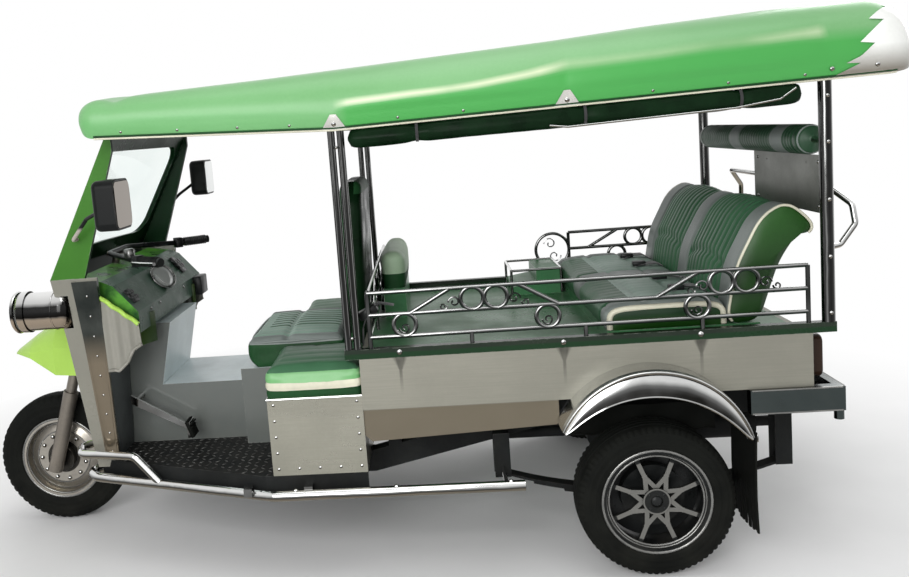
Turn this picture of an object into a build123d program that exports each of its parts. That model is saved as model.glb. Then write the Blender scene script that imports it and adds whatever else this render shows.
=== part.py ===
from build123d import *
from math import cos, radians, sin
import os

os.makedirs("parts", exist_ok=True)

# Frame: X forward, Y left, Z up, millimetres, ground at Z = 0

# Clearances
SEAT_GAP = 0.3
MOVING_GAP = 6.0

# Body tub
BODY_FRONT_X = 100.0
BODY_LENGTH = 1535.0
BODY_REAR_X = BODY_FRONT_X - BODY_LENGTH
BODY_HALF_WIDTH = 665.0
BODY_WALL = 20.0
DECK_Z = 803.0
DECK_THICK = 18.0
PANEL_HEIGHT = 184.0
PANEL_LOW_Z = DECK_Z - PANEL_HEIGHT
RIM_STRIP_HEIGHT = 35.0
RIM_STRIP_WIDTH = 30.0
RIM_TOP_Z = DECK_Z + RIM_STRIP_HEIGHT
SILL_LENGTH = 683.0
SILL_INSET = 6.0
SILL_CORNER = 24.0
SILL_FRONT_DROP = 118.0
SILL_REAR_DROP = 89.0

# Wheels and axles
DRIVER_BAY = 1404.0
FRONT_AXLE_X = BODY_FRONT_X + DRIVER_BAY
REAR_OVERHANG = 552.0
REAR_AXLE_X = BODY_REAR_X + REAR_OVERHANG
REAR_WHEEL_OUT = 15.0
REAR_WHEEL_Y = BODY_HALF_WIDTH + REAR_WHEEL_OUT
FRONT_TYRE_RADIUS = 282.0
FRONT_TYRE_WIDTH = 120.0
FRONT_RIM_RADIUS = 176.0
REAR_TYRE_RADIUS = 267.0
REAR_TYRE_WIDTH = 150.0
REAR_RIM_RADIUS = 180.0
TYRE_CROWN_SHARE = 0.14
TYRE_SHOULDER_SHARE = 0.42
TYRE_BULGE_SHARE = 0.45
BEAD_SHARE = 0.4
RIM_WALL = 11.0
RIM_LIP = 6.0
SPINDLE_RADIUS = 20.0
FRONT_PIN_RADIUS = 9.0
FRONT_HUB_RADIUS = 58.0
FRONT_HUB_HALF = 66.0
FRONT_DISC_THICK = 8.0
FRONT_DISC_DISH = 24.0
SPOKE_COUNT = 8
SPOKE_WIDTH = 15.0
SPOKE_THICK = 14.0
SPOKE_FORK_RADIUS = 92.0
REAR_HUB_RADIUS = 46.0
REAR_DRUM_RADIUS = 108.0
REAR_DRUM_DEPTH = 62.0

# Driver's floor and front shell
FLOOR_Z = 392.0
FLOOR_THICK = 6.0
FLOOR_SKIRT = 62.0
FLOOR_FRONT_SETBACK = 324.0
FLOOR_FRONT_X = FRONT_AXLE_X - FLOOR_FRONT_SETBACK
FLOOR_NARROWING = 265.0
FLOOR_FRONT_HALF = BODY_HALF_WIDTH - FLOOR_NARROWING
FLOOR_TAPER_LENGTH = 710.0
FLOOR_TAPER_X = FLOOR_FRONT_X - FLOOR_TAPER_LENGTH
SHEET = 5.0
COWL_WALL = 12.0
COWL_HEIGHT = 748.0
COWL_TOP_Z = FLOOR_Z + COWL_HEIGHT
COWL_SHOULDER = 235.0
COWL_MID_Z = COWL_TOP_Z - COWL_SHOULDER
COWL_HEM = 27.0
COWL_LOW_Z = FLOOR_Z - COWL_HEM
COWL_MID_FLARE = 90.0
COWL_MID_HALF = FLOOR_FRONT_HALF + COWL_MID_FLARE
COWL_TOP_FLARE = 40.0
COWL_TOP_HALF = COWL_MID_HALF + COWL_TOP_FLARE
COWL_TOP_LEAD = 66.0
COWL_TOP_FRONT_X = FLOOR_FRONT_X + COWL_TOP_LEAD
COWL_MID_LEAD = 46.0
COWL_MID_FRONT_X = FLOOR_FRONT_X + COWL_MID_LEAD
COWL_TOP_DEPTH = 180.0
COWL_TOP_BOW = 97.0
COWL_MID_DEPTH = 150.0
COWL_LOW_DEPTH = 90.0
COWL_FLAT_BOW = 2.0
COWL_OPENING_HALF = 155.0
COWL_OPENING_DROP = 25.0
COWL_OPENING_TOP_Z = COWL_MID_Z - COWL_OPENING_DROP
SCREEN_RAKE = 267.0
SCREEN_TOP_X = COWL_TOP_FRONT_X - SCREEN_RAKE
SCREEN_TOP_BOW = 30.0
SCREEN_WALL = 24.0
SCREEN_MARGIN = 48.0
SCREEN_SILL = 72.0
SCREEN_CORNER = 75.0
GLASS_THICK = 5.0
PILLAR_PANEL_WALL = 18.0
PILLAR_FOOT = 134.0
LAMP_RADIUS = 73.0
LAMP_INSET = 55.0
LAMP_Y = COWL_TOP_HALF - LAMP_INSET
LAMP_DROP = 122.0
LAMP_Z = COWL_TOP_Z - LAMP_DROP
LAMP_LEAD = 166.0
LAMP_FRONT_X = COWL_TOP_FRONT_X + LAMP_LEAD
LAMP_LENGTH = 222.0
LAMP_REAR_X = LAMP_FRONT_X - LAMP_LENGTH
LAMP_LENS_DEPTH = 26.0
LAMP_SHELL_WALL = 6.0
DASH_SETBACK = 61.0
DASH_FRONT_X = COWL_TOP_FRONT_X - DASH_SETBACK
DASH_DEPTH = 240.0
DASH_REAR_X = DASH_FRONT_X - DASH_DEPTH
DASH_SIDE_GAP = 28.0
DASH_HALF = COWL_MID_HALF - DASH_SIDE_GAP
DASH_DROP = 250.0
DASH_LOW_Z = COWL_TOP_Z - DASH_DROP
DASH_FACE = 98.0
DASH_SLOPE_RUN = 90.0
DASH_SLOPE_RISE = 104.0
GAUGE_RADIUS = 48.0
GAUGE_HEIGHT = 20.0
GAUGE_Y = 25.0
SEAT_BASE_LENGTH = 510.0
TUNNEL_HALF = 214.0
TUNNEL_HEIGHT = 240.0
TUNNEL_TOP_Z = FLOOR_Z + TUNNEL_HEIGHT
TUNNEL_REAR_X = BODY_FRONT_X + SEAT_BASE_LENGTH
PEDESTAL_FRONT_GAP = 15.0
PEDESTAL_FRONT_X = FLOOR_FRONT_X - PEDESTAL_FRONT_GAP
PEDESTAL_FOOT_LEAD = 17.0
PEDESTAL_FOOT_X = DASH_REAR_X + PEDESTAL_FOOT_LEAD
PEDESTAL_TOP_LAG = 40.0
PEDESTAL_TOP_X = DASH_REAR_X - PEDESTAL_TOP_LAG
PEDAL_OUT = 86.0
PEDAL_PIVOT_SETBACK = 110.0
PEDAL_PIVOT_RISE = 208.0
PEDAL_TIP_SETBACK = 342.0
PEDAL_TIP_RISE = 78.0
PEDAL_ARM_DEPTH = 18.0
PEDAL_ARM_HALF = 6.0
PEDAL_PIN_RADIUS = 11.0
PEDAL_PAD_HALF = 32.0
MIRROR_HEIGHT = 172.0
MIRROR_WIDTH = 165.0
MIRROR_DEPTH = 78.0
MIRROR_OUT = 220.0
MIRROR_Y = COWL_TOP_HALF + MIRROR_OUT
MIRROR_ARM_RADIUS = 7.0
MIRROR_FOOT_RISE = 148.0
MIRROR_FOOT_Z = COWL_TOP_Z + MIRROR_FOOT_RISE
MIRROR_GLASS = 4.0
MIRROR_COLUMNS = ("side", "lag", "rise")
MIRROR_ROWS = ((1, 81.0, 131.0), (-1, 17.0, 148.0))

# Steering
RAKE = 18.0
FORK_OFFSET = 45.0
FORK_LEG_Y = 110.0
FORK_SLIDER_RADIUS = 31.0
FORK_TUBE_RADIUS = 23.0
FORK_SLIDER_RISE = 48.0
FORK_SLIDER_TOP = FRONT_TYRE_RADIUS + FORK_SLIDER_RISE
FORK_SLIDER_FOOT = 34.0
CROWN_RISE = 173.0
CROWN_LOW = FRONT_TYRE_RADIUS + CROWN_RISE
CROWN_THICK = 35.0
CROWN_MARGIN = 32.0
CROWN_CORNER = 28.0
STEM_RADIUS = 16.0
HEAD_TUBE_RADIUS = 30.0
HEAD_TUBE_LENGTH = 140.0
BAR_OVER_COWL = 39.0
BAR_RADIUS = 11.0
BAR_BEND = 70.0
BAR_CLAMP_HALF = 42.0
BAR_POINTS = ((0.0, 110.0, 0.0), (-168.0, 286.0, 36.0), (-284.0, 372.0, 72.0))
GRIP_RADIUS = 17.0
GRIP_LENGTH = 120.0
NOSE_COLUMNS = ("lead", "half", "low", "spring", "top")
NOSE_SECTIONS = (
    (-304.0, 174.0, 104.0, 236.0, 362.0),
    (-68.0, 166.0, 121.0, 236.0, 341.0),
    (56.0, 120.0, 188.0, 214.0, 274.0),
    (145.0, 56.0, 199.0, 203.0, 215.0),
)
NOSE_WALL = 6.0
NOSE_OPEN_DROP = 60.0

# Rear wheel arch
ARCH_SHIFT = 5.0
ARCH_X = REAR_AXLE_X + ARCH_SHIFT
ARCH_RISE = 133.0
ARCH_Z = REAR_TYRE_RADIUS + ARCH_RISE
ARCH_RADIUS = 330.0
FENDER_WIDTH = 112.0
FENDER_LIP = 20.0
FENDER_START_ANGLE = 25.0
FENDER_SWEEP_ANGLE = 139.0
LINER_DEPTH = 165.0
LINER_START_ANGLE = 22.0
LINER_SWEEP_ANGLE = 136.0
FLAP_WIDTH = 240.0
FLAP_LOW_Z = 138.0
FLAP_THICK = 6.0

# Chassis
RAIL_INSET = 265.0
RAIL_Y = BODY_HALF_WIDTH - RAIL_INSET
RAIL_WIDTH = 60.0
RAIL_HEIGHT = 84.0
RAIL_FRONT_INSET = 125.0
KICK_LAG = 10.0
KICK_FRONT_X = BODY_FRONT_X - KICK_LAG
KICK_LEAD = 283.0
KICK_REAR_X = REAR_AXLE_X + KICK_LEAD
KICK_RISE = 159.0
CROSS_SIZE = 50.0
CROSS_FRONT_INSET = 60.0
CROSS_REAR_INSET = 94.0
BEARER_WIDTH = 50.0
BEARER_HEIGHT = 55.0
BEARER_FRONT_INSET = 90.0
BEARER_MID_LEAD = 446.0
BEARER_REAR_INSET = 130.0
NECK_HALF = 34.0

# Driver's seat
SEAT_BASE_HEIGHT = 308.0
SEAT_BASE_TOP_Z = FLOOR_Z + SEAT_BASE_HEIGHT
SEAT_BASE_HALF = 300.0
SEAT_CUSHION_SETBACK = 28.0
SEAT_CUSHION_FRONT_X = TUNNEL_REAR_X - SEAT_CUSHION_SETBACK
SEAT_CUSHION_MARGIN = 12.0
SEAT_CUSHION_HALF = SEAT_BASE_HALF - SEAT_CUSHION_MARGIN
SEAT_CUSHION_THICK = 108.0
SEAT_CUSHION_ROUND = 36.0
SEAT_BACK_HALF = 255.0
SEAT_BACK_THICK = 88.0
SEAT_BACK_HEIGHT = 705.0
SEAT_BACK_TOP_Z = SEAT_BASE_TOP_Z + SEAT_BACK_HEIGHT
SEAT_BACK_LEAN = 22.0
SEAT_BACK_ROUND = 29.0
SIDE_BOX_LENGTH = 343.0
SIDE_BOX_FRONT_X = BODY_FRONT_X + SIDE_BOX_LENGTH
SIDE_BOX_HEIGHT = 286.0
SIDE_BOX_TOP_Z = FLOOR_Z + SIDE_BOX_HEIGHT
SIDE_PAD_THICK = 106.0
SIDE_PAD_ROUND = 26.0
ENGINE_HALF = 180.0
ENGINE_FRONT_GAP = 50.0
ENGINE_FRONT_X = TUNNEL_REAR_X - ENGINE_FRONT_GAP
ENGINE_REAR_GAP = 75.0
ENGINE_REAR_X = BODY_FRONT_X + ENGINE_REAR_GAP
ENGINE_TOP_GAP = 60.0
ENGINE_TOP_Z = SEAT_BASE_TOP_Z - ENGINE_TOP_GAP
ENGINE_MOUNT_HEIGHT = 28.0

# Cabin
BENCH_SIDE_GAP = 69.0
BENCH_HALF = BODY_HALF_WIDTH - BENCH_SIDE_GAP
BENCH_BASE_HEIGHT = 32.0
BENCH_BACK_SETBACK = 257.0
BENCH_BACK_X = BODY_REAR_X + BENCH_BACK_SETBACK
BENCH_DEPTH = 406.0
BENCH_FRONT_X = BENCH_BACK_X + BENCH_DEPTH
BENCH_CUSHION_THICK = 84.0
BENCH_CUSHION_ROUND = 28.0
BENCH_BACK_FOOT = 112.0
BENCH_BACK_POINTS = {
    "foot": (0.0, 0.0), "front_mid": (-36.0, 193.0), "front_top": (-125.0, 366.0), "top": (-211.0, 412.0),
    "rear_top": (-296.0, 332.0), "hook_mid": (-284.0, 296.0), "hook_end": (-244.0, 296.0),
    "rear_mid": (-182.0, 206.0), "rear_foot": (-BENCH_BACK_FOOT, 0.0),
}
BOLSTER_RADIUS = 52.0
BOLSTER_END_GAP = 105.0
BOLSTER_HALF = BODY_HALF_WIDTH - BOLSTER_END_GAP
BOLSTER_RISE = 643.0
BOLSTER_Z = DECK_Z + BOLSTER_RISE
BOLSTER_BAR_RADIUS = 12.0
JUMP_SEAT_SETBACK = 66.0
JUMP_SEAT_FRONT_X = BODY_FRONT_X - JUMP_SEAT_SETBACK
JUMP_SEAT_THICK = 92.0
JUMP_SEAT_SIDE_GAP = 125.0
JUMP_SEAT_WIDTH = BODY_HALF_WIDTH - JUMP_SEAT_SIDE_GAP
JUMP_SEAT_BASE_HEIGHT = 128.0
JUMP_SEAT_PAD_HEIGHT = 152.0
JUMP_SEAT_ROUND = 37.0
LOCKER_WIDTH = 300.0
LOCKER_LEAD = 242.0
LOCKER_FRONT_X = BENCH_FRONT_X + LOCKER_LEAD
LOCKER_LENGTH = 222.0
LOCKER_HEIGHT = 112.0

# Rails
RAIL_TUBE_RADIUS = 7.5
RAIL_FOOT_RISE = 38.0
RAIL_SPACING = 79.0
RAIL_PLANE_INSET = 13.0
RAIL_FRONT_SETBACK = 44.0
RAIL_FRONT_X = BODY_FRONT_X - RAIL_FRONT_SETBACK
RAIL_REAR_GAP = 8.0
RAIL_REAR_X = BODY_REAR_X + RAIL_REAR_GAP
RIGHT_RAIL_LEAD = 12.0
RIGHT_RAIL_FRONT_X = BENCH_FRONT_X + RIGHT_RAIL_LEAD
RING_GAP = 1.5
RAIL_RING_SHARES = (0.244, 0.582, 0.915)
REAR_PAIR_SHARE = 0.162
FRONT_PAIR_SHARE = 0.727
RAIL_SLANT_SHARES = ((0.335, 0.239), (0.556, 0.648), (0.901, 0.804))
RAIL_LEG_SHARES = (0.234, 0.497, 0.76)
CROSS_RING_Y = 330.0
CROSS_SLANT_LOW_Y = 420.0
CROSS_SLANT_HIGH_Y = 280.0
CROSS_LEG_Y = 200.0

# Roof
B_POST_LEAD = 18.0
B_POST_X = BODY_FRONT_X + B_POST_LEAD
REAR_POST_LAG = 57.0
REAR_POST_X = BODY_REAR_X - REAR_POST_LAG
POST_RADIUS = 21.0
TWIN_POST_RADIUS = 13.0
TWIN_POST_SPACING = 32.0
ROOF_OVERHANG = 25.0
ROOF_HALF = BODY_HALF_WIDTH + ROOF_OVERHANG
ROOF_WALL = 24.0
ROOF_SKIRT = 62.0
ROOF_TOP_RISE = 30.0
ROOF_TUBE_RADIUS = 14.0
CABIN_HEIGHT = 807.0
ROOF_MID_EDGE_Z = DECK_Z + CABIN_HEIGHT
ROOF_FRONT_RISE = 38.0
ROOF_FRONT_EDGE_Z = ROOF_MID_EDGE_Z + ROOF_FRONT_RISE
ROOF_REAR_RISE = 36.0
ROOF_REAR_EDGE_Z = ROOF_MID_EDGE_Z + ROOF_REAR_RISE
ROOF_FRONT_SETBACK = 19.0
ROOF_FRONT_X = SCREEN_TOP_X - ROOF_FRONT_SETBACK
ROOF_NOSE = 58.0
ROOF_REAR_LAG = 225.0
ROOF_REAR_X = BODY_REAR_X - ROOF_REAR_LAG
ROOF_TAIL = 126.0
ROOF_CREASE_LEAD = 773.0
ROOF_CREASE_X = BODY_REAR_X + ROOF_CREASE_LEAD
ROOF_FRONT_CROWN = 166.0
ROOF_MID_CROWN = 238.0
ROOF_CREASE_CROWN = 256.0
ROOF_REAR_CROWN = 278.0
ROOF_NOSE_TUCK = 46.0
ROOF_TAIL_TUCK = 84.0
ROOF_TURN_SHARE = 0.7
ROOF_TURN_TUCK = 0.25
CURTAIN_RADIUS = 38.0

# Rear end and underside
BUMPER_HEIGHT = 84.0
BUMPER_DEPTH = 30.0
BUMPER_LAG = 95.0
BUMPER_REAR_X = BODY_REAR_X - BUMPER_LAG
BUMPER_ARM_LENGTH = 308.0
BUMPER_ARM_FRONT_X = BUMPER_REAR_X + BUMPER_ARM_LENGTH
BUMPER_OUT = 17.0
BUMPER_HALF = BODY_HALF_WIDTH + BUMPER_OUT
BUMPER_STOP_RADIUS = 16.0
TAIL_LAMP_HEIGHT = 150.0
TAIL_LAMP_WIDTH = 82.0
TAIL_LAMP_DEPTH = 48.0
TAIL_LAMP_INSET = 75.0
TAIL_LAMP_Y = BODY_HALF_WIDTH - TAIL_LAMP_INSET
AXLE_TUBE_RADIUS = 38.0
DIFF_RADIUS = 112.0
DIFF_HALF = 95.0
BACKPLATE_RADIUS = 104.0
BACKPLATE_THICK = 10.0
SHAFT_RADIUS = 30.0
SPRING_OUT = 100.0
SPRING_Y = RAIL_Y + SPRING_OUT
SPRING_WIDTH = 50.0
SPRING_HALF = 498.0
SPRING_RISE = 84.0
LEAF_THICK = 9.0
LEAF_SHARES = (1.0, 0.78, 0.56, 0.34)
EYE_RADIUS = 18.0
EYE_PIN_RADIUS = 9.0
HANGER_HALF = 29.0
HANGER_WALL = 7.0
STEP_BAR_RADIUS = 19.0
STEP_BAR_OUT = 39.0
STEP_BAR_Y = BODY_HALF_WIDTH + STEP_BAR_OUT
STEP_BAR_DROP = 60.0
STEP_BAR_Z = FLOOR_Z - STEP_BAR_DROP
STEP_BAR_TAIL = 63.0
STEP_BAR_BEND = 48.0
STEP_KNEE_LAG = 30.0
STEP_NOSE_LEAD = 15.0
STEP_NOSE_OUT = 30.0
STEP_TIP_LEAD = 110.0
STEP_TIP_INSET = 82.0
STEP_STAY_LEADS = (200.0, 420.0)
STEP_STAY_SIZE = 30.0
HOOP_RADIUS = 16.0
HOOP_RISE = 104.0
HOOP_FOOT_LAG = 275.0
HOOP_KNEE_LAG = 170.0
HOOP_KNEE_OUT = 10.0
HOOP_NOSE_LEAD = 58.0
HOOP_NOSE_OUT = 54.0
HOOP_TIP_INSET = 70.0
MUFFLER_RADIUS = 56.0
MUFFLER_LENGTH = 310.0
MUFFLER_INSET = 74.0
PIPE_RADIUS = 20.0
PIPE_BEND = 90.0
PIPE_TAIL = 20.0
PIPE_STRAIGHT = 140.0
PIPE_SHIFT = 160.0
EXHAUST_INSET = 135.0
EXHAUST_Y = RAIL_Y - EXHAUST_INSET
EXHAUST_RISE = 64.0
GUARD_RADIUS = 10.0
GUARD_BEND = 28.0
GUARD_COLUMNS = ("lag", "inset", "rise")
GUARD_ROWS = (
    (0.0, 21.0, 279.0),
    (70.0, 67.0, 281.0),
    (132.0, 92.0, 347.0),
    (128.0, 107.0, 412.0),
    (62.0, 182.0, 487.0),
)
PLATE_HEIGHT = 196.0
PLATE_HOLE_RADIUS = 3.5
PLATE_HOLE_SPACING_Y = 360.0
PLATE_HOLE_SPACING_Z = 140.0
PLATE_THICK = 5.0

# Derived positions
FLOOR_LOW_Z = FLOOR_Z - FLOOR_THICK
RAIL_TOP_Z = FLOOR_LOW_Z
RAIL_LOW_Z = RAIL_TOP_Z - RAIL_HEIGHT
REAR_RAIL_TOP_Z = RAIL_TOP_Z + KICK_RISE
REAR_RAIL_LOW_Z = RAIL_LOW_Z + KICK_RISE
EXHAUST_Z = RAIL_LOW_Z + EXHAUST_RISE
HOOP_Z = STEP_BAR_Z + HOOP_RISE
PEDAL_Y = TUNNEL_HALF + PEDAL_OUT
POST_Y = ROOF_HALF - ROOF_WALL - ROOF_TUBE_RADIUS - SEAT_GAP
RAIL_PLANE_Y = BODY_HALF_WIDTH - RAIL_PLANE_INSET
RAIL_LEVELS = [RIM_TOP_Z + RAIL_FOOT_RISE + row * RAIL_SPACING for row in range(3)]
FORK_SINE = sin(radians(RAKE))
FORK_COSINE = cos(radians(RAKE))
STEER_BASE_X = FRONT_AXLE_X - FORK_OFFSET * FORK_COSINE
STEER_BASE_Z = FRONT_TYRE_RADIUS - FORK_OFFSET * FORK_SINE
BAR_HEIGHT = (COWL_TOP_Z + BAR_OVER_COWL - STEER_BASE_Z) / FORK_COSINE
STEER_PLANE = Plane(
    origin=(STEER_BASE_X, 0, STEER_BASE_Z),
    x_dir=(FORK_COSINE, 0, FORK_SINE),
    z_dir=(-FORK_SINE, 0, FORK_COSINE),
)


def block(x0, x1, y0, y1, z0, z1):
    """Rectangular block between two corners."""
    return Pos((x0 + x1) / 2, (y0 + y1) / 2, (z0 + z1) / 2) * Box(x1 - x0, y1 - y0, z1 - z0)


def side_plate(outline, y0, y1):
    """Outline of (x, z) points made solid from y0 to y1."""
    face = make_face(Polyline(*[(x, y0, z) for x, z in outline], close=True))
    return extrude(face, amount=y1 - y0, dir=(0, 1, 0))


def bar(points, radius, bend=0.0):
    """Round bar along straight runs, with arcs of the bend radius at the corners."""
    path = FilletPolyline(*points, radius=bend) if bend else Line(*points)
    return sweep(Plane(origin=path @ 0, z_dir=path % 0) * Circle(radius), path=path)


def cross_rod(x, z, radius, y0, y1):
    """Round rod across the vehicle from y0 to y1."""
    return Pos(x, (y0 + y1) / 2, z) * Rot(90, 0, 0) * Cylinder(radius, y1 - y0)


def upright(x, y, radius, z0, z1):
    """Round rod standing from z0 to z1."""
    return Pos(x, y, (z0 + z1) / 2) * Cylinder(radius, z1 - z0)


def long_rod(y, z, radius, x0, x1):
    """Round rod along the vehicle from x0 to x1."""
    return Pos((x0 + x1) / 2, y, z) * Rot(0, 90, 0) * Cylinder(radius, x1 - x0)


def right_of(shape):
    """The same shape on the other side of the vehicle."""
    return mirror(shape, about=Plane.XZ)


def wheel_ring(outline):
    """Outline of (radius, offset) points turned about the wheel's own axis."""
    return revolve(make_face(Polyline(*outline, close=True)), Axis.Y, 360)


def save(name, *pieces):
    """Write one node from the solids of its pieces."""
    solids = [solid for piece in pieces for solid in piece.solids()]
    shape = solids[0] if len(solids) == 1 else Compound(children=solids)
    export_step(shape, f"parts/{name}.step")


def between(value, low, high, at_low, at_high):
    """Value read on the straight line between two known places."""
    return at_low + (at_high - at_low) * (value - low) / (high - low)


def roof_edge_z(x):
    """Height of the canopy's lower edge, lowest at the middle posts."""
    if x > B_POST_X:
        return between(x, B_POST_X, ROOF_FRONT_X, ROOF_MID_EDGE_Z, ROOF_FRONT_EDGE_Z)
    return between(x, B_POST_X, ROOF_REAR_X, ROOF_MID_EDGE_Z, ROOF_REAR_EDGE_Z)


def roof_tube_z(x):
    """Centre height of the roof's side tube."""
    return roof_edge_z(x) + ROOF_TUBE_RADIUS


# Tyres and rims


def tyre(radius, width, rim_radius):
    """Ring with bulged side walls and a low crown."""
    wall = radius - rim_radius
    bead = BEAD_SHARE * width
    low = (rim_radius, -bead)
    shoulder_radius = radius - TYRE_CROWN_SHARE * wall
    bulge_radius = rim_radius + TYRE_BULGE_SHARE * wall
    low_shoulder = (shoulder_radius, -TYRE_SHOULDER_SHARE * width)
    shoulder = (shoulder_radius, TYRE_SHOULDER_SHARE * width)
    high = (rim_radius, bead)
    outline = [
        ThreePointArc(low, (bulge_radius, -width / 2), low_shoulder),
        ThreePointArc(low_shoulder, (radius, 0), shoulder),
        ThreePointArc(shoulder, (bulge_radius, width / 2), high),
        Line(high, low),
    ]
    return revolve(make_face(outline), Axis.Y, 360)


def rim_barrel(rim_radius, width):
    """Open barrel that carries the tyre."""
    reach = BEAD_SHARE * width + RIM_LIP
    outer = rim_radius - SEAT_GAP
    inner = outer - RIM_WALL
    return wheel_ring([(inner, -reach), (outer, -reach), (outer, reach), (inner, reach)])


def spoke(angle, start_radius, start_angle, end_radius, face_y):
    """Flat spoke from a start point to a point at the given angle."""
    x0 = start_radius * cos(radians(start_angle))
    z0 = start_radius * sin(radians(start_angle))
    x1 = end_radius * cos(radians(angle))
    z1 = end_radius * sin(radians(angle))
    run = Vector(x1 - x0, 0, z1 - z0)
    middle = ((x0 + x1) / 2, face_y - SPOKE_THICK / 2, (z0 + z1) / 2)
    place = Plane(origin=middle, x_dir=run, z_dir=(0, 1, 0))
    return place * Box(run.length + SPOKE_WIDTH, SPOKE_WIDTH, SPOKE_THICK)


front_tyre = tyre(FRONT_TYRE_RADIUS, FRONT_TYRE_WIDTH, FRONT_RIM_RADIUS)
front_disc_edge = FRONT_RIM_RADIUS - RIM_WALL
front_disc = wheel_ring([
    (front_disc_edge, 0),
    (front_disc_edge, FRONT_DISC_THICK),
    (front_disc_edge - 2 * FRONT_DISC_DISH, FRONT_DISC_THICK + FRONT_DISC_DISH),
    (FRONT_HUB_RADIUS / 2, FRONT_DISC_THICK + FRONT_DISC_DISH),
    (FRONT_HUB_RADIUS / 2, FRONT_DISC_DISH),
    (front_disc_edge - 2 * FRONT_DISC_DISH, FRONT_DISC_DISH),
])
front_hub = cross_rod(0, 0, FRONT_HUB_RADIUS, -FRONT_HUB_HALF, FRONT_HUB_HALF)
front_bore = cross_rod(0, 0, FRONT_PIN_RADIUS + SEAT_GAP, -2 * FRONT_HUB_HALF, 2 * FRONT_HUB_HALF)
front_rim = rim_barrel(FRONT_RIM_RADIUS, FRONT_TYRE_WIDTH) + front_disc + front_hub - front_bore
FRONT_WHEEL = Pos(FRONT_AXLE_X, 0, FRONT_TYRE_RADIUS)
save("front_tyre", FRONT_WHEEL * front_tyre)
save("front_rim", FRONT_WHEEL * front_rim)

rear_tyre = tyre(REAR_TYRE_RADIUS, REAR_TYRE_WIDTH, REAR_RIM_RADIUS)
rear_face_y = BEAD_SHARE * REAR_TYRE_WIDTH - RIM_LIP
rear_drum_y = -BEAD_SHARE * REAR_TYRE_WIDTH
rear_rim = rim_barrel(REAR_RIM_RADIUS, REAR_TYRE_WIDTH)
rear_rim += cross_rod(0, 0, REAR_HUB_RADIUS, rear_drum_y, rear_face_y + SPOKE_THICK / 2)
rear_rim += cross_rod(0, 0, REAR_DRUM_RADIUS, rear_drum_y - SPOKE_THICK, rear_drum_y + REAR_DRUM_DEPTH)
for index in range(SPOKE_COUNT):
    spoke_angle = (index + 0.5) * 360 / SPOKE_COUNT
    half_step = 180 / SPOKE_COUNT
    spoke_end = REAR_RIM_RADIUS - RIM_WALL
    rear_rim += spoke(spoke_angle, SPOKE_FORK_RADIUS, spoke_angle, spoke_end, rear_face_y)
    rear_rim += spoke(spoke_angle, REAR_HUB_RADIUS, spoke_angle - half_step, SPOKE_FORK_RADIUS, rear_face_y)
    rear_rim += spoke(spoke_angle, REAR_HUB_RADIUS, spoke_angle + half_step, SPOKE_FORK_RADIUS, rear_face_y)
rear_rim -= cross_rod(0, 0, SPINDLE_RADIUS + SEAT_GAP, -REAR_TYRE_WIDTH, REAR_TYRE_WIDTH)
REAR_WHEEL = Pos(REAR_AXLE_X, REAR_WHEEL_Y, REAR_TYRE_RADIUS)
save("rear_tyre_left", REAR_WHEEL * rear_tyre)
save("rear_rim_left", REAR_WHEEL * rear_rim)
save("rear_tyre_right", right_of(REAR_WHEEL * rear_tyre))
save("rear_rim_right", right_of(REAR_WHEEL * rear_rim))

# Fork and handlebar

crown_top = CROWN_LOW + CROWN_THICK
clamp_top = BAR_HEIGHT - BAR_RADIUS - SEAT_GAP
crown_half = FORK_LEG_Y + CROWN_MARGIN
crown = block(-CROWN_MARGIN, FORK_OFFSET + CROWN_MARGIN, -crown_half, crown_half, CROWN_LOW, crown_top)
fork = fillet(crown.edges().filter_by(Axis.Z), CROWN_CORNER)
for leg_y in (-FORK_LEG_Y, FORK_LEG_Y):
    fork += upright(FORK_OFFSET, leg_y, FORK_SLIDER_RADIUS, -FORK_SLIDER_FOOT, FORK_SLIDER_TOP)
    fork += upright(FORK_OFFSET, leg_y, FORK_TUBE_RADIUS, FORK_SLIDER_TOP, crown_top)
fork += upright(0, 0, STEM_RADIUS, CROWN_LOW, clamp_top)
fork += cross_rod(FORK_OFFSET, 0, FRONT_PIN_RADIUS, -crown_half, crown_half)
clamp_low = clamp_top - STEM_RADIUS
fork += block(-2 * STEM_RADIUS, 2 * STEM_RADIUS, -BAR_CLAMP_HALF, BAR_CLAMP_HALF, clamp_low, clamp_top)
save("fork", STEER_PLANE * fork)

left_run = [STEER_PLANE.from_local_coords(Vector(x, y, BAR_HEIGHT + z)) for x, y, z in BAR_POINTS]
right_run = [Vector(point.X, -point.Y, point.Z) for point in left_run]
handlebar = bar(list(reversed(left_run)) + right_run, BAR_RADIUS, BAR_BEND)
for run in (left_run, right_run):
    grip_end = run[2] + (run[2] - run[1]).normalized() * BAR_RADIUS
    grip_start = grip_end - (run[2] - run[1]).normalized() * GRIP_LENGTH
    handlebar += bar([grip_start, grip_end], GRIP_RADIUS)
save("handlebar", handlebar)

# Chassis rails, cross members and steering head

frame_rear_x = BUMPER_REAR_X + BUMPER_DEPTH
rail_front_x = FLOOR_FRONT_X - RAIL_FRONT_INSET
rail_outline = [
    (rail_front_x, RAIL_TOP_Z),
    (KICK_FRONT_X, RAIL_TOP_Z),
    (KICK_REAR_X, REAR_RAIL_TOP_Z),
    (frame_rear_x, REAR_RAIL_TOP_Z),
    (frame_rear_x, REAR_RAIL_LOW_Z),
    (KICK_REAR_X, REAR_RAIL_LOW_Z),
    (KICK_FRONT_X, RAIL_LOW_Z),
    (rail_front_x, RAIL_LOW_Z),
]
rail_inner = RAIL_Y - RAIL_WIDTH / 2
rail_outer = RAIL_Y + RAIL_WIDTH / 2
chassis_rail = side_plate(rail_outline, rail_inner, rail_outer)


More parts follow.
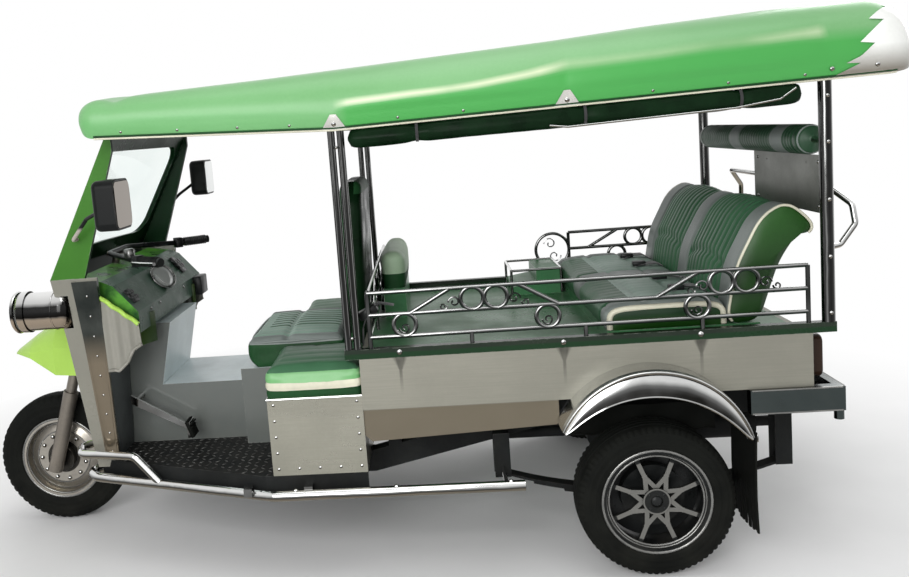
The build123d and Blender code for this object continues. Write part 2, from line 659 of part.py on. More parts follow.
def rail_low_z(x):
    """Underside of the chassis rail at a place along it."""
    if x > KICK_FRONT_X:
        return RAIL_LOW_Z
    if x < KICK_REAR_X:
        return REAR_RAIL_LOW_Z
    return between(x, KICK_REAR_X, KICK_FRONT_X, REAR_RAIL_LOW_Z, RAIL_LOW_Z)


axle_bottom_z = REAR_TYRE_RADIUS - AXLE_TUBE_RADIUS
leaf_top_z = axle_bottom_z - SEAT_GAP
eye_z = leaf_top_z + SPRING_RISE
spring_front_x = REAR_AXLE_X + SPRING_HALF
spring_rear_x = REAR_AXLE_X - SPRING_HALF
cheek_inner = SPRING_WIDTH / 2 + SEAT_GAP
cheek_outer = cheek_inner + HANGER_WALL
for eye_x in (spring_front_x, spring_rear_x):
    head_z = rail_low_z(eye_x) + CROSS_SIZE / 2
    hanger_low = eye_z - EYE_RADIUS
    hanger_end = SPRING_Y + cheek_outer
    hanger_x0 = eye_x - HANGER_HALF
    hanger_x1 = eye_x + HANGER_HALF
    hanger = block(hanger_x0, hanger_x1, RAIL_Y, hanger_end, head_z, head_z + CROSS_SIZE / 2)
    for cheek_y in (SPRING_Y - cheek_outer, SPRING_Y + cheek_inner):
        cheek_end = cheek_y + HANGER_WALL
        hanger += block(hanger_x0, hanger_x1, cheek_y, cheek_end, hanger_low, head_z + CROSS_SIZE / 2)
    hanger += cross_rod(eye_x, eye_z, EYE_PIN_RADIUS, SPRING_Y - cheek_outer, hanger_end)
    chassis_rail += hanger

bearer_stations = (
    BODY_FRONT_X - BEARER_FRONT_INSET, REAR_AXLE_X + BEARER_MID_LEAD, BODY_REAR_X + BEARER_REAR_INSET
)
deck_low_z = DECK_Z - DECK_THICK
bearers = []
for bearer_x in bearer_stations:
    leg_low = rail_low_z(bearer_x) + RAIL_HEIGHT / 2
    leg_x0 = bearer_x - BEARER_WIDTH / 2
    leg_x1 = bearer_x + BEARER_WIDTH / 2
    leg_top = deck_low_z - BEARER_HEIGHT - SEAT_GAP
    chassis_rail += block(leg_x0, leg_x1, rail_inner, rail_outer, leg_low, leg_top)
    reach = BODY_HALF_WIDTH - BODY_WALL
    bearers.append(block(leg_x0, leg_x1, -reach, reach, deck_low_z - BEARER_HEIGHT, deck_low_z))

cross_stations = (rail_front_x - CROSS_FRONT_INSET, spring_front_x, BODY_REAR_X + CROSS_REAR_INSET)
cross_end = rail_inner - SEAT_GAP
cross_members = []
for cross_x in cross_stations:
    low = rail_low_z(cross_x) + (RAIL_HEIGHT - CROSS_SIZE) / 2
    x0 = cross_x - CROSS_SIZE / 2
    cross_members.append(block(x0, x0 + CROSS_SIZE, -cross_end, cross_end, low, low + CROSS_SIZE))
for mount_x in (ENGINE_REAR_X + CROSS_SIZE, ENGINE_FRONT_X - CROSS_SIZE):
    x0 = mount_x - CROSS_SIZE / 2
    top = RAIL_LOW_Z + ENGINE_MOUNT_HEIGHT
    cross_members.append(block(x0, x0 + CROSS_SIZE, -cross_end, cross_end, RAIL_LOW_Z, top))

head_low = crown_top + MOVING_GAP
head_high = head_low + HEAD_TUBE_LENGTH
neck_foot_x = cross_stations[0]
neck_low_z = RAIL_LOW_Z + (RAIL_HEIGHT + CROSS_SIZE) / 2
neck_top = STEER_PLANE.from_local_coords(Vector(0, 0, head_high - HEAD_TUBE_RADIUS))
neck_side = STEER_PLANE.from_local_coords(Vector(0, 0, head_low + HEAD_TUBE_RADIUS))
neck = side_plate(
    [
        (neck_foot_x - NECK_HALF, neck_low_z),
        (neck_foot_x + NECK_HALF, neck_low_z),
        (neck_side.X - 3 * HEAD_TUBE_RADIUS, neck_side.Z - 3 * HEAD_TUBE_RADIUS),
        (neck_side.X, neck_side.Z),
        (neck_top.X, neck_top.Z),
    ],
    -NECK_HALF,
    NECK_HALF,
)
neck += cross_members[0]
neck += STEER_PLANE * upright(0, 0, HEAD_TUBE_RADIUS, head_low, head_high)
neck -= STEER_PLANE * upright(0, 0, STEM_RADIUS + SEAT_GAP, CROWN_LOW, BAR_HEIGHT)
save("chassis_frame", chassis_rail, right_of(chassis_rail), *bearers, *cross_members[1:], neck)

# Rear axle, propeller shaft and springs

hub_inner_y = REAR_WHEEL_Y + rear_drum_y - SPOKE_THICK
backplate_y = hub_inner_y - MOVING_GAP
spindle_end = REAR_WHEEL_Y + rear_face_y
axle_half = make_face(Polyline(
    (0, -DIFF_HALF / 2),
    (DIFF_RADIUS, -DIFF_HALF / 2),
    (DIFF_RADIUS, DIFF_HALF / 2),
    (AXLE_TUBE_RADIUS, DIFF_HALF),
    (AXLE_TUBE_RADIUS, backplate_y - BACKPLATE_THICK),
    (BACKPLATE_RADIUS, backplate_y - BACKPLATE_THICK),
    (BACKPLATE_RADIUS, backplate_y),
    (SPINDLE_RADIUS, backplate_y),
    (SPINDLE_RADIUS, spindle_end),
    (0, spindle_end),
    close=True,
))
axle_side = revolve(axle_half, Axis.Y, 360)
axle = Pos(REAR_AXLE_X, 0, REAR_TYRE_RADIUS) * (axle_side + right_of(axle_side))
save("rear_axle", axle)

engine_low_z = RAIL_LOW_Z + ENGINE_MOUNT_HEIGHT
shaft_front = Vector(ENGINE_REAR_X - SEAT_GAP, 0, engine_low_z + SHAFT_RADIUS)
shaft_rear = Vector(REAR_AXLE_X + DIFF_RADIUS - SEAT_GAP, 0, REAR_TYRE_RADIUS + SHAFT_RADIUS)
propeller_shaft = bar([shaft_front, shaft_rear], SHAFT_RADIUS)
diff_room = DIFF_RADIUS + SEAT_GAP
propeller_shaft -= cross_rod(REAR_AXLE_X, REAR_TYRE_RADIUS, diff_room, -DIFF_HALF / 2, DIFF_HALF / 2)
propeller_shaft -= block(ENGINE_REAR_X - SEAT_GAP, ENGINE_FRONT_X, -ENGINE_HALF, ENGINE_HALF, 0, ENGINE_TOP_Z)


def leaf(half_length, rise, top_z):
    """Curved leaf that is lowest at the axle."""
    low_z = top_z - LEAF_THICK
    ends = (REAR_AXLE_X - half_length, REAR_AXLE_X + half_length)
    y0 = SPRING_Y - SPRING_WIDTH / 2
    outline = [
        ThreePointArc((ends[0], y0, top_z + rise), (REAR_AXLE_X, y0, top_z), (ends[1], y0, top_z + rise)),
        Line((ends[1], y0, top_z + rise), (ends[1], y0, low_z + rise)),
        ThreePointArc((ends[1], y0, low_z + rise), (REAR_AXLE_X, y0, low_z), (ends[0], y0, low_z + rise)),
        Line((ends[0], y0, low_z + rise), (ends[0], y0, top_z + rise)),
    ]
    return extrude(make_face(outline), amount=SPRING_WIDTH, dir=(0, 1, 0))


spring = leaf(SPRING_HALF, SPRING_RISE, leaf_top_z)
for row, share in enumerate(LEAF_SHARES[1:], start=1):
    spring += leaf(SPRING_HALF * share, SPRING_RISE * share * share, leaf_top_z - row * LEAF_THICK)
for eye_x in (spring_front_x, spring_rear_x):
    eye_end = SPRING_Y + SPRING_WIDTH / 2
    spring += cross_rod(eye_x, eye_z, EYE_RADIUS, SPRING_Y - SPRING_WIDTH / 2, eye_end)
eye_bore = EYE_PIN_RADIUS + SEAT_GAP
for eye_x in (spring_front_x, spring_rear_x):
    spring -= cross_rod(eye_x, eye_z, eye_bore, SPRING_Y - SPRING_WIDTH, SPRING_Y + SPRING_WIDTH)
save("leaf_springs", spring, right_of(spring))

# Engine and exhaust

engine = block(ENGINE_REAR_X, ENGINE_FRONT_X, -ENGINE_HALF, ENGINE_HALF, engine_low_z, ENGINE_TOP_Z)

muffler_rear_x = BODY_REAR_X + MUFFLER_INSET
muffler_front_x = muffler_rear_x + MUFFLER_LENGTH
strap_x = cross_stations[2]
strap_top = REAR_RAIL_LOW_Z + (RAIL_HEIGHT - CROSS_SIZE) / 2
exhaust_start_y = ENGINE_HALF - 2 * PIPE_RADIUS
exhaust = bar(
    [
        (ENGINE_REAR_X - SEAT_GAP, exhaust_start_y, EXHAUST_Z),
        (ENGINE_REAR_X - PIPE_STRAIGHT, exhaust_start_y, EXHAUST_Z),
        (ENGINE_REAR_X - PIPE_STRAIGHT - PIPE_SHIFT, EXHAUST_Y, EXHAUST_Z),
        (muffler_front_x - MUFFLER_RADIUS, EXHAUST_Y, EXHAUST_Z),
    ],
    PIPE_RADIUS,
    PIPE_BEND,
)
exhaust += long_rod(EXHAUST_Y, EXHAUST_Z, MUFFLER_RADIUS, muffler_rear_x, muffler_front_x)
exhaust += long_rod(EXHAUST_Y, EXHAUST_Z, PIPE_RADIUS, BODY_REAR_X - PIPE_TAIL, muffler_rear_x)
exhaust += block(
    strap_x - PIPE_RADIUS / 2, strap_x + PIPE_RADIUS / 2,
    EXHAUST_Y - PIPE_RADIUS, EXHAUST_Y + PIPE_RADIUS,
    EXHAUST_Z + MUFFLER_RADIUS / 2, strap_top,
)
save("powertrain", engine, propeller_shaft, exhaust)

# Driver's floor, tunnel and seat base


def floor_outline(inset, rear_x=BODY_FRONT_X):
    """Plan of the floor, narrowed to the front, drawn in by the inset."""
    rear_half = BODY_HALF_WIDTH - inset
    front_half = FLOOR_FRONT_HALF - inset
    front_x = FLOOR_FRONT_X - inset
    return [
        (rear_x, -rear_half), (FLOOR_TAPER_X, -rear_half), (front_x, -front_half),
        (front_x, front_half), (FLOOR_TAPER_X, rear_half), (rear_x, rear_half),
    ]


floor_low = FLOOR_Z - FLOOR_SKIRT
floor = extrude(Pos(0, 0, floor_low) * make_face(Polyline(*floor_outline(0), close=True)), FLOOR_SKIRT)
floor_under = make_face(Polyline(*floor_outline(SHEET, BODY_FRONT_X - SHEET), close=True))
floor -= extrude(Pos(0, 0, floor_low) * floor_under, FLOOR_SKIRT - FLOOR_THICK)
slot_half = TUNNEL_HALF - FLOOR_SKIRT / 2
floor -= block(BODY_FRONT_X - BODY_WALL, PEDESTAL_FRONT_X, -slot_half, slot_half, 0, DECK_Z)
save("driver_floor", floor)

tunnel_outline = [
    (PEDESTAL_FRONT_X, FLOOR_Z), (PEDESTAL_FRONT_X, DASH_LOW_Z), (PEDESTAL_TOP_X, DASH_LOW_Z),
    (PEDESTAL_FOOT_X, TUNNEL_TOP_Z), (TUNNEL_REAR_X, TUNNEL_TOP_Z), (TUNNEL_REAR_X, FLOOR_Z),
]
hollow_outline = [
    (PEDESTAL_FRONT_X + SHEET, FLOOR_Z - SHEET), (PEDESTAL_FRONT_X + SHEET, DASH_LOW_Z - SHEET),
    (PEDESTAL_TOP_X + SHEET, DASH_LOW_Z - SHEET), (PEDESTAL_FOOT_X + SHEET, TUNNEL_TOP_Z - SHEET),
    (TUNNEL_REAR_X + SHEET, TUNNEL_TOP_Z - SHEET), (TUNNEL_REAR_X + SHEET, FLOOR_Z - SHEET),
]
tunnel = side_plate(tunnel_outline, -TUNNEL_HALF, TUNNEL_HALF)
tunnel -= side_plate(hollow_outline, SHEET - TUNNEL_HALF, TUNNEL_HALF - SHEET)
save("tunnel_cover", tunnel)

seat_rear_x = BODY_FRONT_X + SEAT_GAP
seat_base = block(seat_rear_x, TUNNEL_REAR_X, -SEAT_BASE_HALF, SEAT_BASE_HALF, FLOOR_Z, SEAT_BASE_TOP_Z)
seat_base -= block(
    seat_rear_x + SHEET, TUNNEL_REAR_X - SHEET,
    SHEET - SEAT_BASE_HALF, SEAT_BASE_HALF - SHEET, FLOOR_Z - SHEET, SEAT_BASE_TOP_Z - SHEET,
)
save("seat_base", seat_base)

box_inner = SEAT_BASE_HALF + SHEET
box_outer = BODY_HALF_WIDTH
side_box = block(seat_rear_x, SIDE_BOX_FRONT_X, box_inner, box_outer, FLOOR_Z, SIDE_BOX_TOP_Z)
save("side_boxes", side_box, right_of(side_box))
pad_top = SIDE_BOX_TOP_Z + SIDE_PAD_THICK
pad_start = block(seat_rear_x, SIDE_BOX_FRONT_X, box_inner, box_outer, SIDE_BOX_TOP_Z, pad_top)
side_pad = fillet(pad_start.faces().sort_by(Axis.Z)[-1].edges(), SIDE_PAD_ROUND)
save("side_box_pads", side_pad, right_of(side_pad))

cushion_top = SEAT_BASE_TOP_Z + SEAT_CUSHION_THICK
cushion_rear_x = seat_rear_x + SEAT_BACK_THICK + SEAT_GAP
driver_cushion = block(
    cushion_rear_x, SEAT_CUSHION_FRONT_X,
    -SEAT_CUSHION_HALF, SEAT_CUSHION_HALF, SEAT_BASE_TOP_Z, cushion_top,
)
driver_cushion = fillet(driver_cushion.faces().sort_by(Axis.Z)[-1].edges(), SEAT_CUSHION_ROUND)
save("driver_cushion", driver_cushion)
back_outline = [
    (seat_rear_x, SEAT_BASE_TOP_Z), (seat_rear_x + SEAT_BACK_THICK, SEAT_BASE_TOP_Z),
    (seat_rear_x + SEAT_BACK_THICK, cushion_top),
    (seat_rear_x + SEAT_BACK_THICK - SEAT_BACK_LEAN, SEAT_BACK_TOP_Z),
    (seat_rear_x - SEAT_BACK_LEAN, SEAT_BACK_TOP_Z), (seat_rear_x, RIM_TOP_Z),
]
driver_backrest = side_plate(back_outline, -SEAT_BACK_HALF, SEAT_BACK_HALF)
driver_backrest = fillet(driver_backrest.faces().sort_by(Axis.Z)[-1].edges(), SEAT_BACK_ROUND)
save("driver_backrest", driver_backrest)

# Front cowl


def cowl_section(z, half, front_x, depth, bow, wall):
    """Plan of the cowl at a height: two side returns joined by a bowed front."""
    rear_x = front_x - depth
    inner_x = front_x - wall
    inner = half - wall
    outline = [
        Line((rear_x, half, z), (front_x, half, z)),
        ThreePointArc((front_x, half, z), (front_x + bow, 0, z), (front_x, -half, z)),
        Line((front_x, -half, z), (rear_x, -half, z)),
        Line((rear_x, -half, z), (rear_x, -inner, z)),
        Line((rear_x, -inner, z), (inner_x, -inner, z)),
        ThreePointArc((inner_x, -inner, z), (inner_x + bow, 0, z), (inner_x, inner, z)),
        Line((inner_x, inner, z), (rear_x, inner, z)),
        Line((rear_x, inner, z), (rear_x, half, z)),
    ]
    return make_face(outline)


cowl_low_front_x = FLOOR_FRONT_X + COWL_WALL + SEAT_GAP
cowl_low_half = FLOOR_FRONT_HALF + COWL_WALL + SEAT_GAP
low_section = cowl_section(
    COWL_LOW_Z, cowl_low_half, cowl_low_front_x, COWL_LOW_DEPTH, COWL_FLAT_BOW, COWL_WALL
)
mid_section = cowl_section(
    COWL_MID_Z, COWL_MID_HALF, COWL_MID_FRONT_X, COWL_MID_DEPTH, COWL_FLAT_BOW, COWL_WALL
)
top_section = cowl_section(
    COWL_TOP_Z, COWL_TOP_HALF, COWL_TOP_FRONT_X, COWL_TOP_DEPTH, COWL_TOP_BOW, COWL_WALL
)
cowl = loft([low_section, mid_section, top_section], ruled=True)
slot_top = COWL_MID_Z + HEAD_TUBE_LENGTH * FORK_COSINE
cowl -= block(BODY_FRONT_X, FRONT_AXLE_X, -COWL_OPENING_HALF, COWL_OPENING_HALF, 0, COWL_OPENING_TOP_Z)
cowl -= block(BODY_FRONT_X, FRONT_AXLE_X, -HEAD_TUBE_RADIUS, HEAD_TUBE_RADIUS, 0, slot_top)
lamp_hole = long_rod(LAMP_Y, LAMP_Z, LAMP_RADIUS + SEAT_GAP, LAMP_REAR_X - SEAT_GAP, LAMP_FRONT_X)
cowl -= lamp_hole
cowl -= right_of(lamp_hole)
floor_plan = make_face(Polyline(*floor_outline(-SEAT_GAP), close=True))
cowl -= extrude(Pos(0, 0, floor_low) * floor_plan, FLOOR_SKIRT)
save("front_cowl", cowl)

# Nose mudguard, set out from the front axle and the top of its tyre
tyre_top_z = 2 * FRONT_TYRE_RADIUS


def nose_section(row, wall, drop):
    """Arched section across the nose mudguard, thinned by the wall and let down by the drop."""
    part = dict(zip(NOSE_COLUMNS, row))
    x = FRONT_AXLE_X + part["lead"] - 2 * wall
    half = part["half"] - wall
    low = tyre_top_z + part["low"] - drop
    spring_z = tyre_top_z + part["spring"]
    top_z = tyre_top_z + part["top"] - wall
    outline = [
        Line((x, half, low), (x, half, spring_z)),
        ThreePointArc((x, half, spring_z), (x, 0, top_z), (x, -half, spring_z)),
        Line((x, -half, spring_z), (x, -half, low)),
        Line((x, -half, low), (x, half, low)),
    ]
    return make_face(outline)


nose = loft([nose_section(row, 0, 0) for row in NOSE_SECTIONS], ruled=True)
nose -= loft([nose_section(row, NOSE_WALL, NOSE_OPEN_DROP) for row in NOSE_SECTIONS], ruled=True)
cowl_face_gap = COWL_FLAT_BOW + SEAT_GAP
nose -= side_plate(
    [
        (BODY_FRONT_X, COWL_LOW_Z), (cowl_low_front_x + cowl_face_gap, COWL_LOW_Z),
        (COWL_MID_FRONT_X + cowl_face_gap, COWL_MID_Z),
        (COWL_TOP_FRONT_X + COWL_TOP_BOW, COWL_TOP_Z), (BODY_FRONT_X, COWL_TOP_Z),
    ],
    -COWL_MID_HALF,
    COWL_MID_HALF,
)
nose -= STEER_PLANE * upright(0, 0, HEAD_TUBE_RADIUS + MOVING_GAP, CROWN_LOW, BAR_HEIGHT)
save("nose_mudguard", nose)

# Headlamps
lens_rear_x = LAMP_FRONT_X - LAMP_LENS_DEPTH
lamp_shell = long_rod(LAMP_Y, LAMP_Z, LAMP_RADIUS, LAMP_REAR_X, lens_rear_x)
lamp_shell = fillet(lamp_shell.edges().sort_by(Axis.X)[0], LAMP_RADIUS / 2)
lamp_rim_x = lens_rear_x - LAMP_LENS_DEPTH
lamp_shell += long_rod(LAMP_Y, LAMP_Z, LAMP_RADIUS + LAMP_SHELL_WALL, lamp_rim_x, lens_rear_x)
save("headlamp_shells", lamp_shell, right_of(lamp_shell))
lens = long_rod(LAMP_Y, LAMP_Z, LAMP_RADIUS, lens_rear_x, LAMP_FRONT_X)
lens = fillet(lens.edges().sort_by(Axis.X)[-1], LAMP_LENS_DEPTH / 2)
save("headlamp_lenses", lens, right_of(lens))

# Windscreen
screen_top_z = ROOF_FRONT_EDGE_Z - SEAT_GAP


def screen_section(z, side_x, half, bow, wall, shift):
    """Bowed strip across the vehicle, set back by the shift."""
    front_x = side_x - shift
    rear_x = front_x - wall
    outline = [
        ThreePointArc((front_x, half, z), (front_x + bow, 0, z), (front_x, -half, z)),
        Line((front_x, -half, z), (rear_x, -half, z)),
        ThreePointArc((rear_x, -half, z), (rear_x + bow, 0, z), (rear_x, half, z)),
        Line((rear_x, half, z), (front_x, half, z)),
    ]
    return make_face(outline)


def screen_sheet(wall, shift):
    """Bowed sheet from the cowl to the roof."""
    low = screen_section(COWL_TOP_Z, COWL_TOP_FRONT_X, COWL_TOP_HALF, COWL_TOP_BOW, wall, shift)
    high = screen_section(screen_top_z, SCREEN_TOP_X, COWL_TOP_HALF, SCREEN_TOP_BOW, wall, shift)
    return loft([low, high], ruled=True)


def window(margin):
    """Rounded window opening along X, drawn in by the margin."""
    low = COWL_TOP_Z + SCREEN_SILL + margin
    high = screen_top_z - SCREEN_MARGIN - margin
    half = COWL_TOP_HALF - SCREEN_MARGIN - margin
    place = Plane(origin=(BODY_FRONT_X, 0, (low + high) / 2), x_dir=(0, 1, 0), z_dir=(1, 0, 0))
    return extrude(place * RectangleRounded(2 * half, high - low, SCREEN_CORNER), FRONT_AXLE_X)


pillar_outline = [
    (COWL_TOP_FRONT_X - SCREEN_WALL / 2, COWL_TOP_Z), (COWL_TOP_FRONT_X - PILLAR_FOOT, COWL_TOP_Z),
    (SCREEN_TOP_X - SCREEN_WALL, screen_top_z - SCREEN_MARGIN), (SCREEN_TOP_X - SCREEN_WALL, screen_top_z),
    (SCREEN_TOP_X - SCREEN_WALL / 2, screen_top_z),
]
screen_frame = screen_sheet(SCREEN_WALL, 0) - window(0)
pillar = side_plate(pillar_outline, COWL_TOP_HALF - PILLAR_PANEL_WALL, COWL_TOP_HALF)
screen_frame += pillar
screen_frame += right_of(pillar)
save("windscreen_frame", screen_frame)
screen_glass = screen_sheet(GLASS_THICK, (SCREEN_WALL - GLASS_THICK) / 2) & window(SEAT_GAP)
save("windscreen_glass", screen_glass)

# Dashboard and gauge
dash_face_z = DASH_LOW_Z + DASH_FACE
dash_top_z = dash_face_z + DASH_SLOPE_RISE
dash_top_x = DASH_REAR_X + DASH_SLOPE_RUN
dash_outline = [
    (DASH_FRONT_X, DASH_LOW_Z), (DASH_FRONT_X, COWL_TOP_Z - COWL_WALL),
    (dash_top_x + DASH_SLOPE_RUN / 2, dash_top_z + DASH_SLOPE_RISE / 5), (dash_top_x, dash_top_z),
    (DASH_REAR_X, dash_face_z), (DASH_REAR_X, DASH_LOW_Z + DASH_FACE / 6),
    (DASH_REAR_X + DASH_FACE / 3, DASH_LOW_Z),
]
dash = side_plate(dash_outline, -DASH_HALF, DASH_HALF)
dash -= STEER_PLANE * upright(0, 0, STEM_RADIUS + MOVING_GAP, CROWN_LOW, 2 * BAR_HEIGHT)
save("dashboard", dash)
gauge_plane = Plane(
    origin=((DASH_REAR_X + dash_top_x) / 2, GAUGE_Y, (dash_face_z + dash_top_z) / 2),
    x_dir=(0, 1, 0),
    z_dir=(-DASH_SLOPE_RISE, 0, DASH_SLOPE_RUN),
)
gauge = gauge_plane * (Pos(0, 0, GAUGE_HEIGHT / 2) * Cylinder(GAUGE_RADIUS, GAUGE_HEIGHT))
save("gauge", gauge)

# Mirrors, each set by its own driver's view
shells = []
glasses = []
pillar_x = between(MIRROR_FOOT_Z, COWL_TOP_Z, screen_top_z, COWL_TOP_FRONT_X, SCREEN_TOP_X)
foot_x = pillar_x - PILLAR_FOOT / 3
for row in MIRROR_ROWS:
    place = dict(zip(MIRROR_COLUMNS, row))
    mirror_x = SCREEN_TOP_X - place["lag"]
    mirror_y = place["side"] * MIRROR_Y
    mirror_z = MIRROR_FOOT_Z + place["rise"]
    shell = Pos(mirror_x, mirror_y, mirror_z) * Box(MIRROR_DEPTH, MIRROR_WIDTH, MIRROR_HEIGHT)
    shell = fillet(shell.edges().filter_by(Axis.X), MIRROR_DEPTH / 3)
    shell = fillet(shell.faces().sort_by(Axis.X)[-1].edges(), MIRROR_DEPTH / 4)
    foot_y = place["side"] * (COWL_TOP_HALF + SEAT_GAP)
    knee_y = place["side"] * (COWL_TOP_HALF + MIRROR_WIDTH / 2)
    arm_points = [
        (foot_x, foot_y, MIRROR_FOOT_Z), (foot_x, foot_y + place["side"] * MIRROR_DEPTH / 2, MIRROR_FOOT_Z),
        (foot_x - MIRROR_DEPTH, knee_y, MIRROR_FOOT_Z + MIRROR_DEPTH),
        (mirror_x, mirror_y, mirror_z),
    ]
    shells.append(shell + bar(arm_points, MIRROR_ARM_RADIUS, MIRROR_DEPTH / 4))
    glass_x = mirror_x - (MIRROR_DEPTH + MIRROR_GLASS) / 2
    margin = 4 * MIRROR_GLASS
    pane = Pos(glass_x, mirror_y, mirror_z) * Box(MIRROR_GLASS, MIRROR_WIDTH - margin, MIRROR_HEIGHT - margin)
    glasses.append(fillet(pane.edges().filter_by(Axis.X), MIRROR_DEPTH / 4))
save("mirrors", *shells)
save("mirror_glasses", *glasses)

# Pedals
pivot_x = FLOOR_FRONT_X - PEDAL_PIVOT_SETBACK
pivot_z = FLOOR_Z + PEDAL_PIVOT_RISE
tip_x = FLOOR_FRONT_X - PEDAL_TIP_SETBACK
tip_z = FLOOR_Z + PEDAL_TIP_RISE
pedal_outline = [
    (pivot_x, pivot_z + PEDAL_ARM_DEPTH), (pivot_x, pivot_z - PEDAL_ARM_DEPTH),
    (tip_x, tip_z - PEDAL_ARM_DEPTH / 2), (tip_x, tip_z + PEDAL_ARM_DEPTH / 2),
]
pedal = side_plate(pedal_outline, PEDAL_Y - PEDAL_ARM_HALF, PEDAL_Y + PEDAL_ARM_HALF)
pedal_pin_x = pivot_x - PEDAL_ARM_DEPTH
pedal_pin_z = pivot_z - PEDAL_ARM_HALF
pedal += cross_rod(pedal_pin_x, pedal_pin_z, PEDAL_PIN_RADIUS, TUNNEL_HALF + SEAT_GAP, PEDAL_Y)
pedal += block(
    tip_x - PEDAL_ARM_HALF, tip_x + PEDAL_ARM_HALF,
    PEDAL_Y - PEDAL_PAD_HALF, PEDAL_Y + PEDAL_PAD_HALF, tip_z - PEDAL_PAD_HALF, tip_z + PEDAL_PAD_HALF,
)
save("pedals", pedal, right_of(pedal))

# Step bars along the driver's floor
floor_front_gap = FLOOR_FRONT_X + SEAT_GAP
knee_x = FLOOR_TAPER_X - STEP_KNEE_LAG
nose_x = FLOOR_FRONT_X + STEP_NOSE_LEAD
nose_y = FLOOR_FRONT_HALF + STEP_NOSE_OUT
bar_tip_x = FLOOR_FRONT_X + STEP_TIP_LEAD
bar_tip_y = FLOOR_FRONT_HALF - STEP_TIP_INSET
step_bar = bar(
    [
        (spring_front_x - STEP_BAR_TAIL, STEP_BAR_Y, STEP_BAR_Z), (knee_x, STEP_BAR_Y, STEP_BAR_Z),
        (nose_x, nose_y, STEP_BAR_Z), (bar_tip_x, bar_tip_y, STEP_BAR_Z),
        (floor_front_gap, bar_tip_y, STEP_BAR_Z),
    ],
    STEP_BAR_RADIUS,
    STEP_BAR_BEND,
)
hoop_face_z = HOOP_Z + HOOP_RADIUS
hoop_end_x = between(hoop_face_z, COWL_LOW_Z, COWL_MID_Z, cowl_low_front_x, COWL_MID_FRONT_X) + cowl_face_gap
hoop_foot_x = FLOOR_FRONT_X - HOOP_FOOT_LAG
hoop_knee_x = FLOOR_FRONT_X - HOOP_KNEE_LAG
hoop_foot_y = between(hoop_foot_x, knee_x, nose_x, STEP_BAR_Y, nose_y)
hoop_knee_y = between(hoop_knee_x, knee_x, nose_x, STEP_BAR_Y, nose_y) + HOOP_KNEE_OUT
hoop_tip_y = FLOOR_FRONT_HALF - HOOP_TIP_INSET
step_bar += bar(
    [
        (hoop_foot_x, hoop_foot_y, STEP_BAR_Z), (hoop_knee_x, hoop_knee_y, HOOP_Z),
        (FLOOR_FRONT_X + HOOP_NOSE_LEAD, FLOOR_FRONT_HALF + HOOP_NOSE_OUT, HOOP_Z),
        (bar_tip_x, hoop_tip_y, HOOP_Z), (hoop_end_x, hoop_tip_y, HOOP_Z),
    ],
    HOOP_RADIUS,
    STEP_BAR_BEND,
)
skirt_y = BODY_HALF_WIDTH + SEAT_GAP
for stay_lead in STEP_STAY_LEADS:
    stay_x = BODY_FRONT_X + stay_lead
    stay_top = STEP_BAR_Z + STEP_STAY_SIZE
    step_bar += block(stay_x, stay_x + STEP_STAY_SIZE, skirt_y, STEP_BAR_Y, STEP_BAR_Z, stay_top)
stay_end_y = SPRING_Y + cheek_outer + SEAT_GAP
step_bar += cross_rod(spring_front_x, STEP_BAR_Z, HOOP_RADIUS / 2, stay_end_y, STEP_BAR_Y)
save("step_bars", step_bar, right_of(step_bar))

# Body tub
arch_cutter = cross_rod(ARCH_X, ARCH_Z, ARCH_RADIUS, 0, 2 * BODY_HALF_WIDTH)
body_side = block(BODY_REAR_X, BODY_FRONT_X, BODY_HALF_WIDTH - BODY_WALL, BODY_HALF_WIDTH, PANEL_LOW_Z, DECK_Z)
sill_outline = [
    (BODY_FRONT_X, PANEL_LOW_Z), (BODY_FRONT_X, PANEL_LOW_Z - SILL_FRONT_DROP + SILL_CORNER),
    (BODY_FRONT_X - SILL_CORNER, PANEL_LOW_Z - SILL_FRONT_DROP),
    (BODY_FRONT_X - SILL_LENGTH, PANEL_LOW_Z - SILL_REAR_DROP),
    (BODY_FRONT_X - SILL_LENGTH, PANEL_LOW_Z),
]
sill_outer = BODY_HALF_WIDTH - SILL_INSET
body_side += side_plate(sill_outline, BODY_HALF_WIDTH - BODY_WALL, sill_outer)
body_side -= arch_cutter

wall_half = BODY_HALF_WIDTH - BODY_WALL
end_half = wall_half - SEAT_GAP
front_wall = block(BODY_FRONT_X - BODY_WALL, BODY_FRONT_X, -end_half, end_half, PANEL_LOW_Z, DECK_Z)
rear_wall = block(BODY_REAR_X, BODY_REAR_X + BODY_WALL, -end_half, end_half, PANEL_LOW_Z, DECK_Z)
save("body_panels", body_side, right_of(body_side), front_wall, rear_wall)
deck = block(BODY_REAR_X + BODY_WALL, BODY_FRONT_X - BODY_WALL, -wall_half, wall_half, deck_low_z, DECK_Z)
save("deck", deck)
strip_front_x = B_POST_X + TWIN_POST_SPACING
strip_rear_x = REAR_POST_X - POST_RADIUS
strip_inner = BODY_HALF_WIDTH - RIM_STRIP_WIDTH
rim_strip = block(strip_rear_x, strip_front_x, strip_inner, BODY_HALF_WIDTH, DECK_Z, RIM_TOP_Z)
save("deck_rims", rim_strip, right_of(rim_strip))

# Wheel arch liners, fenders and mud flaps
ARCH_PLACE = Pos(ARCH_X, 0, ARCH_Z)


def arch_sweep(outline, start, sweep_angle):
    """Outline of (radius, y) points turned about the wheel arch's own axis."""
    face = make_face(Polyline(*outline, close=True))
    return ARCH_PLACE * Rot(0, -start, 0) * revolve(face, -Axis.Y, sweep_angle)


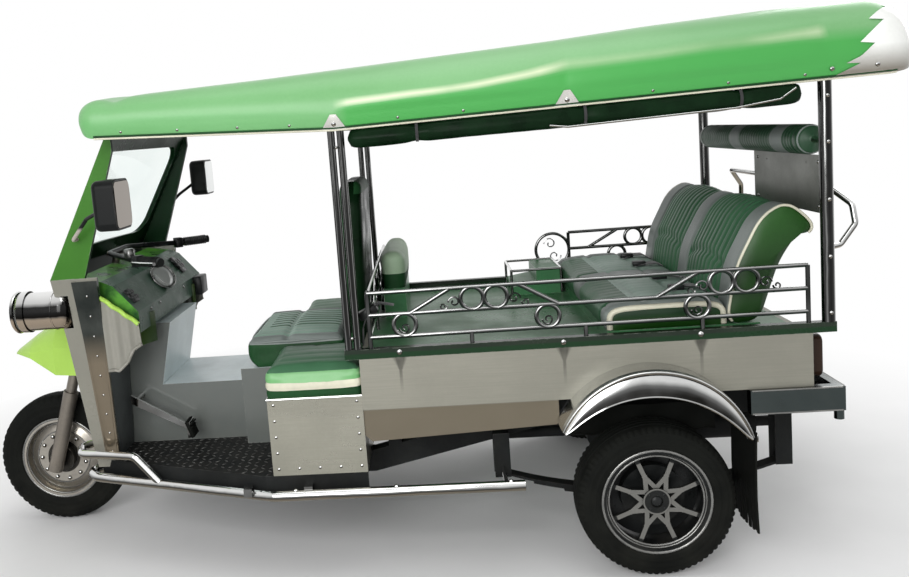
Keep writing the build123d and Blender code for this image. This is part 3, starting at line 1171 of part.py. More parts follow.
liner_inner = wall_half - LINER_DEPTH
liner = arch_sweep(
    [
        (ARCH_RADIUS, liner_inner), (ARCH_RADIUS + SHEET, liner_inner),
        (ARCH_RADIUS + SHEET, wall_half), (ARCH_RADIUS, wall_half),
    ],
    LINER_START_ANGLE,
    LINER_SWEEP_ANGLE,
)
save("wheel_arch_liners", liner, right_of(liner))
fender_inner = BODY_HALF_WIDTH + SEAT_GAP
fender_outer = fender_inner + FENDER_WIDTH
fender = arch_sweep(
    [
        (ARCH_RADIUS, fender_inner), (ARCH_RADIUS + SHEET, fender_inner),
        (ARCH_RADIUS + SHEET, fender_outer - FENDER_LIP), (ARCH_RADIUS - SHEET, fender_outer),
        (ARCH_RADIUS - FENDER_LIP, fender_outer), (ARCH_RADIUS - FENDER_LIP, fender_outer - SHEET),
        (ARCH_RADIUS - 2 * SHEET, fender_outer - SHEET), (ARCH_RADIUS, fender_outer - FENDER_LIP),
    ],
    FENDER_START_ANGLE,
    FENDER_SWEEP_ANGLE,
)
save("rear_fenders", fender, right_of(fender))
flap_front_x = fender.bounding_box().min.X - SEAT_GAP
flap_top_z = fender.bounding_box().min.Z + FENDER_LIP
flap = block(
    flap_front_x - FLAP_THICK, flap_front_x,
    fender_outer - FLAP_WIDTH, fender_outer, FLAP_LOW_Z, flap_top_z,
)
save("mud_flaps", flap, right_of(flap))

# Bench
bench_rear_x = BENCH_BACK_X - BENCH_BACK_FOOT
bench_base_top = DECK_Z + BENCH_BASE_HEIGHT
bench_base = block(bench_rear_x, BENCH_FRONT_X, -BENCH_HALF, BENCH_HALF, DECK_Z, bench_base_top)
bench_top = bench_base_top + BENCH_CUSHION_THICK
bench_cushion = block(
    BENCH_BACK_X + SEAT_GAP, BENCH_FRONT_X, -BENCH_HALF, BENCH_HALF, bench_base_top, bench_top
)
bench_cushion = fillet(bench_cushion.faces().sort_by(Axis.Z)[-1].edges(), BENCH_CUSHION_ROUND)
save("bench_cushion", bench_cushion)

spot = {
    name: (BENCH_BACK_X + dx, -BENCH_HALF, bench_base_top + dz) for name, (dx, dz) in BENCH_BACK_POINTS.items()
}
bench_outline = [
    ThreePointArc(spot["foot"], spot["front_mid"], spot["front_top"]),
    ThreePointArc(spot["front_top"], spot["top"], spot["rear_top"]),
    ThreePointArc(spot["rear_top"], spot["hook_mid"], spot["hook_end"]),
    ThreePointArc(spot["hook_end"], spot["rear_mid"], spot["rear_foot"]),
    Line(spot["rear_foot"], spot["foot"]),
]
bench_backrest = extrude(make_face(bench_outline), amount=2 * BENCH_HALF, dir=(0, 1, 0))
save("bench_backrest", bench_backrest)

# Head bolster, rear guard and rear plate
bolster_bar_half = POST_Y - POST_RADIUS - SEAT_GAP
bolster = cross_rod(REAR_POST_X, BOLSTER_Z, BOLSTER_RADIUS, -BOLSTER_HALF, BOLSTER_HALF)
bolster -= cross_rod(REAR_POST_X, BOLSTER_Z, BOLSTER_BAR_RADIUS + SEAT_GAP, -BOLSTER_HALF, BOLSTER_HALF)
save("head_bolster", bolster)

guard_left = []
for row in GUARD_ROWS:
    place = dict(zip(GUARD_COLUMNS, row))
    guard_left.append((REAR_POST_X - place["lag"], POST_Y - place["inset"], DECK_Z + place["rise"]))
guard_right = [(x, -y, z) for x, y, z in reversed(guard_left)]
rear_guard = bar(guard_left + guard_right, GUARD_RADIUS, GUARD_BEND)
for post_side in (-1, 1):
    post_hole = upright(REAR_POST_X, post_side * POST_Y, POST_RADIUS + SEAT_GAP, DECK_Z, ROOF_MID_EDGE_Z)
    rear_guard -= post_hole
bolster_bar = cross_rod(REAR_POST_X, BOLSTER_Z, BOLSTER_BAR_RADIUS, -bolster_bar_half, bolster_bar_half)
save("rear_guard", rear_guard, bolster_bar)

plate_top = BOLSTER_Z - BOLSTER_RADIUS - SEAT_GAP
plate_mid_z = plate_top - PLATE_HEIGHT / 2
plate_x = REAR_POST_X
plate_mid_y = bolster_bar_half / 2
rear_plate = block(plate_x - PLATE_THICK, plate_x, 0, bolster_bar_half, plate_top - PLATE_HEIGHT, plate_top)
for hole_y in (plate_mid_y - PLATE_HOLE_SPACING_Y / 2, plate_mid_y + PLATE_HOLE_SPACING_Y / 2):
    for hole_z in (plate_mid_z - PLATE_HOLE_SPACING_Z / 2, plate_mid_z + PLATE_HOLE_SPACING_Z / 2):
        hole_start_x = plate_x - 2 * PLATE_THICK
        rear_plate -= long_rod(hole_y, hole_z, PLATE_HOLE_RADIUS, hole_start_x, plate_x + PLATE_THICK)
save("rear_plate", rear_plate)

# Jump seat and locker
jump_rear_x = JUMP_SEAT_FRONT_X - JUMP_SEAT_THICK
jump_base_top = DECK_Z + JUMP_SEAT_BASE_HEIGHT
jump_base = block(jump_rear_x, JUMP_SEAT_FRONT_X, -JUMP_SEAT_WIDTH, 0, DECK_Z, jump_base_top)
jump_pad = block(
    jump_rear_x, JUMP_SEAT_FRONT_X, -JUMP_SEAT_WIDTH, 0, jump_base_top, jump_base_top + JUMP_SEAT_PAD_HEIGHT
)
jump_pad = fillet(jump_pad.faces().sort_by(Axis.Z)[-1].edges().filter_by(Axis.Y), JUMP_SEAT_ROUND)
save("jump_seat_pad", jump_pad)
locker_rear_x = LOCKER_FRONT_X - LOCKER_LENGTH
locker_mid_x = LOCKER_FRONT_X - LOCKER_LENGTH / 2
locker = side_plate(
    [
        (LOCKER_FRONT_X, DECK_Z), (LOCKER_FRONT_X, DECK_Z + LOCKER_HEIGHT / 3),
        (locker_mid_x, DECK_Z + LOCKER_HEIGHT / 2), (locker_mid_x, DECK_Z + LOCKER_HEIGHT),
        (locker_rear_x, DECK_Z + LOCKER_HEIGHT), (locker_rear_x, DECK_Z),
    ],
    -strip_inner,
    LOCKER_WIDTH - strip_inner,
)
save("cabin_boxes", bench_base, jump_base, locker)

# Cabin rails
ring_radius = (RAIL_LEVELS[1] - RAIL_LEVELS[0]) / 2
end_ring_radius = (RAIL_LEVELS[2] - RAIL_LEVELS[0]) / 2


def ring_at(x, z, radius):
    """Ring standing in a fore-and-aft plane."""
    return Pos(x, 0, z) * Rot(90, 0, 0) * Torus(radius, RAIL_TUBE_RADIUS)


def rail_panel(x0, x1, low_rings, high_rings, slants, legs):
    """Three long tubes with rings, slanted bars and legs, in the plane y = 0."""
    panel = upright(x0, 0, RAIL_TUBE_RADIUS, RIM_TOP_Z, RAIL_LEVELS[2])
    panel += upright(x1, 0, RAIL_TUBE_RADIUS, RIM_TOP_Z, RAIL_LEVELS[2])
    for level in RAIL_LEVELS:
        panel += long_rod(0, level, RAIL_TUBE_RADIUS, x0, x1)
    for ring_x in low_rings:
        panel += ring_at(ring_x, (RAIL_LEVELS[0] + RAIL_LEVELS[1]) / 2, ring_radius)
    for ring_x in high_rings:
        panel += ring_at(ring_x, (RAIL_LEVELS[1] + RAIL_LEVELS[2]) / 2, ring_radius)
    for low_x, high_x in slants:
        panel += bar([(low_x, 0, RAIL_LEVELS[1]), (high_x, 0, RAIL_LEVELS[2])], RAIL_TUBE_RADIUS)
    for leg_x in legs:
        panel += upright(leg_x, 0, RAIL_TUBE_RADIUS, RIM_TOP_Z, RAIL_LEVELS[0])
    return panel


def rail_x(share):
    """Place along the left rail, as a share of its length from the rear end."""
    return between(share, 0.0, 1.0, RAIL_REAR_X, RAIL_FRONT_X)


ring_step = ring_radius + RING_GAP
front_pair = [rail_x(FRONT_PAIR_SHARE) - ring_step, rail_x(FRONT_PAIR_SHARE) + ring_step]
rear_pair = [rail_x(REAR_PAIR_SHARE) - ring_step, rail_x(REAR_PAIR_SHARE) + ring_step]
rail_slants = [(rail_x(low), rail_x(high)) for low, high in RAIL_SLANT_SHARES]
rail_rings = [rail_x(share) for share in RAIL_RING_SHARES]
rail_legs = [rail_x(share) for share in RAIL_LEG_SHARES]
left_rail = rail_panel(RAIL_REAR_X, RAIL_FRONT_X, rail_rings, rear_pair + front_pair, rail_slants, rail_legs)
left_rail = Pos(0, RAIL_PLANE_Y, 0) * left_rail
right_rail_end = RIGHT_RAIL_FRONT_X - end_ring_radius
right_rail = rail_panel(RAIL_REAR_X, right_rail_end, rail_rings[:1], rear_pair, rail_slants[:1], rail_legs[:1])
end_ring_z = (RAIL_LEVELS[0] + RAIL_LEVELS[2]) / 2
right_rail += ring_at(RIGHT_RAIL_FRONT_X, end_ring_z, end_ring_radius)
right_rail = Pos(0, -RAIL_PLANE_Y, 0) * right_rail
cross_half = strip_inner - RAIL_TUBE_RADIUS - SEAT_GAP
cross_rings = (-CROSS_RING_Y, 0.0, CROSS_RING_Y)
cross_slants = [(side * CROSS_SLANT_LOW_Y, side * CROSS_SLANT_HIGH_Y) for side in (-1, 1)]
cross_legs = (-CROSS_LEG_Y, CROSS_LEG_Y)
cross_pair = (-ring_step, ring_step)
cross_panel = rail_panel(-cross_half, cross_half, cross_rings, cross_pair, cross_slants, cross_legs)
cross_rail = Pos(RAIL_FRONT_X, 0, 0) * Rot(0, 0, 90) * cross_panel
for foot_y in (-cross_half, -CROSS_LEG_Y, CROSS_LEG_Y, cross_half):
    cross_rail += upright(RAIL_FRONT_X, foot_y, RAIL_TUBE_RADIUS, DECK_Z, RIM_TOP_Z)
save("cabin_rails", left_rail, right_rail, cross_rail)

# Roof posts and frame
posts = []
for post_side in (-1, 1):
    post_y = post_side * POST_Y
    post_top = roof_tube_z(REAR_POST_X) - ROOF_TUBE_RADIUS - SEAT_GAP * 2
    posts.append(upright(REAR_POST_X, post_y, POST_RADIUS, RIM_TOP_Z, post_top))
    for twin in (-TWIN_POST_SPACING / 2, TWIN_POST_SPACING / 2):
        twin_x = B_POST_X + twin
        twin_top = ROOF_MID_EDGE_Z - SEAT_GAP * 2
        posts.append(upright(twin_x, post_y, TWIN_POST_RADIUS, RIM_TOP_Z, twin_top))

roof_tubes = []
tube_front_x = ROOF_FRONT_X - ROOF_WALL
for tube_side in (-1, 1):
    tube_y = tube_side * POST_Y
    run = [(x, tube_y, roof_tube_z(x)) for x in (tube_front_x, B_POST_X, ROOF_REAR_X + ROOF_WALL)]
    roof_tubes.append(bar(run, ROOF_TUBE_RADIUS, 2 * ROOF_HALF))
tube_reach = POST_Y - ROOF_TUBE_RADIUS - SEAT_GAP
for bow_x in (tube_front_x - ROOF_TUBE_RADIUS, B_POST_X, ROOF_CREASE_X, REAR_POST_X):
    roof_tubes.append(cross_rod(bow_x, roof_tube_z(bow_x), ROOF_TUBE_RADIUS, -tube_reach, tube_reach))
save("roof_frame", *posts, *roof_tubes)

# Canopy
nose_turn_x = ROOF_FRONT_X + ROOF_NOSE * ROOF_TURN_SHARE
tail_turn_x = ROOF_REAR_X - ROOF_TAIL * ROOF_TURN_SHARE
ROOF_COLUMNS = ("x", "edge", "crown", "tuck")
ROOF_ROWS = (
    (ROOF_FRONT_X + ROOF_NOSE, ROOF_FRONT_EDGE_Z, ROOF_FRONT_CROWN, ROOF_NOSE_TUCK),
    (nose_turn_x, ROOF_FRONT_EDGE_Z, ROOF_FRONT_CROWN, ROOF_NOSE_TUCK * ROOF_TURN_TUCK),
    (ROOF_FRONT_X, ROOF_FRONT_EDGE_Z, ROOF_FRONT_CROWN, 0.0),
    (B_POST_X, ROOF_MID_EDGE_Z, ROOF_MID_CROWN, 0.0),
    (ROOF_CREASE_X, roof_edge_z(ROOF_CREASE_X), ROOF_CREASE_CROWN, 0.0),
    (ROOF_REAR_X, ROOF_REAR_EDGE_Z, ROOF_REAR_CROWN, 0.0),
    (tail_turn_x, ROOF_REAR_EDGE_Z, ROOF_REAR_CROWN, ROOF_TAIL_TUCK * ROOF_TURN_TUCK),
    (ROOF_REAR_X - ROOF_TAIL, ROOF_REAR_EDGE_Z, ROOF_REAR_CROWN, ROOF_TAIL_TUCK),
)


def roof_section(row, wall, drop):
    """Section across the canopy: skirt, rounded shoulder and low crown."""
    part = dict(zip(ROOF_COLUMNS, row))
    x = part["x"]
    tuck = part["tuck"]
    half = ROOF_HALF - tuck - wall
    low = part["edge"] + tuck / 2 - drop
    turn_z = part["edge"] + ROOF_SKIRT
    radius = part["crown"] - ROOF_SKIRT - ROOF_TOP_RISE - tuck - wall
    top_z = turn_z + radius
    crown_z = part["edge"] + part["crown"] - tuck - wall
    flat = half - radius
    slant = radius * sin(radians(45))
    outline = [
        Line((x, half, low), (x, half, turn_z)),
        ThreePointArc((x, half, turn_z), (x, flat + slant, turn_z + slant), (x, flat, top_z)),
        ThreePointArc((x, flat, top_z), (x, 0, crown_z), (x, -flat, top_z)),
        ThreePointArc((x, -flat, top_z), (x, -flat - slant, turn_z + slant), (x, -half, turn_z)),
        Line((x, -half, turn_z), (x, -half, low)),
        Line((x, -half, low), (x, half, low)),
    ]
    return make_face(outline)


canopy = loft([roof_section(row, 0, 0) for row in ROOF_ROWS], ruled=True)
canopy -= loft([roof_section(row, ROOF_WALL, 4 * ROOF_WALL) for row in ROOF_ROWS[2:6]], ruled=True)
save("roof_canopy", canopy)

# Rolled side curtains
curtains = []
for curtain_side in (-1, 1):
    front_x = B_POST_X - TWIN_POST_SPACING - CURTAIN_RADIUS
    rear_x = REAR_POST_X + 2 * CURTAIN_RADIUS
    drop = ROOF_TUBE_RADIUS + CURTAIN_RADIUS + SEAT_GAP
    ends = [(x, curtain_side * POST_Y, roof_tube_z(x) - drop) for x in (rear_x, front_x)]
    curtains.append(bar(ends, CURTAIN_RADIUS))
save("curtain_rolls", *curtains)

# Rear bumper and tail lamps
bumper_low = PANEL_LOW_Z - BUMPER_HEIGHT
bumper_front_x = BUMPER_REAR_X + BUMPER_DEPTH
bumper = block(BUMPER_REAR_X, bumper_front_x, -BUMPER_HALF, BUMPER_HALF, bumper_low, PANEL_LOW_Z)
for arm_side in (-1, 1):
    arm_y = sorted((arm_side * (BODY_HALF_WIDTH - BODY_WALL), arm_side * BUMPER_HALF))
    bumper += block(BUMPER_REAR_X, BUMPER_ARM_FRONT_X, arm_y[0], arm_y[1], bumper_low, PANEL_LOW_Z)
    stop_y = arm_side * (BUMPER_HALF - BUMPER_STOP_RADIUS)
    stop_x = BUMPER_REAR_X + BUMPER_STOP_RADIUS
    bumper += upright(stop_x, stop_y, BUMPER_STOP_RADIUS, bumper_low - 2 * BUMPER_STOP_RADIUS, bumper_low)
save("rear_bumper", bumper)

lamp_mid_z = (DECK_Z + PANEL_LOW_Z) / 2
tail_lamp = Pos(BODY_REAR_X - TAIL_LAMP_DEPTH / 2, TAIL_LAMP_Y, lamp_mid_z) * Box(
    TAIL_LAMP_DEPTH, TAIL_LAMP_WIDTH, TAIL_LAMP_HEIGHT
)
tail_lamp = fillet(tail_lamp.edges().filter_by(Axis.X), TAIL_LAMP_WIDTH / 3)
tail_lamp = fillet(tail_lamp.faces().sort_by(Axis.X)[0].edges(), TAIL_LAMP_DEPTH / 4)
save("tail_lamps", tail_lamp, right_of(tail_lamp))
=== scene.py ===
import itertools
import math
import random

import bmesh
import bpy
from bpy.props import FloatProperty, FloatVectorProperty, PointerProperty
from mathutils import Matrix, Vector, noise


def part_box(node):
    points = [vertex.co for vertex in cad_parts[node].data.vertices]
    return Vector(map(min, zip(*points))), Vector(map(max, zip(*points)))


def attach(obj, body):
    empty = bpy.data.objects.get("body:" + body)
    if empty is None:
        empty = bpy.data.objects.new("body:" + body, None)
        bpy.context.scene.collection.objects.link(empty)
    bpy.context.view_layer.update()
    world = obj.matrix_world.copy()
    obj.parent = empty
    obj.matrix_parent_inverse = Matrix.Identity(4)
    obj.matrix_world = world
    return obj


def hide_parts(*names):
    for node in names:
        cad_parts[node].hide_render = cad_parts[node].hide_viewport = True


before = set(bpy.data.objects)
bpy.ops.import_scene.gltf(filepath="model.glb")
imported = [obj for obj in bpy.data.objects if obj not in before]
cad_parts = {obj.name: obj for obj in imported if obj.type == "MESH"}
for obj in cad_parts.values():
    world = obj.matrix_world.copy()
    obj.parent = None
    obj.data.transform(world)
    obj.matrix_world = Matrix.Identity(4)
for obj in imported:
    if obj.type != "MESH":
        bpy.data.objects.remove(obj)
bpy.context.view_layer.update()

bl_info = {
    "name": "Passenger rickshaw looks",
    "version": (1, 0, 0),
    "blender": (4, 5, 0),
    "location": "3D View > Sidebar > Rickshaw",
    "description": "Padding, trim, tread and finishes for an open passenger rickshaw",
    "category": "Object",
}

BODY = "chassis"
IMAGE_WIDTH, IMAGE_HEIGHT = 909, 577
SENSOR = 36.0


# Sizes and colours


def length(label, text, default):
    """Length setting in metres."""
    return FloatProperty(name=label, description=text, default=default, unit="LENGTH", precision=4)


def paint(label, text, default):
    """Colour setting."""
    return FloatVectorProperty(
        name=label, description=text, default=default, size=3, min=0.0, max=1.0, subtype="COLOR"
    )


class RickshawSizes(bpy.types.PropertyGroup):
    """Sizes of the dressed pieces."""

    piping: length("Piping", "Radius of the sewn edge piping", 0.006)
    tread_depth: length("Tread depth", "Depth of the tyre grooves", 0.007)
    rivet: length("Rivet", "Radius of a rivet head", 0.005)
    stud: length("Stud", "Half length of a stud on the checker plate", 0.013)
    pleat: length("Pleat", "Spacing of the sewn pleats", 0.036)
    pleat_depth: length("Pleat depth", "Depth of the sewn pleats", 0.007)
    puff: length("Canopy puff", "Swell of the canopy between its seams", 0.016)
    belt: length("Belt", "Width of the lap belts", 0.046)


class RickshawColours(bpy.types.PropertyGroup):
    """Colours of the finishes."""

    canopy: paint("Canopy", "Bright green vinyl of the canopy", (0.148, 0.365, 0.142))
    canopy_top: paint("Canopy top", "Sun-bleached green on top", (0.190, 0.415, 0.182))
    dark_green: paint("Dark green", "Dark green vinyl of the seats", (0.009, 0.040, 0.013))
    seat_green: paint("Seat green", "Pleated seat panels", (0.036, 0.105, 0.052))
    end_green: paint("End green", "Bright green seat ends", (0.035, 0.190, 0.020))
    pale_green: paint("Pale green", "Pale green pad", (0.400, 0.540, 0.370))
    grey: paint("Grey", "Grey vinyl bands", (0.215, 0.245, 0.230))
    cream: paint("Cream", "Cream piping", (0.700, 0.680, 0.540))
    panel_green: paint("Panel green", "Painted front panels", (0.050, 0.170, 0.024))
    lime: paint("Lime", "Painted nose mudguard", (0.385, 0.620, 0.105))
    deck_green: paint("Deck green", "Painted deck", (0.062, 0.205, 0.088))
    dash_green: paint("Dash green", "Painted dashboard", (0.008, 0.036, 0.012))
    cowl: paint("Cowl", "Pale grey front shell", (0.205, 0.200, 0.168))
    # Pale tunnel grey; the tunnel finish paints its sideways faces dark as painted shade.
    leg_grey: paint("Leg grey", "Grey tunnel cover", (0.740, 0.830, 0.850))
    steel: paint("Steel", "Brushed stainless steel", (0.420, 0.410, 0.345))
    chrome: paint("Chrome", "Plated tubes", (0.720, 0.725, 0.715))
    black: paint("Black", "Black paint", (0.012, 0.013, 0.013))
    rubber: paint("Rubber", "Tyres and flaps", (0.0050, 0.0055, 0.0048))


SIZES = None
COLOURS = None


# Shader groups


def new_group(name, inputs, outputs):
    """Empty shader group with named sockets, what it is given and what it puts out."""
    tree = bpy.data.node_groups.new(name, "ShaderNodeTree")
    kinds = {"value": "NodeSocketFloat", "colour": "NodeSocketColor", "vector": "NodeSocketVector"}
    for label, kind, default in inputs:
        socket = tree.interface.new_socket(name=label, in_out="INPUT", socket_type=kinds[kind])
        socket.default_value = default
    for label, kind in outputs:
        tree.interface.new_socket(name=label, in_out="OUTPUT", socket_type=kinds[kind])
    return tree, tree.nodes.new("NodeGroupInput").outputs, tree.nodes.new("NodeGroupOutput").inputs


def add(tree, kind, links=(), **values):
    """Node with its settings and its links, each (socket of this node, socket of another)."""
    node = tree.nodes.new(kind)
    for key, value in values.items():
        setattr(node, key, value)
    for own, other in links:
        tree.links.new(other, node.inputs[own])
    return node


def math_node(tree, operation, first, second=None, clamp=False):
    """Math node; each operand is a socket or a number."""
    node = add(tree, "ShaderNodeMath", operation=operation, use_clamp=clamp)
    for index, operand in enumerate((first, second)):
        if operand is None:
            continue
        if isinstance(operand, (int, float)):
            node.inputs[index].default_value = operand
        else:
            tree.links.new(operand, node.inputs[index])
    return node.outputs[0]


def mix_colour(tree, factor, first, second):
    """Mix of two colours by a mask; each is a socket or a colour."""
    node = add(tree, "ShaderNodeMix", data_type="RGBA")
    for index, operand in ((0, factor), (6, first), (7, second)):
        if isinstance(operand, (int, float)):
            node.inputs[index].default_value = operand
        elif isinstance(operand, (tuple, list)):
            node.inputs[index].default_value = (*operand[:3], 1.0)
        else:
            tree.links.new(operand, node.inputs[index])
    return node.outputs[2]


def spread(tree, value, low, high, to_low=0.0, to_high=1.0):
    """Value stretched from one span to another and held there."""
    node = add(tree, "ShaderNodeMapRange", [("Value", value)], clamp=True)
    for label, number in zip(("From Min", "From Max", "To Min", "To Max"), (low, high, to_low, to_high)):
        node.inputs[label].default_value = number
    return node.outputs[0]


def object_place(tree):
    """Place on the piece at rest."""
    return add(tree, "ShaderNodeTexCoord").outputs["Object"]


def parts(tree, output):
    """X, Y and Z of the place on the piece at rest, or of its normal."""
    coordinates = add(tree, "ShaderNodeTexCoord")
    return add(tree, "ShaderNodeSeparateXYZ", [(0, coordinates.outputs[output])]).outputs


def times(tree, first, *others):
    """Product of several values."""
    for other in others:
        first = math_node(tree, "MULTIPLY", first, other)
    return first


def noise_value(tree, place, scale, detail=3.0, stretch=None):
    """Soft noise, with its scale a number or a socket."""
    if stretch:
        place = add(tree, "ShaderNodeVectorMath", [(0, place)], operation="MULTIPLY")
        place.inputs[1].default_value = stretch
        place = place.outputs[0]
    node = add(tree, "ShaderNodeTexNoise", [("Vector", place)])
    node.inputs["Detail"].default_value = detail
    if isinstance(scale, (int, float)):
        node.inputs["Scale"].default_value = scale
    else:
        tree.links.new(scale, node.inputs["Scale"])
    return node.outputs["Fac"]


def blotch_group():
    """Slow change from one colour to another over the surface."""
    tree, given, result = new_group(
        "Blotch",
        [("Colour", "colour", (1, 1, 1, 1)), ("Other", "colour", (1, 1, 1, 1)), ("Scale", "value", 4.0)],
        [("Colour", "colour"), ("Value", "value")],
    )
    place = object_place(tree)
    slow = noise_value(tree, place, given["Scale"])
    fine = noise_value(tree, place, 90.0)
    value = math_node(tree, "ADD", spread(tree, slow, 0.35, 0.65), spread(tree, fine, 0.3, 0.7, -0.12, 0.12))
    colour = mix_colour(tree, value, given["Colour"], given["Other"])
    tree.links.new(colour, result["Colour"])
    tree.links.new(value, result["Value"])
    return tree


def grain_group():
    """Pebbled leather grain as a height."""
    tree, given, result = new_group("Grain", [("Scale", "value", 500.0)], [("Height", "value")])
    place = object_place(tree)
    cells = add(tree, "ShaderNodeTexVoronoi", [("Vector", place), ("Scale", given["Scale"])])
    pores = noise_value(tree, place, 260.0)
    height = math_node(tree, "ADD", cells.outputs["Distance"], math_node(tree, "MULTIPLY", pores, 0.5))
    tree.links.new(height, result["Height"])
    return tree


def brushing_group():
    """Fine streaks along the vehicle, with soft handling marks."""
    tree, given, result = new_group(
        "Brushing", [("Scale", "value", 60.0)], [("Streaks", "value"), ("Smears", "value")]
    )
    place = object_place(tree)
    streaks = noise_value(tree, place, given["Scale"], 4.0, (0.12, 6.0, 6.0))
    smears = noise_value(tree, place, 5.0, 5.0, (0.6, 1.0, 1.8))
    tree.links.new(streaks, result["Streaks"])
    tree.links.new(smears, result["Smears"])
    return tree


def edge_group():
    """Mask of edges where the finish is rubbed thin."""
    tree, given, result = new_group(
        "Edge rub", [("Radius", "value", 0.004), ("Amount", "value", 0.5)], [("Mask", "value")]
    )
    rounded = add(tree, "ShaderNodeBevel", [("Radius", given["Radius"])], samples=4)
    true = add(tree, "ShaderNodeNewGeometry")
    dot = add(
        tree, "ShaderNodeVectorMath", [(0, rounded.outputs[0]), (1, true.outputs["Normal"])],
        operation="DOT_PRODUCT",
    )
    turned = spread(tree, dot.outputs["Value"], 0.985, 0.86)
    broken = spread(tree, noise_value(tree, object_place(tree), 45.0, 5.0), 0.42, 0.62)
    tree.links.new(times(tree, turned, broken, given["Amount"]), result["Mask"])
    return tree


def shine_group(name, axis, stops):
    """Bands of light and dark that a bright round surface shows, by its own facing along one axis."""
    tree, given, result = new_group(
        name, [("Colour", "colour", (1, 1, 1, 1)), ("Ground", "colour", (0.3, 0.27, 0.22, 1))],
        [("Colour", "colour")],
    )
    normal = parts(tree, "Normal")
    ripple = spread(tree, noise_value(tree, object_place(tree), 6.0, 2.0), 0.3, 0.7, -0.10, 0.10)
    height = math_node(tree, "ADD", normal[axis], ripple)
    ramp = add(tree, "ShaderNodeValToRGB", [(0, spread(tree, height, -1.0, 1.0))])
    while len(ramp.color_ramp.elements) < len(stops):
        ramp.color_ramp.elements.new(0.5)
    for element, (place, level) in zip(ramp.color_ramp.elements, stops):
        element.position = place
        element.color = (level, level, level, 1.0)
    # Painted reflection of the floor: faces that turn down take its colour.
    low = math_node(tree, "ADD", normal["Z"], ripple)
    lower = mix_colour(tree, spread(tree, low, -0.25, 0.05), given["Ground"], given["Colour"])
    links = [(6, lower), (7, ramp.outputs["Color"])]
    node = add(tree, "ShaderNodeMix", links, data_type="RGBA", blend_type="MULTIPLY")
    node.inputs[0].default_value = 1.0
    tree.links.new(node.outputs[2], result["Colour"])
    return tree


# Stops of the painted reflection bands: brightness by facing, from facing down to facing up.
SKYLINE = ((0.0, 0.75), (0.30, 0.55), (0.43, 0.08), (0.52, 0.20), (0.60, 0.50), (0.74, 1.0), (1.0, 1.0))
FENDER = ((0.0, 0.40), (0.30, 0.010), (0.48, 0.025), (0.58, 0.22), (0.68, 0.95), (0.85, 1.0), (1.0, 0.85))
LAMP = ((0.0, 0.95), (0.36, 0.80), (0.43, 0.015), (0.70, 0.03), (0.80, 0.70), (1.0, 1.0))
UPRIGHT = (
    (0.0, 0.10), (0.16, 0.75), (0.24, 0.10), (0.50, 0.05), (0.66, 0.10), (0.74, 0.55), (0.84, 0.08),
    (1.0, 0.25),
)


def inside_group():
    """Masks of the faces that look into the cabin, to the rear and to the sides."""
    tree, _, result = new_group("Inside", [], [("Mask", "value"), ("Rearward", "value"), ("Sideways", "value")])
    place, normal = parts(tree, "Object"), parts(tree, "Normal")
    outward = times(tree, normal["Y"], math_node(tree, "SIGN", place["Y"]))
    outside = math_node(tree, "MAXIMUM", *(spread(tree, way, 0.25, 0.35) for way in (outward, normal["X"])))
    tree.links.new(math_node(tree, "SUBTRACT", 1.0, outside), result["Mask"])
    tree.links.new(spread(tree, normal["X"], -0.25, -0.40), result["Rearward"])
    across = math_node(tree, "ABSOLUTE", normal["Y"])
    tree.links.new(spread(tree, across, 0.55, 0.75), result["Sideways"])
    return tree


def shoulder_light_group():
    """Masks of the painted highlight, a pale line along the canopy's rounded shoulder, and of the painted
    shade, a deeper green, below it.
    """
    tree, given, result = new_group(
        "Shoulder light",
        [("Facing", "value", 0.6), ("Width", "value", 0.1), ("Start", "value", 0.1), ("Amount", "value", 0.5)],
        [("Mask", "value"), ("Shade below", "value")],
    )
    place, normal = parts(tree, "Object"), parts(tree, "Normal")
    sway = spread(tree, noise_value(tree, object_place(tree), 2.5, 2.0), 0.3, 0.7, -0.03, 0.03)
    climb = math_node(tree, "POWER", spread(tree, place["X"], ROOF_SEAMS[0], ROOF_SEAMS[1]), 3.0)
    level = math_node(tree, "ADD", given["Facing"], times(tree, climb, 0.34))
    off = math_node(tree, "SUBTRACT", math_node(tree, "ADD", normal["Z"], sway), level)
    away = math_node(tree, "DIVIDE", math_node(tree, "ABSOLUTE", off), given["Width"])
    near = math_node(tree, "SUBTRACT", 1.0, away, True)
    behind = spread(tree, math_node(tree, "SUBTRACT", given["Start"], place["X"]), 0.0, 0.05)
    patches = noise_value(tree, object_place(tree), 5.0, 3.0, (0.5, 1.0, 1.0))
    broken = spread(tree, patches, 0.32, 0.6, 0.35, 1.0)
    first = spread(tree, place["X"], -0.58, -0.68, 1.0, 0.25)
    last = spread(tree, place["X"], -1.22, -1.44, 0.0, 0.6)
    ended = spread(tree, place["X"], -1.50, -1.47)
    shown = math_node(tree, "ADD", first, last)
    # Painted highlight, in patches: full from the start back to x -0.58, a quarter as strong further back,
    # rising again behind x -1.22, and none behind x -1.50.
    tree.links.new(times(tree, shown, ended, near, behind, broken, given["Amount"]), result["Mask"])
    # Painted shade on the side below the shoulder, at a quarter of its strength ahead of the start.
    under = spread(tree, off, 0.04, -0.22)
    early = spread(tree, behind, 0.0, 1.0, 0.25, 1.0)
    tree.links.new(times(tree, under, early), result["Shade below"])
    return tree


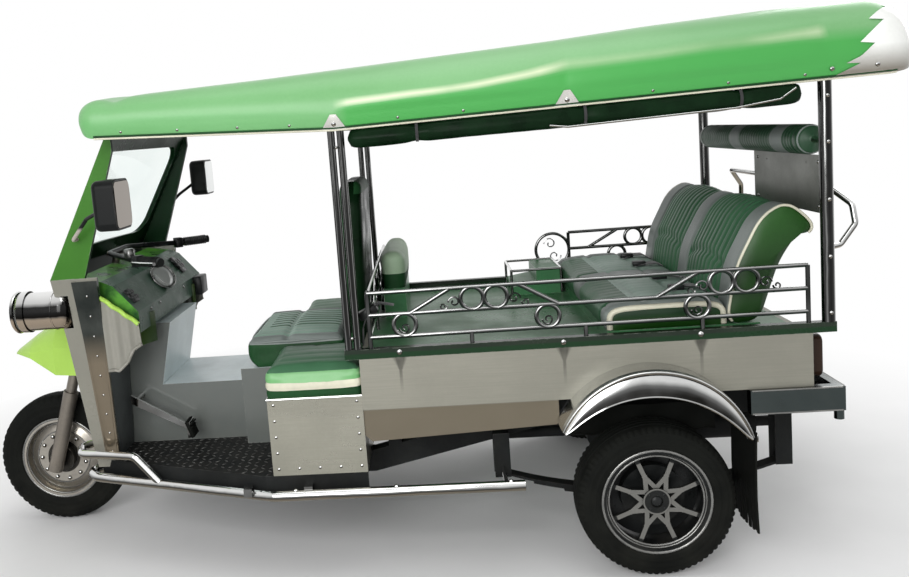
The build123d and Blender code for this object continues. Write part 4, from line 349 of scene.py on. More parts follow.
def wheel_group():
    """Distance from a wheel's axle, and a mask of its outer faces."""
    tree, given, result = new_group(
        "Wheel", [("X", "value", 0.0), ("Z", "value", 0.0), ("Face", "value", 0.0)],
        [("Radius", "value"), ("Outer", "value")],
    )
    place, normal = parts(tree, "Object"), parts(tree, "Normal")
    across = math_node(tree, "SUBTRACT", place["X"], given["X"])
    above = math_node(tree, "SUBTRACT", place["Z"], given["Z"])
    square = math_node(tree, "ADD", times(tree, across, across), times(tree, above, above))
    tree.links.new(math_node(tree, "SQRT", square), result["Radius"])
    depth = math_node(tree, "SUBTRACT", math_node(tree, "ABSOLUTE", place["Y"]), given["Face"])
    flat = spread(tree, math_node(tree, "ABSOLUTE", normal["Y"]), 0.75, 0.85)
    tree.links.new(times(tree, spread(tree, depth, -0.004, -0.001), flat), result["Outer"])
    return tree


RIM_SCREWS = (-0.044, -0.610, -1.070)


def drip_group():
    """Mask of dark runs below the screws of the body's rim."""
    inputs = [("Top", "value", 0.806), ("Drop", "value", 0.14)]
    tree, given, result = new_group("Drips", inputs, [("Mask", "value")])
    place = parts(tree, "Object")
    away = 1.0
    for x in RIM_SCREWS:
        near = math_node(tree, "ABSOLUTE", math_node(tree, "SUBTRACT", place["X"], x))
        away = math_node(tree, "MINIMUM", near, away)
    below = math_node(tree, "SUBTRACT", given["Top"], place["Z"])
    below = math_node(tree, "DIVIDE", below, given["Drop"])
    width = spread(tree, below, 0.0, 0.35, 0.030, 0.007)
    inside = math_node(tree, "SUBTRACT", 1.0, math_node(tree, "DIVIDE", away, width), True)
    fade = spread(tree, below, 0.1, 1.0, 1.0, 0.0)
    patches = noise_value(tree, object_place(tree), 30.0, 3.0, (1.0, 1.0, 0.4))
    broken = spread(tree, patches, 0.3, 0.6, 0.65, 1.0)
    tree.links.new(times(tree, spread(tree, inside, 0.0, 0.5), fade, broken), result["Mask"])
    return tree


def dust_group():
    """Mask of road dust, thicker low down and on upward faces."""
    inputs = [("Top", "value", 0.9), ("Amount", "value", 0.3)]
    tree, given, result = new_group("Dust", inputs, [("Mask", "value")])
    place, normal = parts(tree, "Object"), parts(tree, "Normal")
    low = math_node(tree, "SUBTRACT", 1.0, math_node(tree, "DIVIDE", place["Z"], given["Top"]), True)
    upward = spread(tree, normal["Z"], 0.2, 1.0, 0.35, 1.0)
    patch = spread(tree, noise_value(tree, object_place(tree), 14.0, 6.0), 0.35, 0.7)
    tree.links.new(times(tree, low, upward, patch, given["Amount"]), result["Mask"])
    return tree


GROUPS = {}


def group_node(tree, name, **values):
    """One of the shared groups, with its values set."""
    node = tree.nodes.new("ShaderNodeGroup")
    node.node_tree = GROUPS[name]
    for label, value in values.items():
        node.inputs[label.replace("_", " ").capitalize()].default_value = value
    return node


# Materials

DUST_COLOUR = (0.30, 0.27, 0.22)
BARE_COLOUR = (0.42, 0.41, 0.39)
SPOKE_ROOT, SPOKE_TIP = 0.040, 0.146


def shade(colour, factor):
    """Darker or lighter form of a colour."""
    return tuple(min(1.0, channel * factor) for channel in colour)


def tones(colour, first, second):
    """Two tones of a colour."""
    return shade(colour, first), shade(colour, second)


def finish(
    name, colour, other=None, rough=(0.35, 0.5), metal=0.0, coat=0.0, coat_rough=0.1, sheen=0.0,
    scale=4.0, grain=None, brushed=0.0, edges=0.0, dust=0.0, dust_top=0.9, specular=0.5, bump=0.0,
    bump_scale=30.0, transmission=0.0, ior=1.5, ground=None, shine="Skyline", drips=0.0, rise=None, turned=None,
    left=None, wheel=None, line=None,
):
    """Procedural surface: colour change, roughness change, grain or brushing, rubbed edges and dust, with
    painted reflection, highlight and shade where asked.
    """
    material = bpy.data.materials.new(name)
    material.use_nodes = True
    tree = material.node_tree
    shader = tree.nodes["Principled BSDF"]
    blotch = group_node(tree, "Blotch", scale=scale)
    blotch.inputs["Colour"].default_value = (*colour, 1.0)
    blotch.inputs["Other"].default_value = (*(other or shade(colour, 0.8)), 1.0)
    surface = blotch.outputs["Colour"]
    roughness = spread(tree, blotch.outputs["Value"], 0.0, 1.0, rough[0], rough[1])
    height = None
    if brushed:
        streak = group_node(tree, "Brushing")
        surface = mix_colour(
            tree, spread(tree, streak.outputs["Streaks"], 0.35, 0.7, 0.0, 0.5), surface, shade(colour, 0.8)
        )
        smear = spread(tree, streak.outputs["Smears"], 0.4, 0.7, 0.0, brushed)
        roughness = math_node(tree, "ADD", roughness, smear)
        height = streak.outputs["Streaks"]
    if grain:
        height = group_node(tree, "Grain", scale=grain[0]).outputs["Height"]
    if bump:
        height = noise_value(tree, object_place(tree), bump_scale, 4.0)
    # Painted reflection: on the vehicle's left side the glass takes the left colour.
    if left:
        surface = mix_colour(tree, spread(tree, parts(tree, "Object")["Y"], -0.01, 0.01), surface, left)
    # Colour below a height: the bench ends get painted shade and the rear corners part of their painted
    # reflection this way; the other finishes get their own colour bands.
    if rise:
        low, high, low_colour = rise
        surface = mix_colour(tree, spread(tree, parts(tree, "Object")["Z"], low, high), low_colour, surface)
    # Painted reflection bands by the surface's facing, and a painted reflection of the floor on faces that turn
    # down.
    if ground:
        sky = group_node(tree, shine, ground=(*ground, 1.0))
        tree.links.new(surface, sky.inputs["Colour"])
        surface = sky.outputs["Colour"]
    if wheel:
        centre_x, centre_z, face, dark_radius, bright = wheel
        spot = group_node(tree, "Wheel", x=centre_x, z=centre_z, face=face)
        reach = spot.outputs["Radius"]
        clear = spread(tree, reach, dark_radius - 0.002, dark_radius)
        surface = mix_colour(tree, clear, shade(colour, 0.06), surface)
        if bright:
            tip = spread(tree, reach, SPOKE_TIP, SPOKE_TIP - 0.003)
            hub = spread(tree, reach, SPOKE_ROOT, SPOKE_ROOT + 0.002)
            surface = mix_colour(tree, times(tree, tip, hub, spot.outputs["Outer"]), surface, bright)
    # Painted highlight along the canopy's shoulder, and painted shade in a deeper green on the side below it.
    if line:
        facing_up, width, start, amount, highlight_colour, shade_colour = line
        pale = group_node(tree, "Shoulder light", facing=facing_up, width=width, start=start, amount=amount)
        surface = mix_colour(tree, pale.outputs["Shade below"], surface, shade_colour)
        surface = mix_colour(tree, pale.outputs["Mask"], surface, highlight_colour)
    # Colour on faces turned a given way: painted shade on the cowl's rear and the tunnel's sides, a paler
    # grey-green on the dash face and a darker green on the windscreen frame's inner faces.
    if turned:
        mask, turned_colour = turned
        surface = mix_colour(tree, group_node(tree, "Inside").outputs[mask], surface, turned_colour)
    if drips:
        runs = times(tree, group_node(tree, "Drips").outputs["Mask"], drips)
        surface = mix_colour(tree, runs, surface, shade(colour, 0.12))
    if edges:
        rub = group_node(tree, "Edge rub", amount=edges)
        surface = mix_colour(tree, rub.outputs["Mask"], surface, BARE_COLOUR)
    if dust:
        grime = group_node(tree, "Dust", top=dust_top, amount=dust)
        surface = mix_colour(tree, grime.outputs["Mask"], surface, DUST_COLOUR)
        roughness = math_node(tree, "ADD", roughness, times(tree, grime.outputs["Mask"], 0.5), clamp=True)
    tree.links.new(surface, shader.inputs["Base Color"])
    tree.links.new(roughness, shader.inputs["Roughness"])
    if height:
        strength = grain[1] if grain else bump if bump else 0.04
        relief = add(tree, "ShaderNodeBump", [("Height", height)])
        relief.inputs["Strength"].default_value = strength
        relief.inputs["Distance"].default_value = 0.001
        tree.links.new(relief.outputs[0], shader.inputs["Normal"])
    for label, value in (
        ("Metallic", metal), ("Coat Weight", coat), ("Coat Roughness", coat_rough), ("Sheen Weight", sheen),
        ("Specular IOR Level", specular), ("Transmission Weight", transmission), ("IOR", ior),
    ):
        shader.inputs[label].default_value = value
    return material


MATERIALS = {}


def build_materials():
    """All finishes, made once."""
    c = COLOURS
    vinyl = dict(rough=(0.36, 0.52), grain=(620.0, 0.16), specular=0.28)
    enamel = dict(rough=(0.16, 0.28), coat=0.05, coat_rough=0.06, specular=0.16, bump=0.03, bump_scale=220.0)
    dull = dict(enamel, coat=0.0, specular=0.07, rough=(0.24, 0.36))
    m = MATERIALS
    # The line setting paints a pale highlight along the shoulder and painted shade in a deeper green below it.
    m["canopy"] = finish(
        "canopy_vinyl", tuple(c.canopy), tuple(c.canopy_top), scale=1.2, rough=(0.30, 0.42), bump=0.02,
        bump_scale=40.0, specular=0.35,
        line=(0.14, 0.15, 0.118, 0.95, (0.66, 0.72, 0.50), (0.060, 0.335, 0.070)),
    )
    m["canopy_lining"] = finish("canopy_lining", shade(c.dark_green, 0.8), rough=(0.5, 0.7), grain=(700.0, 0.3))
    m["dark_vinyl"] = finish(
        "dark_green_vinyl", tuple(c.dark_green), shade(c.dark_green, 1.6), rough=(0.45, 0.6),
        grain=(620.0, 0.14), specular=0.12,
    )
    m["seat_vinyl"] = finish("pleated_vinyl", tuple(c.seat_green), shade(c.seat_green, 1.35), **vinyl)
    m["bolster_vinyl"] = finish("bolster_vinyl", *tones(c.seat_green, 0.5, 0.75), **vinyl)
    # Darker below z 1.04: painted shade on the lower bench ends.
    m["end_vinyl"] = finish(
        "bright_end_vinyl", *tones(c.end_green, 0.42, 0.30), rise=(1.04, 1.20, shade(c.end_green, 0.20)),
        **vinyl,
    )
    m["pale_vinyl"] = finish("pale_green_vinyl", tuple(c.pale_green), shade(c.pale_green, 0.85), **vinyl)
    m["grey_vinyl"] = finish("grey_vinyl", tuple(c.grey), shade(c.grey, 0.85), **vinyl)
    m["cream"] = finish("cream_piping", tuple(c.cream), shade(c.cream, 0.8), dust=0.4, dust_top=4.0, **vinyl)
    m["panel_green"] = finish(
        "green_panel_paint", tuple(c.panel_green), shade(c.panel_green, 0.85), edges=0.5,
        turned=("Mask", shade(c.dash_green, 0.7)), **dull,
    )
    m["lime"] = finish("lime_mudguard_paint", tuple(c.lime), shade(c.lime, 0.9), edges=0.4, dust=0.2, **enamel)
    m["deck_green"] = finish(
        "deck_paint", tuple(c.deck_green), shade(c.deck_green, 0.75), rough=(0.22, 0.40), coat=0.03,
        specular=0.14, edges=0.6, dust=0.15, dust_top=3.0, bump=0.04, bump_scale=160.0,
    )
    m["dark_paint"] = finish(
        "dark_green_paint", (0.012, 0.020, 0.013), (0.018, 0.028, 0.018), edges=0.4,
        rise=(0.819, 0.825, shade(c.dash_green, 0.85)), **enamel,
    )
    m["dash"] = finish(
        "dash_paint", shade(c.dash_green, 1.2), (0.085, 0.270, 0.035), scale=13.0,
        turned=("Rearward", (0.050, 0.095, 0.066)), **dull,
    )
    m["mirror_shell"] = finish(
        "mirror_shell", *tones(c.black, 0.5, 0.9), rough=(0.25, 0.4), specular=0.07,
        rise=(1.325, 1.335, (0.36, 0.33, 0.29)),
    )
    # Faces turned to the rear are painted near black: painted shade behind the cowl.
    m["cowl"] = finish(
        "cowl_paint", tuple(c.cowl), shade(c.cowl, 0.9), rough=(0.26, 0.38), coat=0.08, dust=0.2, edges=0.4,
        specular=0.25, bump=0.03, bump_scale=120.0, turned=("Rearward", (0.032, 0.038, 0.036)),
    )
    # Faces turned sideways are painted dark grey against the pale top: painted light and shade on the tunnel
    # and the seat base.
    m["leg_grey"] = finish(
        "tunnel_paint", tuple(c.leg_grey), shade(c.leg_grey, 0.85), rough=(0.30, 0.42), coat=0.2, dust=0.25,
        edges=0.5, bump=0.03, bump_scale=90.0, specular=0.35, turned=("Sideways", (0.110, 0.121, 0.113)),
    )
    m["steel"] = finish(
        "brushed_stainless", *tones(c.steel, 0.62, 0.55), rough=(0.36, 0.46), metal=0.35, brushed=0.10,
        specular=0.2, dust=0.2, dust_top=0.95, drips=0.85, rise=(0.613, 0.621, (0.137, 0.118, 0.086)),
    )
    m["box_steel"] = finish(
        "box_stainless", *tones(c.steel, 0.82, 0.66), rough=(0.20, 0.30), metal=1.0, brushed=0.12, dust=0.2,
    )
    # Painted reflection bands: bright on top, dark across the middle, with a painted reflection of the floor on
    # faces that turn down.
    m["fender"] = finish(
        "fender_chrome", tuple(c.chrome), shade(c.chrome, 0.85), rough=(0.16, 0.24), metal=1.0, scale=6.0,
        dust=0.1, ground=(0.34, 0.28, 0.20), shine="Fender",
    )
    # Painted reflection bands by facing, with a warm painted reflection of the floor on faces that turn down.
    m["chrome"] = finish(
        "bright_chrome", tuple(c.chrome), shade(c.chrome, 0.93), rough=(0.05, 0.11), metal=1.0, scale=9.0,
        dust=0.12, dust_top=1.2, bump=0.012, bump_scale=26.0, ground=(0.42, 0.37, 0.29),
    )
    # Painted reflection bands by facing, with a dark green painted reflection on faces that turn down.
    m["rail_chrome"] = finish(
        "rail_chrome", *tones(c.chrome, 0.62, 0.5), rough=(0.08, 0.15), metal=1.0, scale=9.0,
        ground=(0.06, 0.09, 0.07),
    )
    # Near white with darker lower parts below z 1.66: painted reflection on the stainless corners.
    m["corner_steel"] = finish(
        "corner_stainless", (0.93, 0.94, 0.91), (0.80, 0.81, 0.78), rough=(0.16, 0.26), metal=0.3, scale=5.0,
        rise=(1.66, 1.74, (0.24, 0.22, 0.185)),
    )
    m["rim_lip"] = finish(
        "rim_lip", (0.24, 0.24, 0.23), (0.17, 0.17, 0.165), rough=(0.2, 0.32), metal=0.9, scale=20.0, dust=0.2,
    )
    m["seam_plate"] = finish(
        "seam_plate", (0.66, 0.65, 0.61), (0.50, 0.49, 0.46), rough=(0.24, 0.34), metal=0.8, scale=20.0,
    )
    m["plate_steel"] = finish(
        "plate_stainless", (0.130, 0.135, 0.117), (0.10, 0.105, 0.09), rough=(0.3, 0.42), metal=0.5,
        brushed=0.1,
    )
    # Painted reflection bands with a dark band across the middle, and a warm painted reflection of the floor on
    # faces that turn down.
    m["lamp_chrome"] = finish(
        "lamp_chrome", (0.80, 0.80, 0.79), (0.74, 0.74, 0.73), rough=(0.13, 0.19), metal=1.0, scale=9.0,
        ground=(0.42, 0.34, 0.26), shine="Lamp",
    )
    # Dark grey, partly the shield's own grey and partly painted shade behind the cowl.
    m["shield_grey"] = finish(
        "shield_paint", (0.075, 0.083, 0.085), (0.055, 0.062, 0.064), rough=(0.35, 0.5), specular=0.2, dust=0.2,
        bump=0.04,
    )
    m["channel"] = finish(
        "channel_stainless", (0.020, 0.024, 0.022), (0.05, 0.055, 0.05), rough=(0.08, 0.2), metal=0.6,
        scale=6.0, rise=(0.80, 0.92, (0.175, 0.145, 0.105)), specular=0.15,
    )
    m["wing"] = finish(
        "wing_paint", (0.245, 0.238, 0.205), (0.20, 0.195, 0.168), rough=(0.3, 0.42), dust=0.3, bump=0.03,
    )
    m["cushion_end"] = finish(
        "cushion_end_vinyl", *tones(c.dark_green, 0.6, 0.9), rise=(0.86, 0.89, shade(c.end_green, 0.25)),
        **vinyl,
    )
    m["seat_top"] = finish("seat_top_vinyl", (0.300, 0.420, 0.350), (0.24, 0.35, 0.285), **vinyl)
    # Dark green vinyl darkened further as painted shade under the canopy, on the curtains and the driver's
    # backrest.
    m["shaded_green_vinyl"] = finish(
        "shaded_green_vinyl", *tones(c.dark_green, 0.25, 0.45), scale=9.0, rough=(0.22, 0.46), grain=(300.0, 0.2),
        specular=0.06,
    )
    m["stud"] = finish(
        "worn_stud", (0.13, 0.13, 0.125), (0.03, 0.03, 0.03), rough=(0.35, 0.5), metal=0.6, scale=12.0,
        dust=0.1,
    )
    # Painted reflection bands by facing along the vehicle, with a grey painted reflection of the floor on faces
    # that turn down.
    m["post_chrome"] = finish(
        "post_chrome", *tones(c.chrome, 0.6, 0.5), rough=(0.08, 0.16), metal=1.0, scale=9.0, bump=0.012,
        bump_scale=40.0, ground=(0.2, 0.2, 0.19), shine="Uprights",
    )
    m["black"] = finish(
        "black_chassis_paint", *tones(c.black, 0.7, 1.3), rough=(0.42, 0.6), edges=0.10, dust=0.07,
        dust_top=0.8, bump=0.10, bump_scale=140.0, specular=0.06,
    )
    m["gloss_black"] = finish(
        "black_moulding", *tones(c.black, 0.7, 1.3), rough=(0.25, 0.4), edges=0.10, bump=0.05, bump_scale=600.0,
        specular=0.18,
    )
    m["rubber"] = finish(
        "tyre_rubber", tuple(c.rubber), shade(c.rubber, 1.6), rough=(0.62, 0.8), dust=0.05, dust_top=0.55,
        bump=0.18, bump_scale=420.0, specular=0.06, scale=7.0,
    )
    m["flap"] = finish(
        "flap_rubber", tuple(c.rubber), shade(c.rubber, 1.4), rough=(0.6, 0.75), dust=0.05, dust_top=0.6,
        bump=0.15, bump_scale=260.0, specular=0.05,
    )
    m["rim_steel"] = finish(
        "rim_steel", (0.40, 0.375, 0.33), (0.29, 0.27, 0.24), rough=(0.26, 0.42), metal=0.9, scale=14.0,
        dust=0.35, dust_top=0.6, edges=0.3, bump=0.06, bump_scale=120.0, wheel=(1.504, 0.282, 1.0, 0.074, None),
    )
    m["rear_rim"] = finish(
        "rear_rim_paint", (0.008, 0.009, 0.009), (0.012, 0.013, 0.013), rough=(0.3, 0.45), metal=0.2,
        scale=14.0, dust=0.1, dust_top=0.5, specular=0.12,
        wheel=(-0.883, 0.267, 0.730, 0.022, (0.150, 0.148, 0.138)),
    )
    m["bumper"] = finish(
        "bumper_chrome", (0.055, 0.067, 0.066), (0.04, 0.05, 0.05), rough=(0.12, 0.24), metal=1.0, scale=5.0,
        dust=0.15, brushed=0.08,
    )
    m["olive"] = finish(
        "olive_paint", (0.045, 0.085, 0.014), (0.03, 0.06, 0.01), rough=(0.3, 0.45), specular=0.3, edges=0.3,
    )
    m["fork"] = finish(
        "fork_steel", (0.22, 0.195, 0.165), (0.13, 0.12, 0.105), rough=(0.3, 0.5), metal=0.85, dust=0.4,
        edges=0.3, bump=0.06, bump_scale=90.0,
    )
    # The glass on the vehicle's left side is painted brownish as a painted reflection.
    m["mirror"] = finish(
        "mirror_face", (0.80, 0.82, 0.81), (0.74, 0.76, 0.75), rough=(0.02, 0.05), metal=1.0,
        left=(0.24, 0.21, 0.18),
    )
    m["glass"] = finish(
        "windscreen_glass", (0.92, 0.97, 0.95), (0.88, 0.94, 0.92), rough=(0.01, 0.03), transmission=1.0,
        ior=1.04,
    )
    m["lens"] = finish(
        "headlamp_glass", (0.95, 0.96, 0.95), (0.9, 0.92, 0.91), rough=(0.03, 0.08), transmission=1.0,
        bump=0.25, bump_scale=70.0,
    )
    m["tail_lamp"] = finish(
        "tail_lamp_lens", (0.030, 0.016, 0.010), (0.022, 0.012, 0.008), rough=(0.12, 0.22), coat=0.05,
        specular=0.10, bump=0.3, bump_scale=160.0, dust=0.2,
    )
    m["belt"] = finish(
        "belt_webbing", (0.012, 0.012, 0.013), (0.02, 0.02, 0.021), rough=(0.7, 0.85), sheen=0.3, bump=0.5,
        bump_scale=900.0,
    )
    m["dial"] = finish("dial_face", (0.30, 0.31, 0.30), (0.24, 0.25, 0.24), rough=(0.2, 0.3), coat=0.6)


NODE_FINISH = {
    "black": "chassis_frame rear_axle leaf_springs powertrain wheel_arch_liners driver_floor",
    "steel": "body_panels",
    "box_steel": "side_boxes",
    "plate_steel": "rear_plate",
    "cowl": "front_cowl",
    "leg_grey": "tunnel_cover seat_base",
    "panel_green": "windscreen_frame",
    "lime": "nose_mudguard",
    "dash": "dashboard",
    "dark_paint": "deck_rims",
    "deck_green": "deck cabin_boxes",
    "chrome": "step_bars rear_guard pedals",
    "lamp_chrome": "headlamp_shells",
    "fender": "rear_fenders",
    "bumper": "rear_bumper",
    "rail_chrome": "cabin_rails",
    "dial": "gauge",
    "post_chrome": "roof_frame",
    "canopy": "roof_canopy",
    "dark_vinyl": "driver_cushion driver_backrest bench_cushion bench_backrest head_bolster curtain_rolls",
    "pale_vinyl": "jump_seat_pad",
    "end_vinyl": "side_box_pads",
    "rubber": "front_tyre rear_tyre_left rear_tyre_right",
    "flap": "mud_flaps",
    "rim_steel": "front_rim",
    "rear_rim": "rear_rim_left rear_rim_right",
    "fork": "fork",
    "gloss_black": "handlebar",
    "mirror_shell": "mirrors",
    "mirror": "mirror_glasses",
    "glass": "windscreen_glass",
    "lens": "headlamp_lenses",
    "tail_lamp": "tail_lamps",
}


class RICKSHAW_OT_finishes(bpy.types.Operator):
    """Gives every solid of the frame its finish"""

    bl_idname = "rickshaw.finishes"
    bl_label = "Finishes"

    def execute(self, context):
        GROUPS.update({
            "Blotch": blotch_group(), "Grain": grain_group(), "Brushing": brushing_group(),
            "Edge rub": edge_group(), "Dust": dust_group(), "Skyline": shine_group("Skyline", "Z", SKYLINE),
            "Uprights": shine_group("Uprights", "X", UPRIGHT), "Drips": drip_group(), "Inside": inside_group(),
            "Wheel": wheel_group(),
            "Shoulder light": shoulder_light_group(), "Fender": shine_group("Fender", "Z", FENDER),
            "Lamp": shine_group("Lamp", "Z", LAMP),
        })
        build_materials()
        for key, names in NODE_FINISH.items():
            for name in names.split():
                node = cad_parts[name]
                node.data.materials.clear()
                node.data.materials.append(MATERIALS[key])
        return {"FINISHED"}


# Mesh helpers


def piece(
    name, points, faces, finishes, body=BODY, slot=None, bands=None, replaces=(), sharp=50.0, padded=None,
):
    """One dressed piece that rides on a body, with its finish for each face taken from the bands."""
    mesh = bpy.data.meshes.new(name)
    mesh.from_pydata([tuple(point) for point in points], [], faces)
    for key in finishes:
        mesh.materials.append(MATERIALS[key])
    if bands:
        mesh.polygons.foreach_set("material_index", bands)
    mesh.polygons.foreach_set("use_smooth", [True] * len(mesh.polygons))
    grid = bmesh.new()
    grid.from_mesh(mesh)
    bmesh.ops.recalc_face_normals(grid, faces=grid.faces)
    grid.to_mesh(mesh)
    grid.free()
    mesh.set_sharp_from_angle(angle=math.radians(sharp))
    item = bpy.data.objects.new(name, mesh)
    bpy.context.scene.collection.objects.link(item)
    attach(item, body)
    if replaces:
        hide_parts(*replaces)
    return item


def grid_faces(rows, columns, close_rows=False, close_columns=False, start=0):
    """Quads of a grid of points, kept row by row."""
    faces = []
    for row in range(rows if close_rows else rows - 1):
        for column in range(columns if close_columns else columns - 1):
            after, beside = (row + 1) % rows, (column + 1) % columns
            corners = ((row, column), (row, beside), (after, beside), (after, column))
            faces.append(tuple(start + r * columns + c for r, c in corners))
    return faces


def ring(centre, radius, count=48, first=(1, 0, 0), second=(0, 0, 1)):
    """Points of a circle in the plane of two directions."""
    centre, first, second = Vector(centre), Vector(first), Vector(second)
    turns = [math.tau * step / count for step in range(count)]
    return [centre + radius * (math.cos(turn) * first + math.sin(turn) * second) for turn in turns]


class Shapes:
    """Several small forms gathered into one mesh."""

    def __init__(self):
        self.points, self.faces, self.bands = [], [], []

    def take(self, points, faces, band=0):
        """Adds one form."""
        start = len(self.points)
        self.points.extend(points)
        self.faces.extend(tuple(start + index for index in face) for face in faces)
        self.bands.extend([band] * len(faces))

    def tube(self, path, radius, sides=10, closed=False, band=0):
        """Adds a round tube along a path; the radius is a number or one number for each point."""
        path = [Vector(point) for point in path]
        count = len(path)
        radii = [radius] * count if isinstance(radius, (int, float)) else radius
        side = None
        points = []
        for index, place in enumerate(path):
            before = path[index - 1] if closed or index else place
            after = path[(index + 1) % count] if closed or index < count - 1 else place
            along = (after - before).normalized()
            if side is None:
                side = along.orthogonal().normalized()
            side = (side - along * side.dot(along)).normalized()
            points += ring(place, radii[index], sides, side, along.cross(side))
        faces = grid_faces(count, sides, closed, True)
        if not closed:
            faces += [tuple(range(sides)), tuple(range((count - 1) * sides, count * sides))]
        self.take(points, faces, band)

    def dome(self, place, facing, radius, height, sides=8, band=0):
        """Adds a round head on a face."""
        up = Vector(facing).normalized()
        side = up.orthogonal().normalized()
        points = []
        for share in (0.0, 0.35, 0.7):
            turn = share * math.pi / 2
            middle = Vector(place) + up * height * math.sin(turn)
            points += ring(middle, radius * math.cos(turn), sides, side, up.cross(side))
        points.append(Vector(place) + up * height)
        faces = grid_faces(3, sides, False, True)
        top = 2 * sides
        faces += [(top + step, top + (step + 1) % sides, 3 * sides) for step in range(sides)]
        self.take(points, faces, band)

    def block(self, centre, size, axes=None, cut=0.15, band=0):
        """Adds a block with chamfered edges, turned by the axes."""
        axes = axes or Matrix.Identity(3)
        half = Vector(size) / 2
        cut = cut * min(half)
        points = []
        for axis in range(3):
            for signs in itertools.product((-1, 1), repeat=3):
                corner = [sign * (half[i] - (0 if i == axis else cut)) for i, sign in enumerate(signs)]
                points.append(Vector(centre) + axes @ Vector(corner))
        hull = bmesh.new()
        for point in points:
            hull.verts.new(point)
        bmesh.ops.convex_hull(hull, input=hull.verts)
        hull.verts.index_update()
        faces = [tuple(vertex.index for vertex in face.verts) for face in hull.faces]
        self.take([vertex.co.copy() for vertex in hull.verts], faces, band)
        hull.free()

    def lathe(self, centre, profile, sides=96, band=0, reach=None):
        """Adds a closed profile of (radius, offset) turned about the Y axis; reach changes each point."""
        points = []
        for step in range(sides):
            turn = 2 * math.pi * step / sides
            for index, (radius, offset) in enumerate(profile):
                if reach:
                    radius, offset = reach(step, index, radius, offset)
                spot = Vector((radius * math.cos(turn), offset, radius * math.sin(turn)))
                points.append(Vector(centre) + spot)
        self.take(points, grid_faces(sides, len(profile), True, True), band)

    def plate(self, rows, columns, shift):
        """Adds a thin plate: a grid of points, row by row, and its copy moved by the shift."""
        count = len(rows) // columns
        faces = grid_faces(count, columns) + grid_faces(count, columns, start=len(rows))
        self.take(rows + [Vector(point) + Vector(shift) for point in rows], faces)

    def strap(self, rows):
        """Adds a flat strap from its sections of four corners each."""
        last = len(rows)
        ends = [(0, 1, 2, 3), tuple(range(last - 4, last))]
        self.take(rows, grid_faces(last // 4, 4, False, True) + ends)

    def make(self, name, finishes, **rest):
        """The gathered forms as one piece."""
        return piece(name, self.points, self.faces, finishes, bands=self.bands, **rest)


def smooth(value):
    """Soft step from 0 to 1."""
    value = min(1.0, max(0.0, value))
    return value * value * (3 - 2 * value)


def along(value, table):
    """Value read from a table of (place, value) rows, straight between them."""
    rows = sorted(table)
    if value <= rows[0][0]:
        return rows[0][1]
    for (x0, y0), (x1, y1) in zip(rows, rows[1:]):
        if value <= x1:
            return y0 + (y1 - y0) * (value - x0) / (x1 - x0)
    return rows[-1][1]


def pad(name, low, high, rounding, finishes, shape=None, band=None, step=0.010, **rest):
    """Padded block: rounded edges, then the shape of each point, then the finish of each face."""
    low, high = Vector(low), Vector(high)
    counts = [max(3, round((high[i] - low[i]) / step)) for i in range(3)]
    places, faces = {}, []
    points = []

    def spot(key):
        if key in places:
            return places[key]
        share = [key[i] / counts[i] for i in range(3)]
        place = Vector([low[i] + (high[i] - low[i]) * share[i] for i in range(3)])
        core = Vector([min(max(place[i], low[i] + rounding), high[i] - rounding) for i in range(3)])
        if place.z < low.z + rounding:
            core.z = place.z
        reach = place - core
        if reach.length > rounding:
            place = core + reach * (rounding / reach.length)
        normal = reach.normalized() if reach.length else Vector((0, 0, -1))
        if shape:
            place = shape(place, normal, *(2 * value - 1 for value in share))
        places[key] = len(points)
        points.append(place)
        return places[key]

    for axis in range(3):
        one, two = (axis + 1) % 3, (axis + 2) % 3
        for side in (0, counts[axis]):
            for i in range(counts[one]):
                for j in range(counts[two]):
                    corners = []
                    for di, dj in ((0, 0), (1, 0), (1, 1), (0, 1)):
                        key = [0, 0, 0]
                        key[axis], key[one], key[two] = side, i + di, j + dj
                        corners.append(spot(tuple(key)))
                    faces.append(tuple(corners))
    bands = None
    if band:
        bands = []
        for face in faces:
            centre = sum((points[index] for index in face), Vector()) / 4
            bands.append(band(centre))
    return piece(name, points, faces, finishes, bands=bands, sharp=80.0, **rest)


def squared(turn):
    """Place on a round with square shoulders, at a turn."""
    return tuple(math.copysign(abs(part) ** 0.35, part) for part in (math.cos(turn), math.sin(turn)))


def groove(value, spacing, depth, width=0.30):
    """Depth of a row of sewn grooves at a place across them."""
    share = value / spacing % 1.0
    gap = min(share, 1 - share)
    return depth * (1 - smooth(gap / width))


def seam(value, place, depth, width):
    """Depth of one sewn line at a place across it."""
    return depth * math.exp(-(((value - place) / width) ** 2))


# Canopy

ROOF_EDGE = ((0.960, 1.648), (0.118, 1.610), (-1.660, 1.646))
ROOF_CROWN = (
    (1.030, 0.152), (0.950, 0.166), (0.800, 0.178), (0.400, 0.210), (0.118, 0.236), (-0.300, 0.246),
    (-0.662, 0.255), (-1.000, 0.270), (-1.400, 0.280), (-1.660, 0.276),
)
ROOF_HALF = 0.690
ROOF_FRONT, ROOF_NOSE = 0.960, 0.058
ROOF_REAR, ROOF_TAIL = -1.660, 0.124
ROOF_SKIRT, ROOF_RISE = 0.062, 0.030
ROOF_SEAMS = (0.118, -0.662, -1.480)


def roof_tuck(x):
    """How far the ends of the canopy are drawn in, from 0 to 1."""
    if x > ROOF_FRONT:
        return 1 - math.sqrt(max(0.0, 1 - min(1.0, (x - ROOF_FRONT) / ROOF_NOSE) ** 2))
    if x < ROOF_REAR:
        return 1 - math.sqrt(max(0.0, 1 - min(1.0, (ROOF_REAR - x) / ROOF_TAIL) ** 2))
    return 0.0


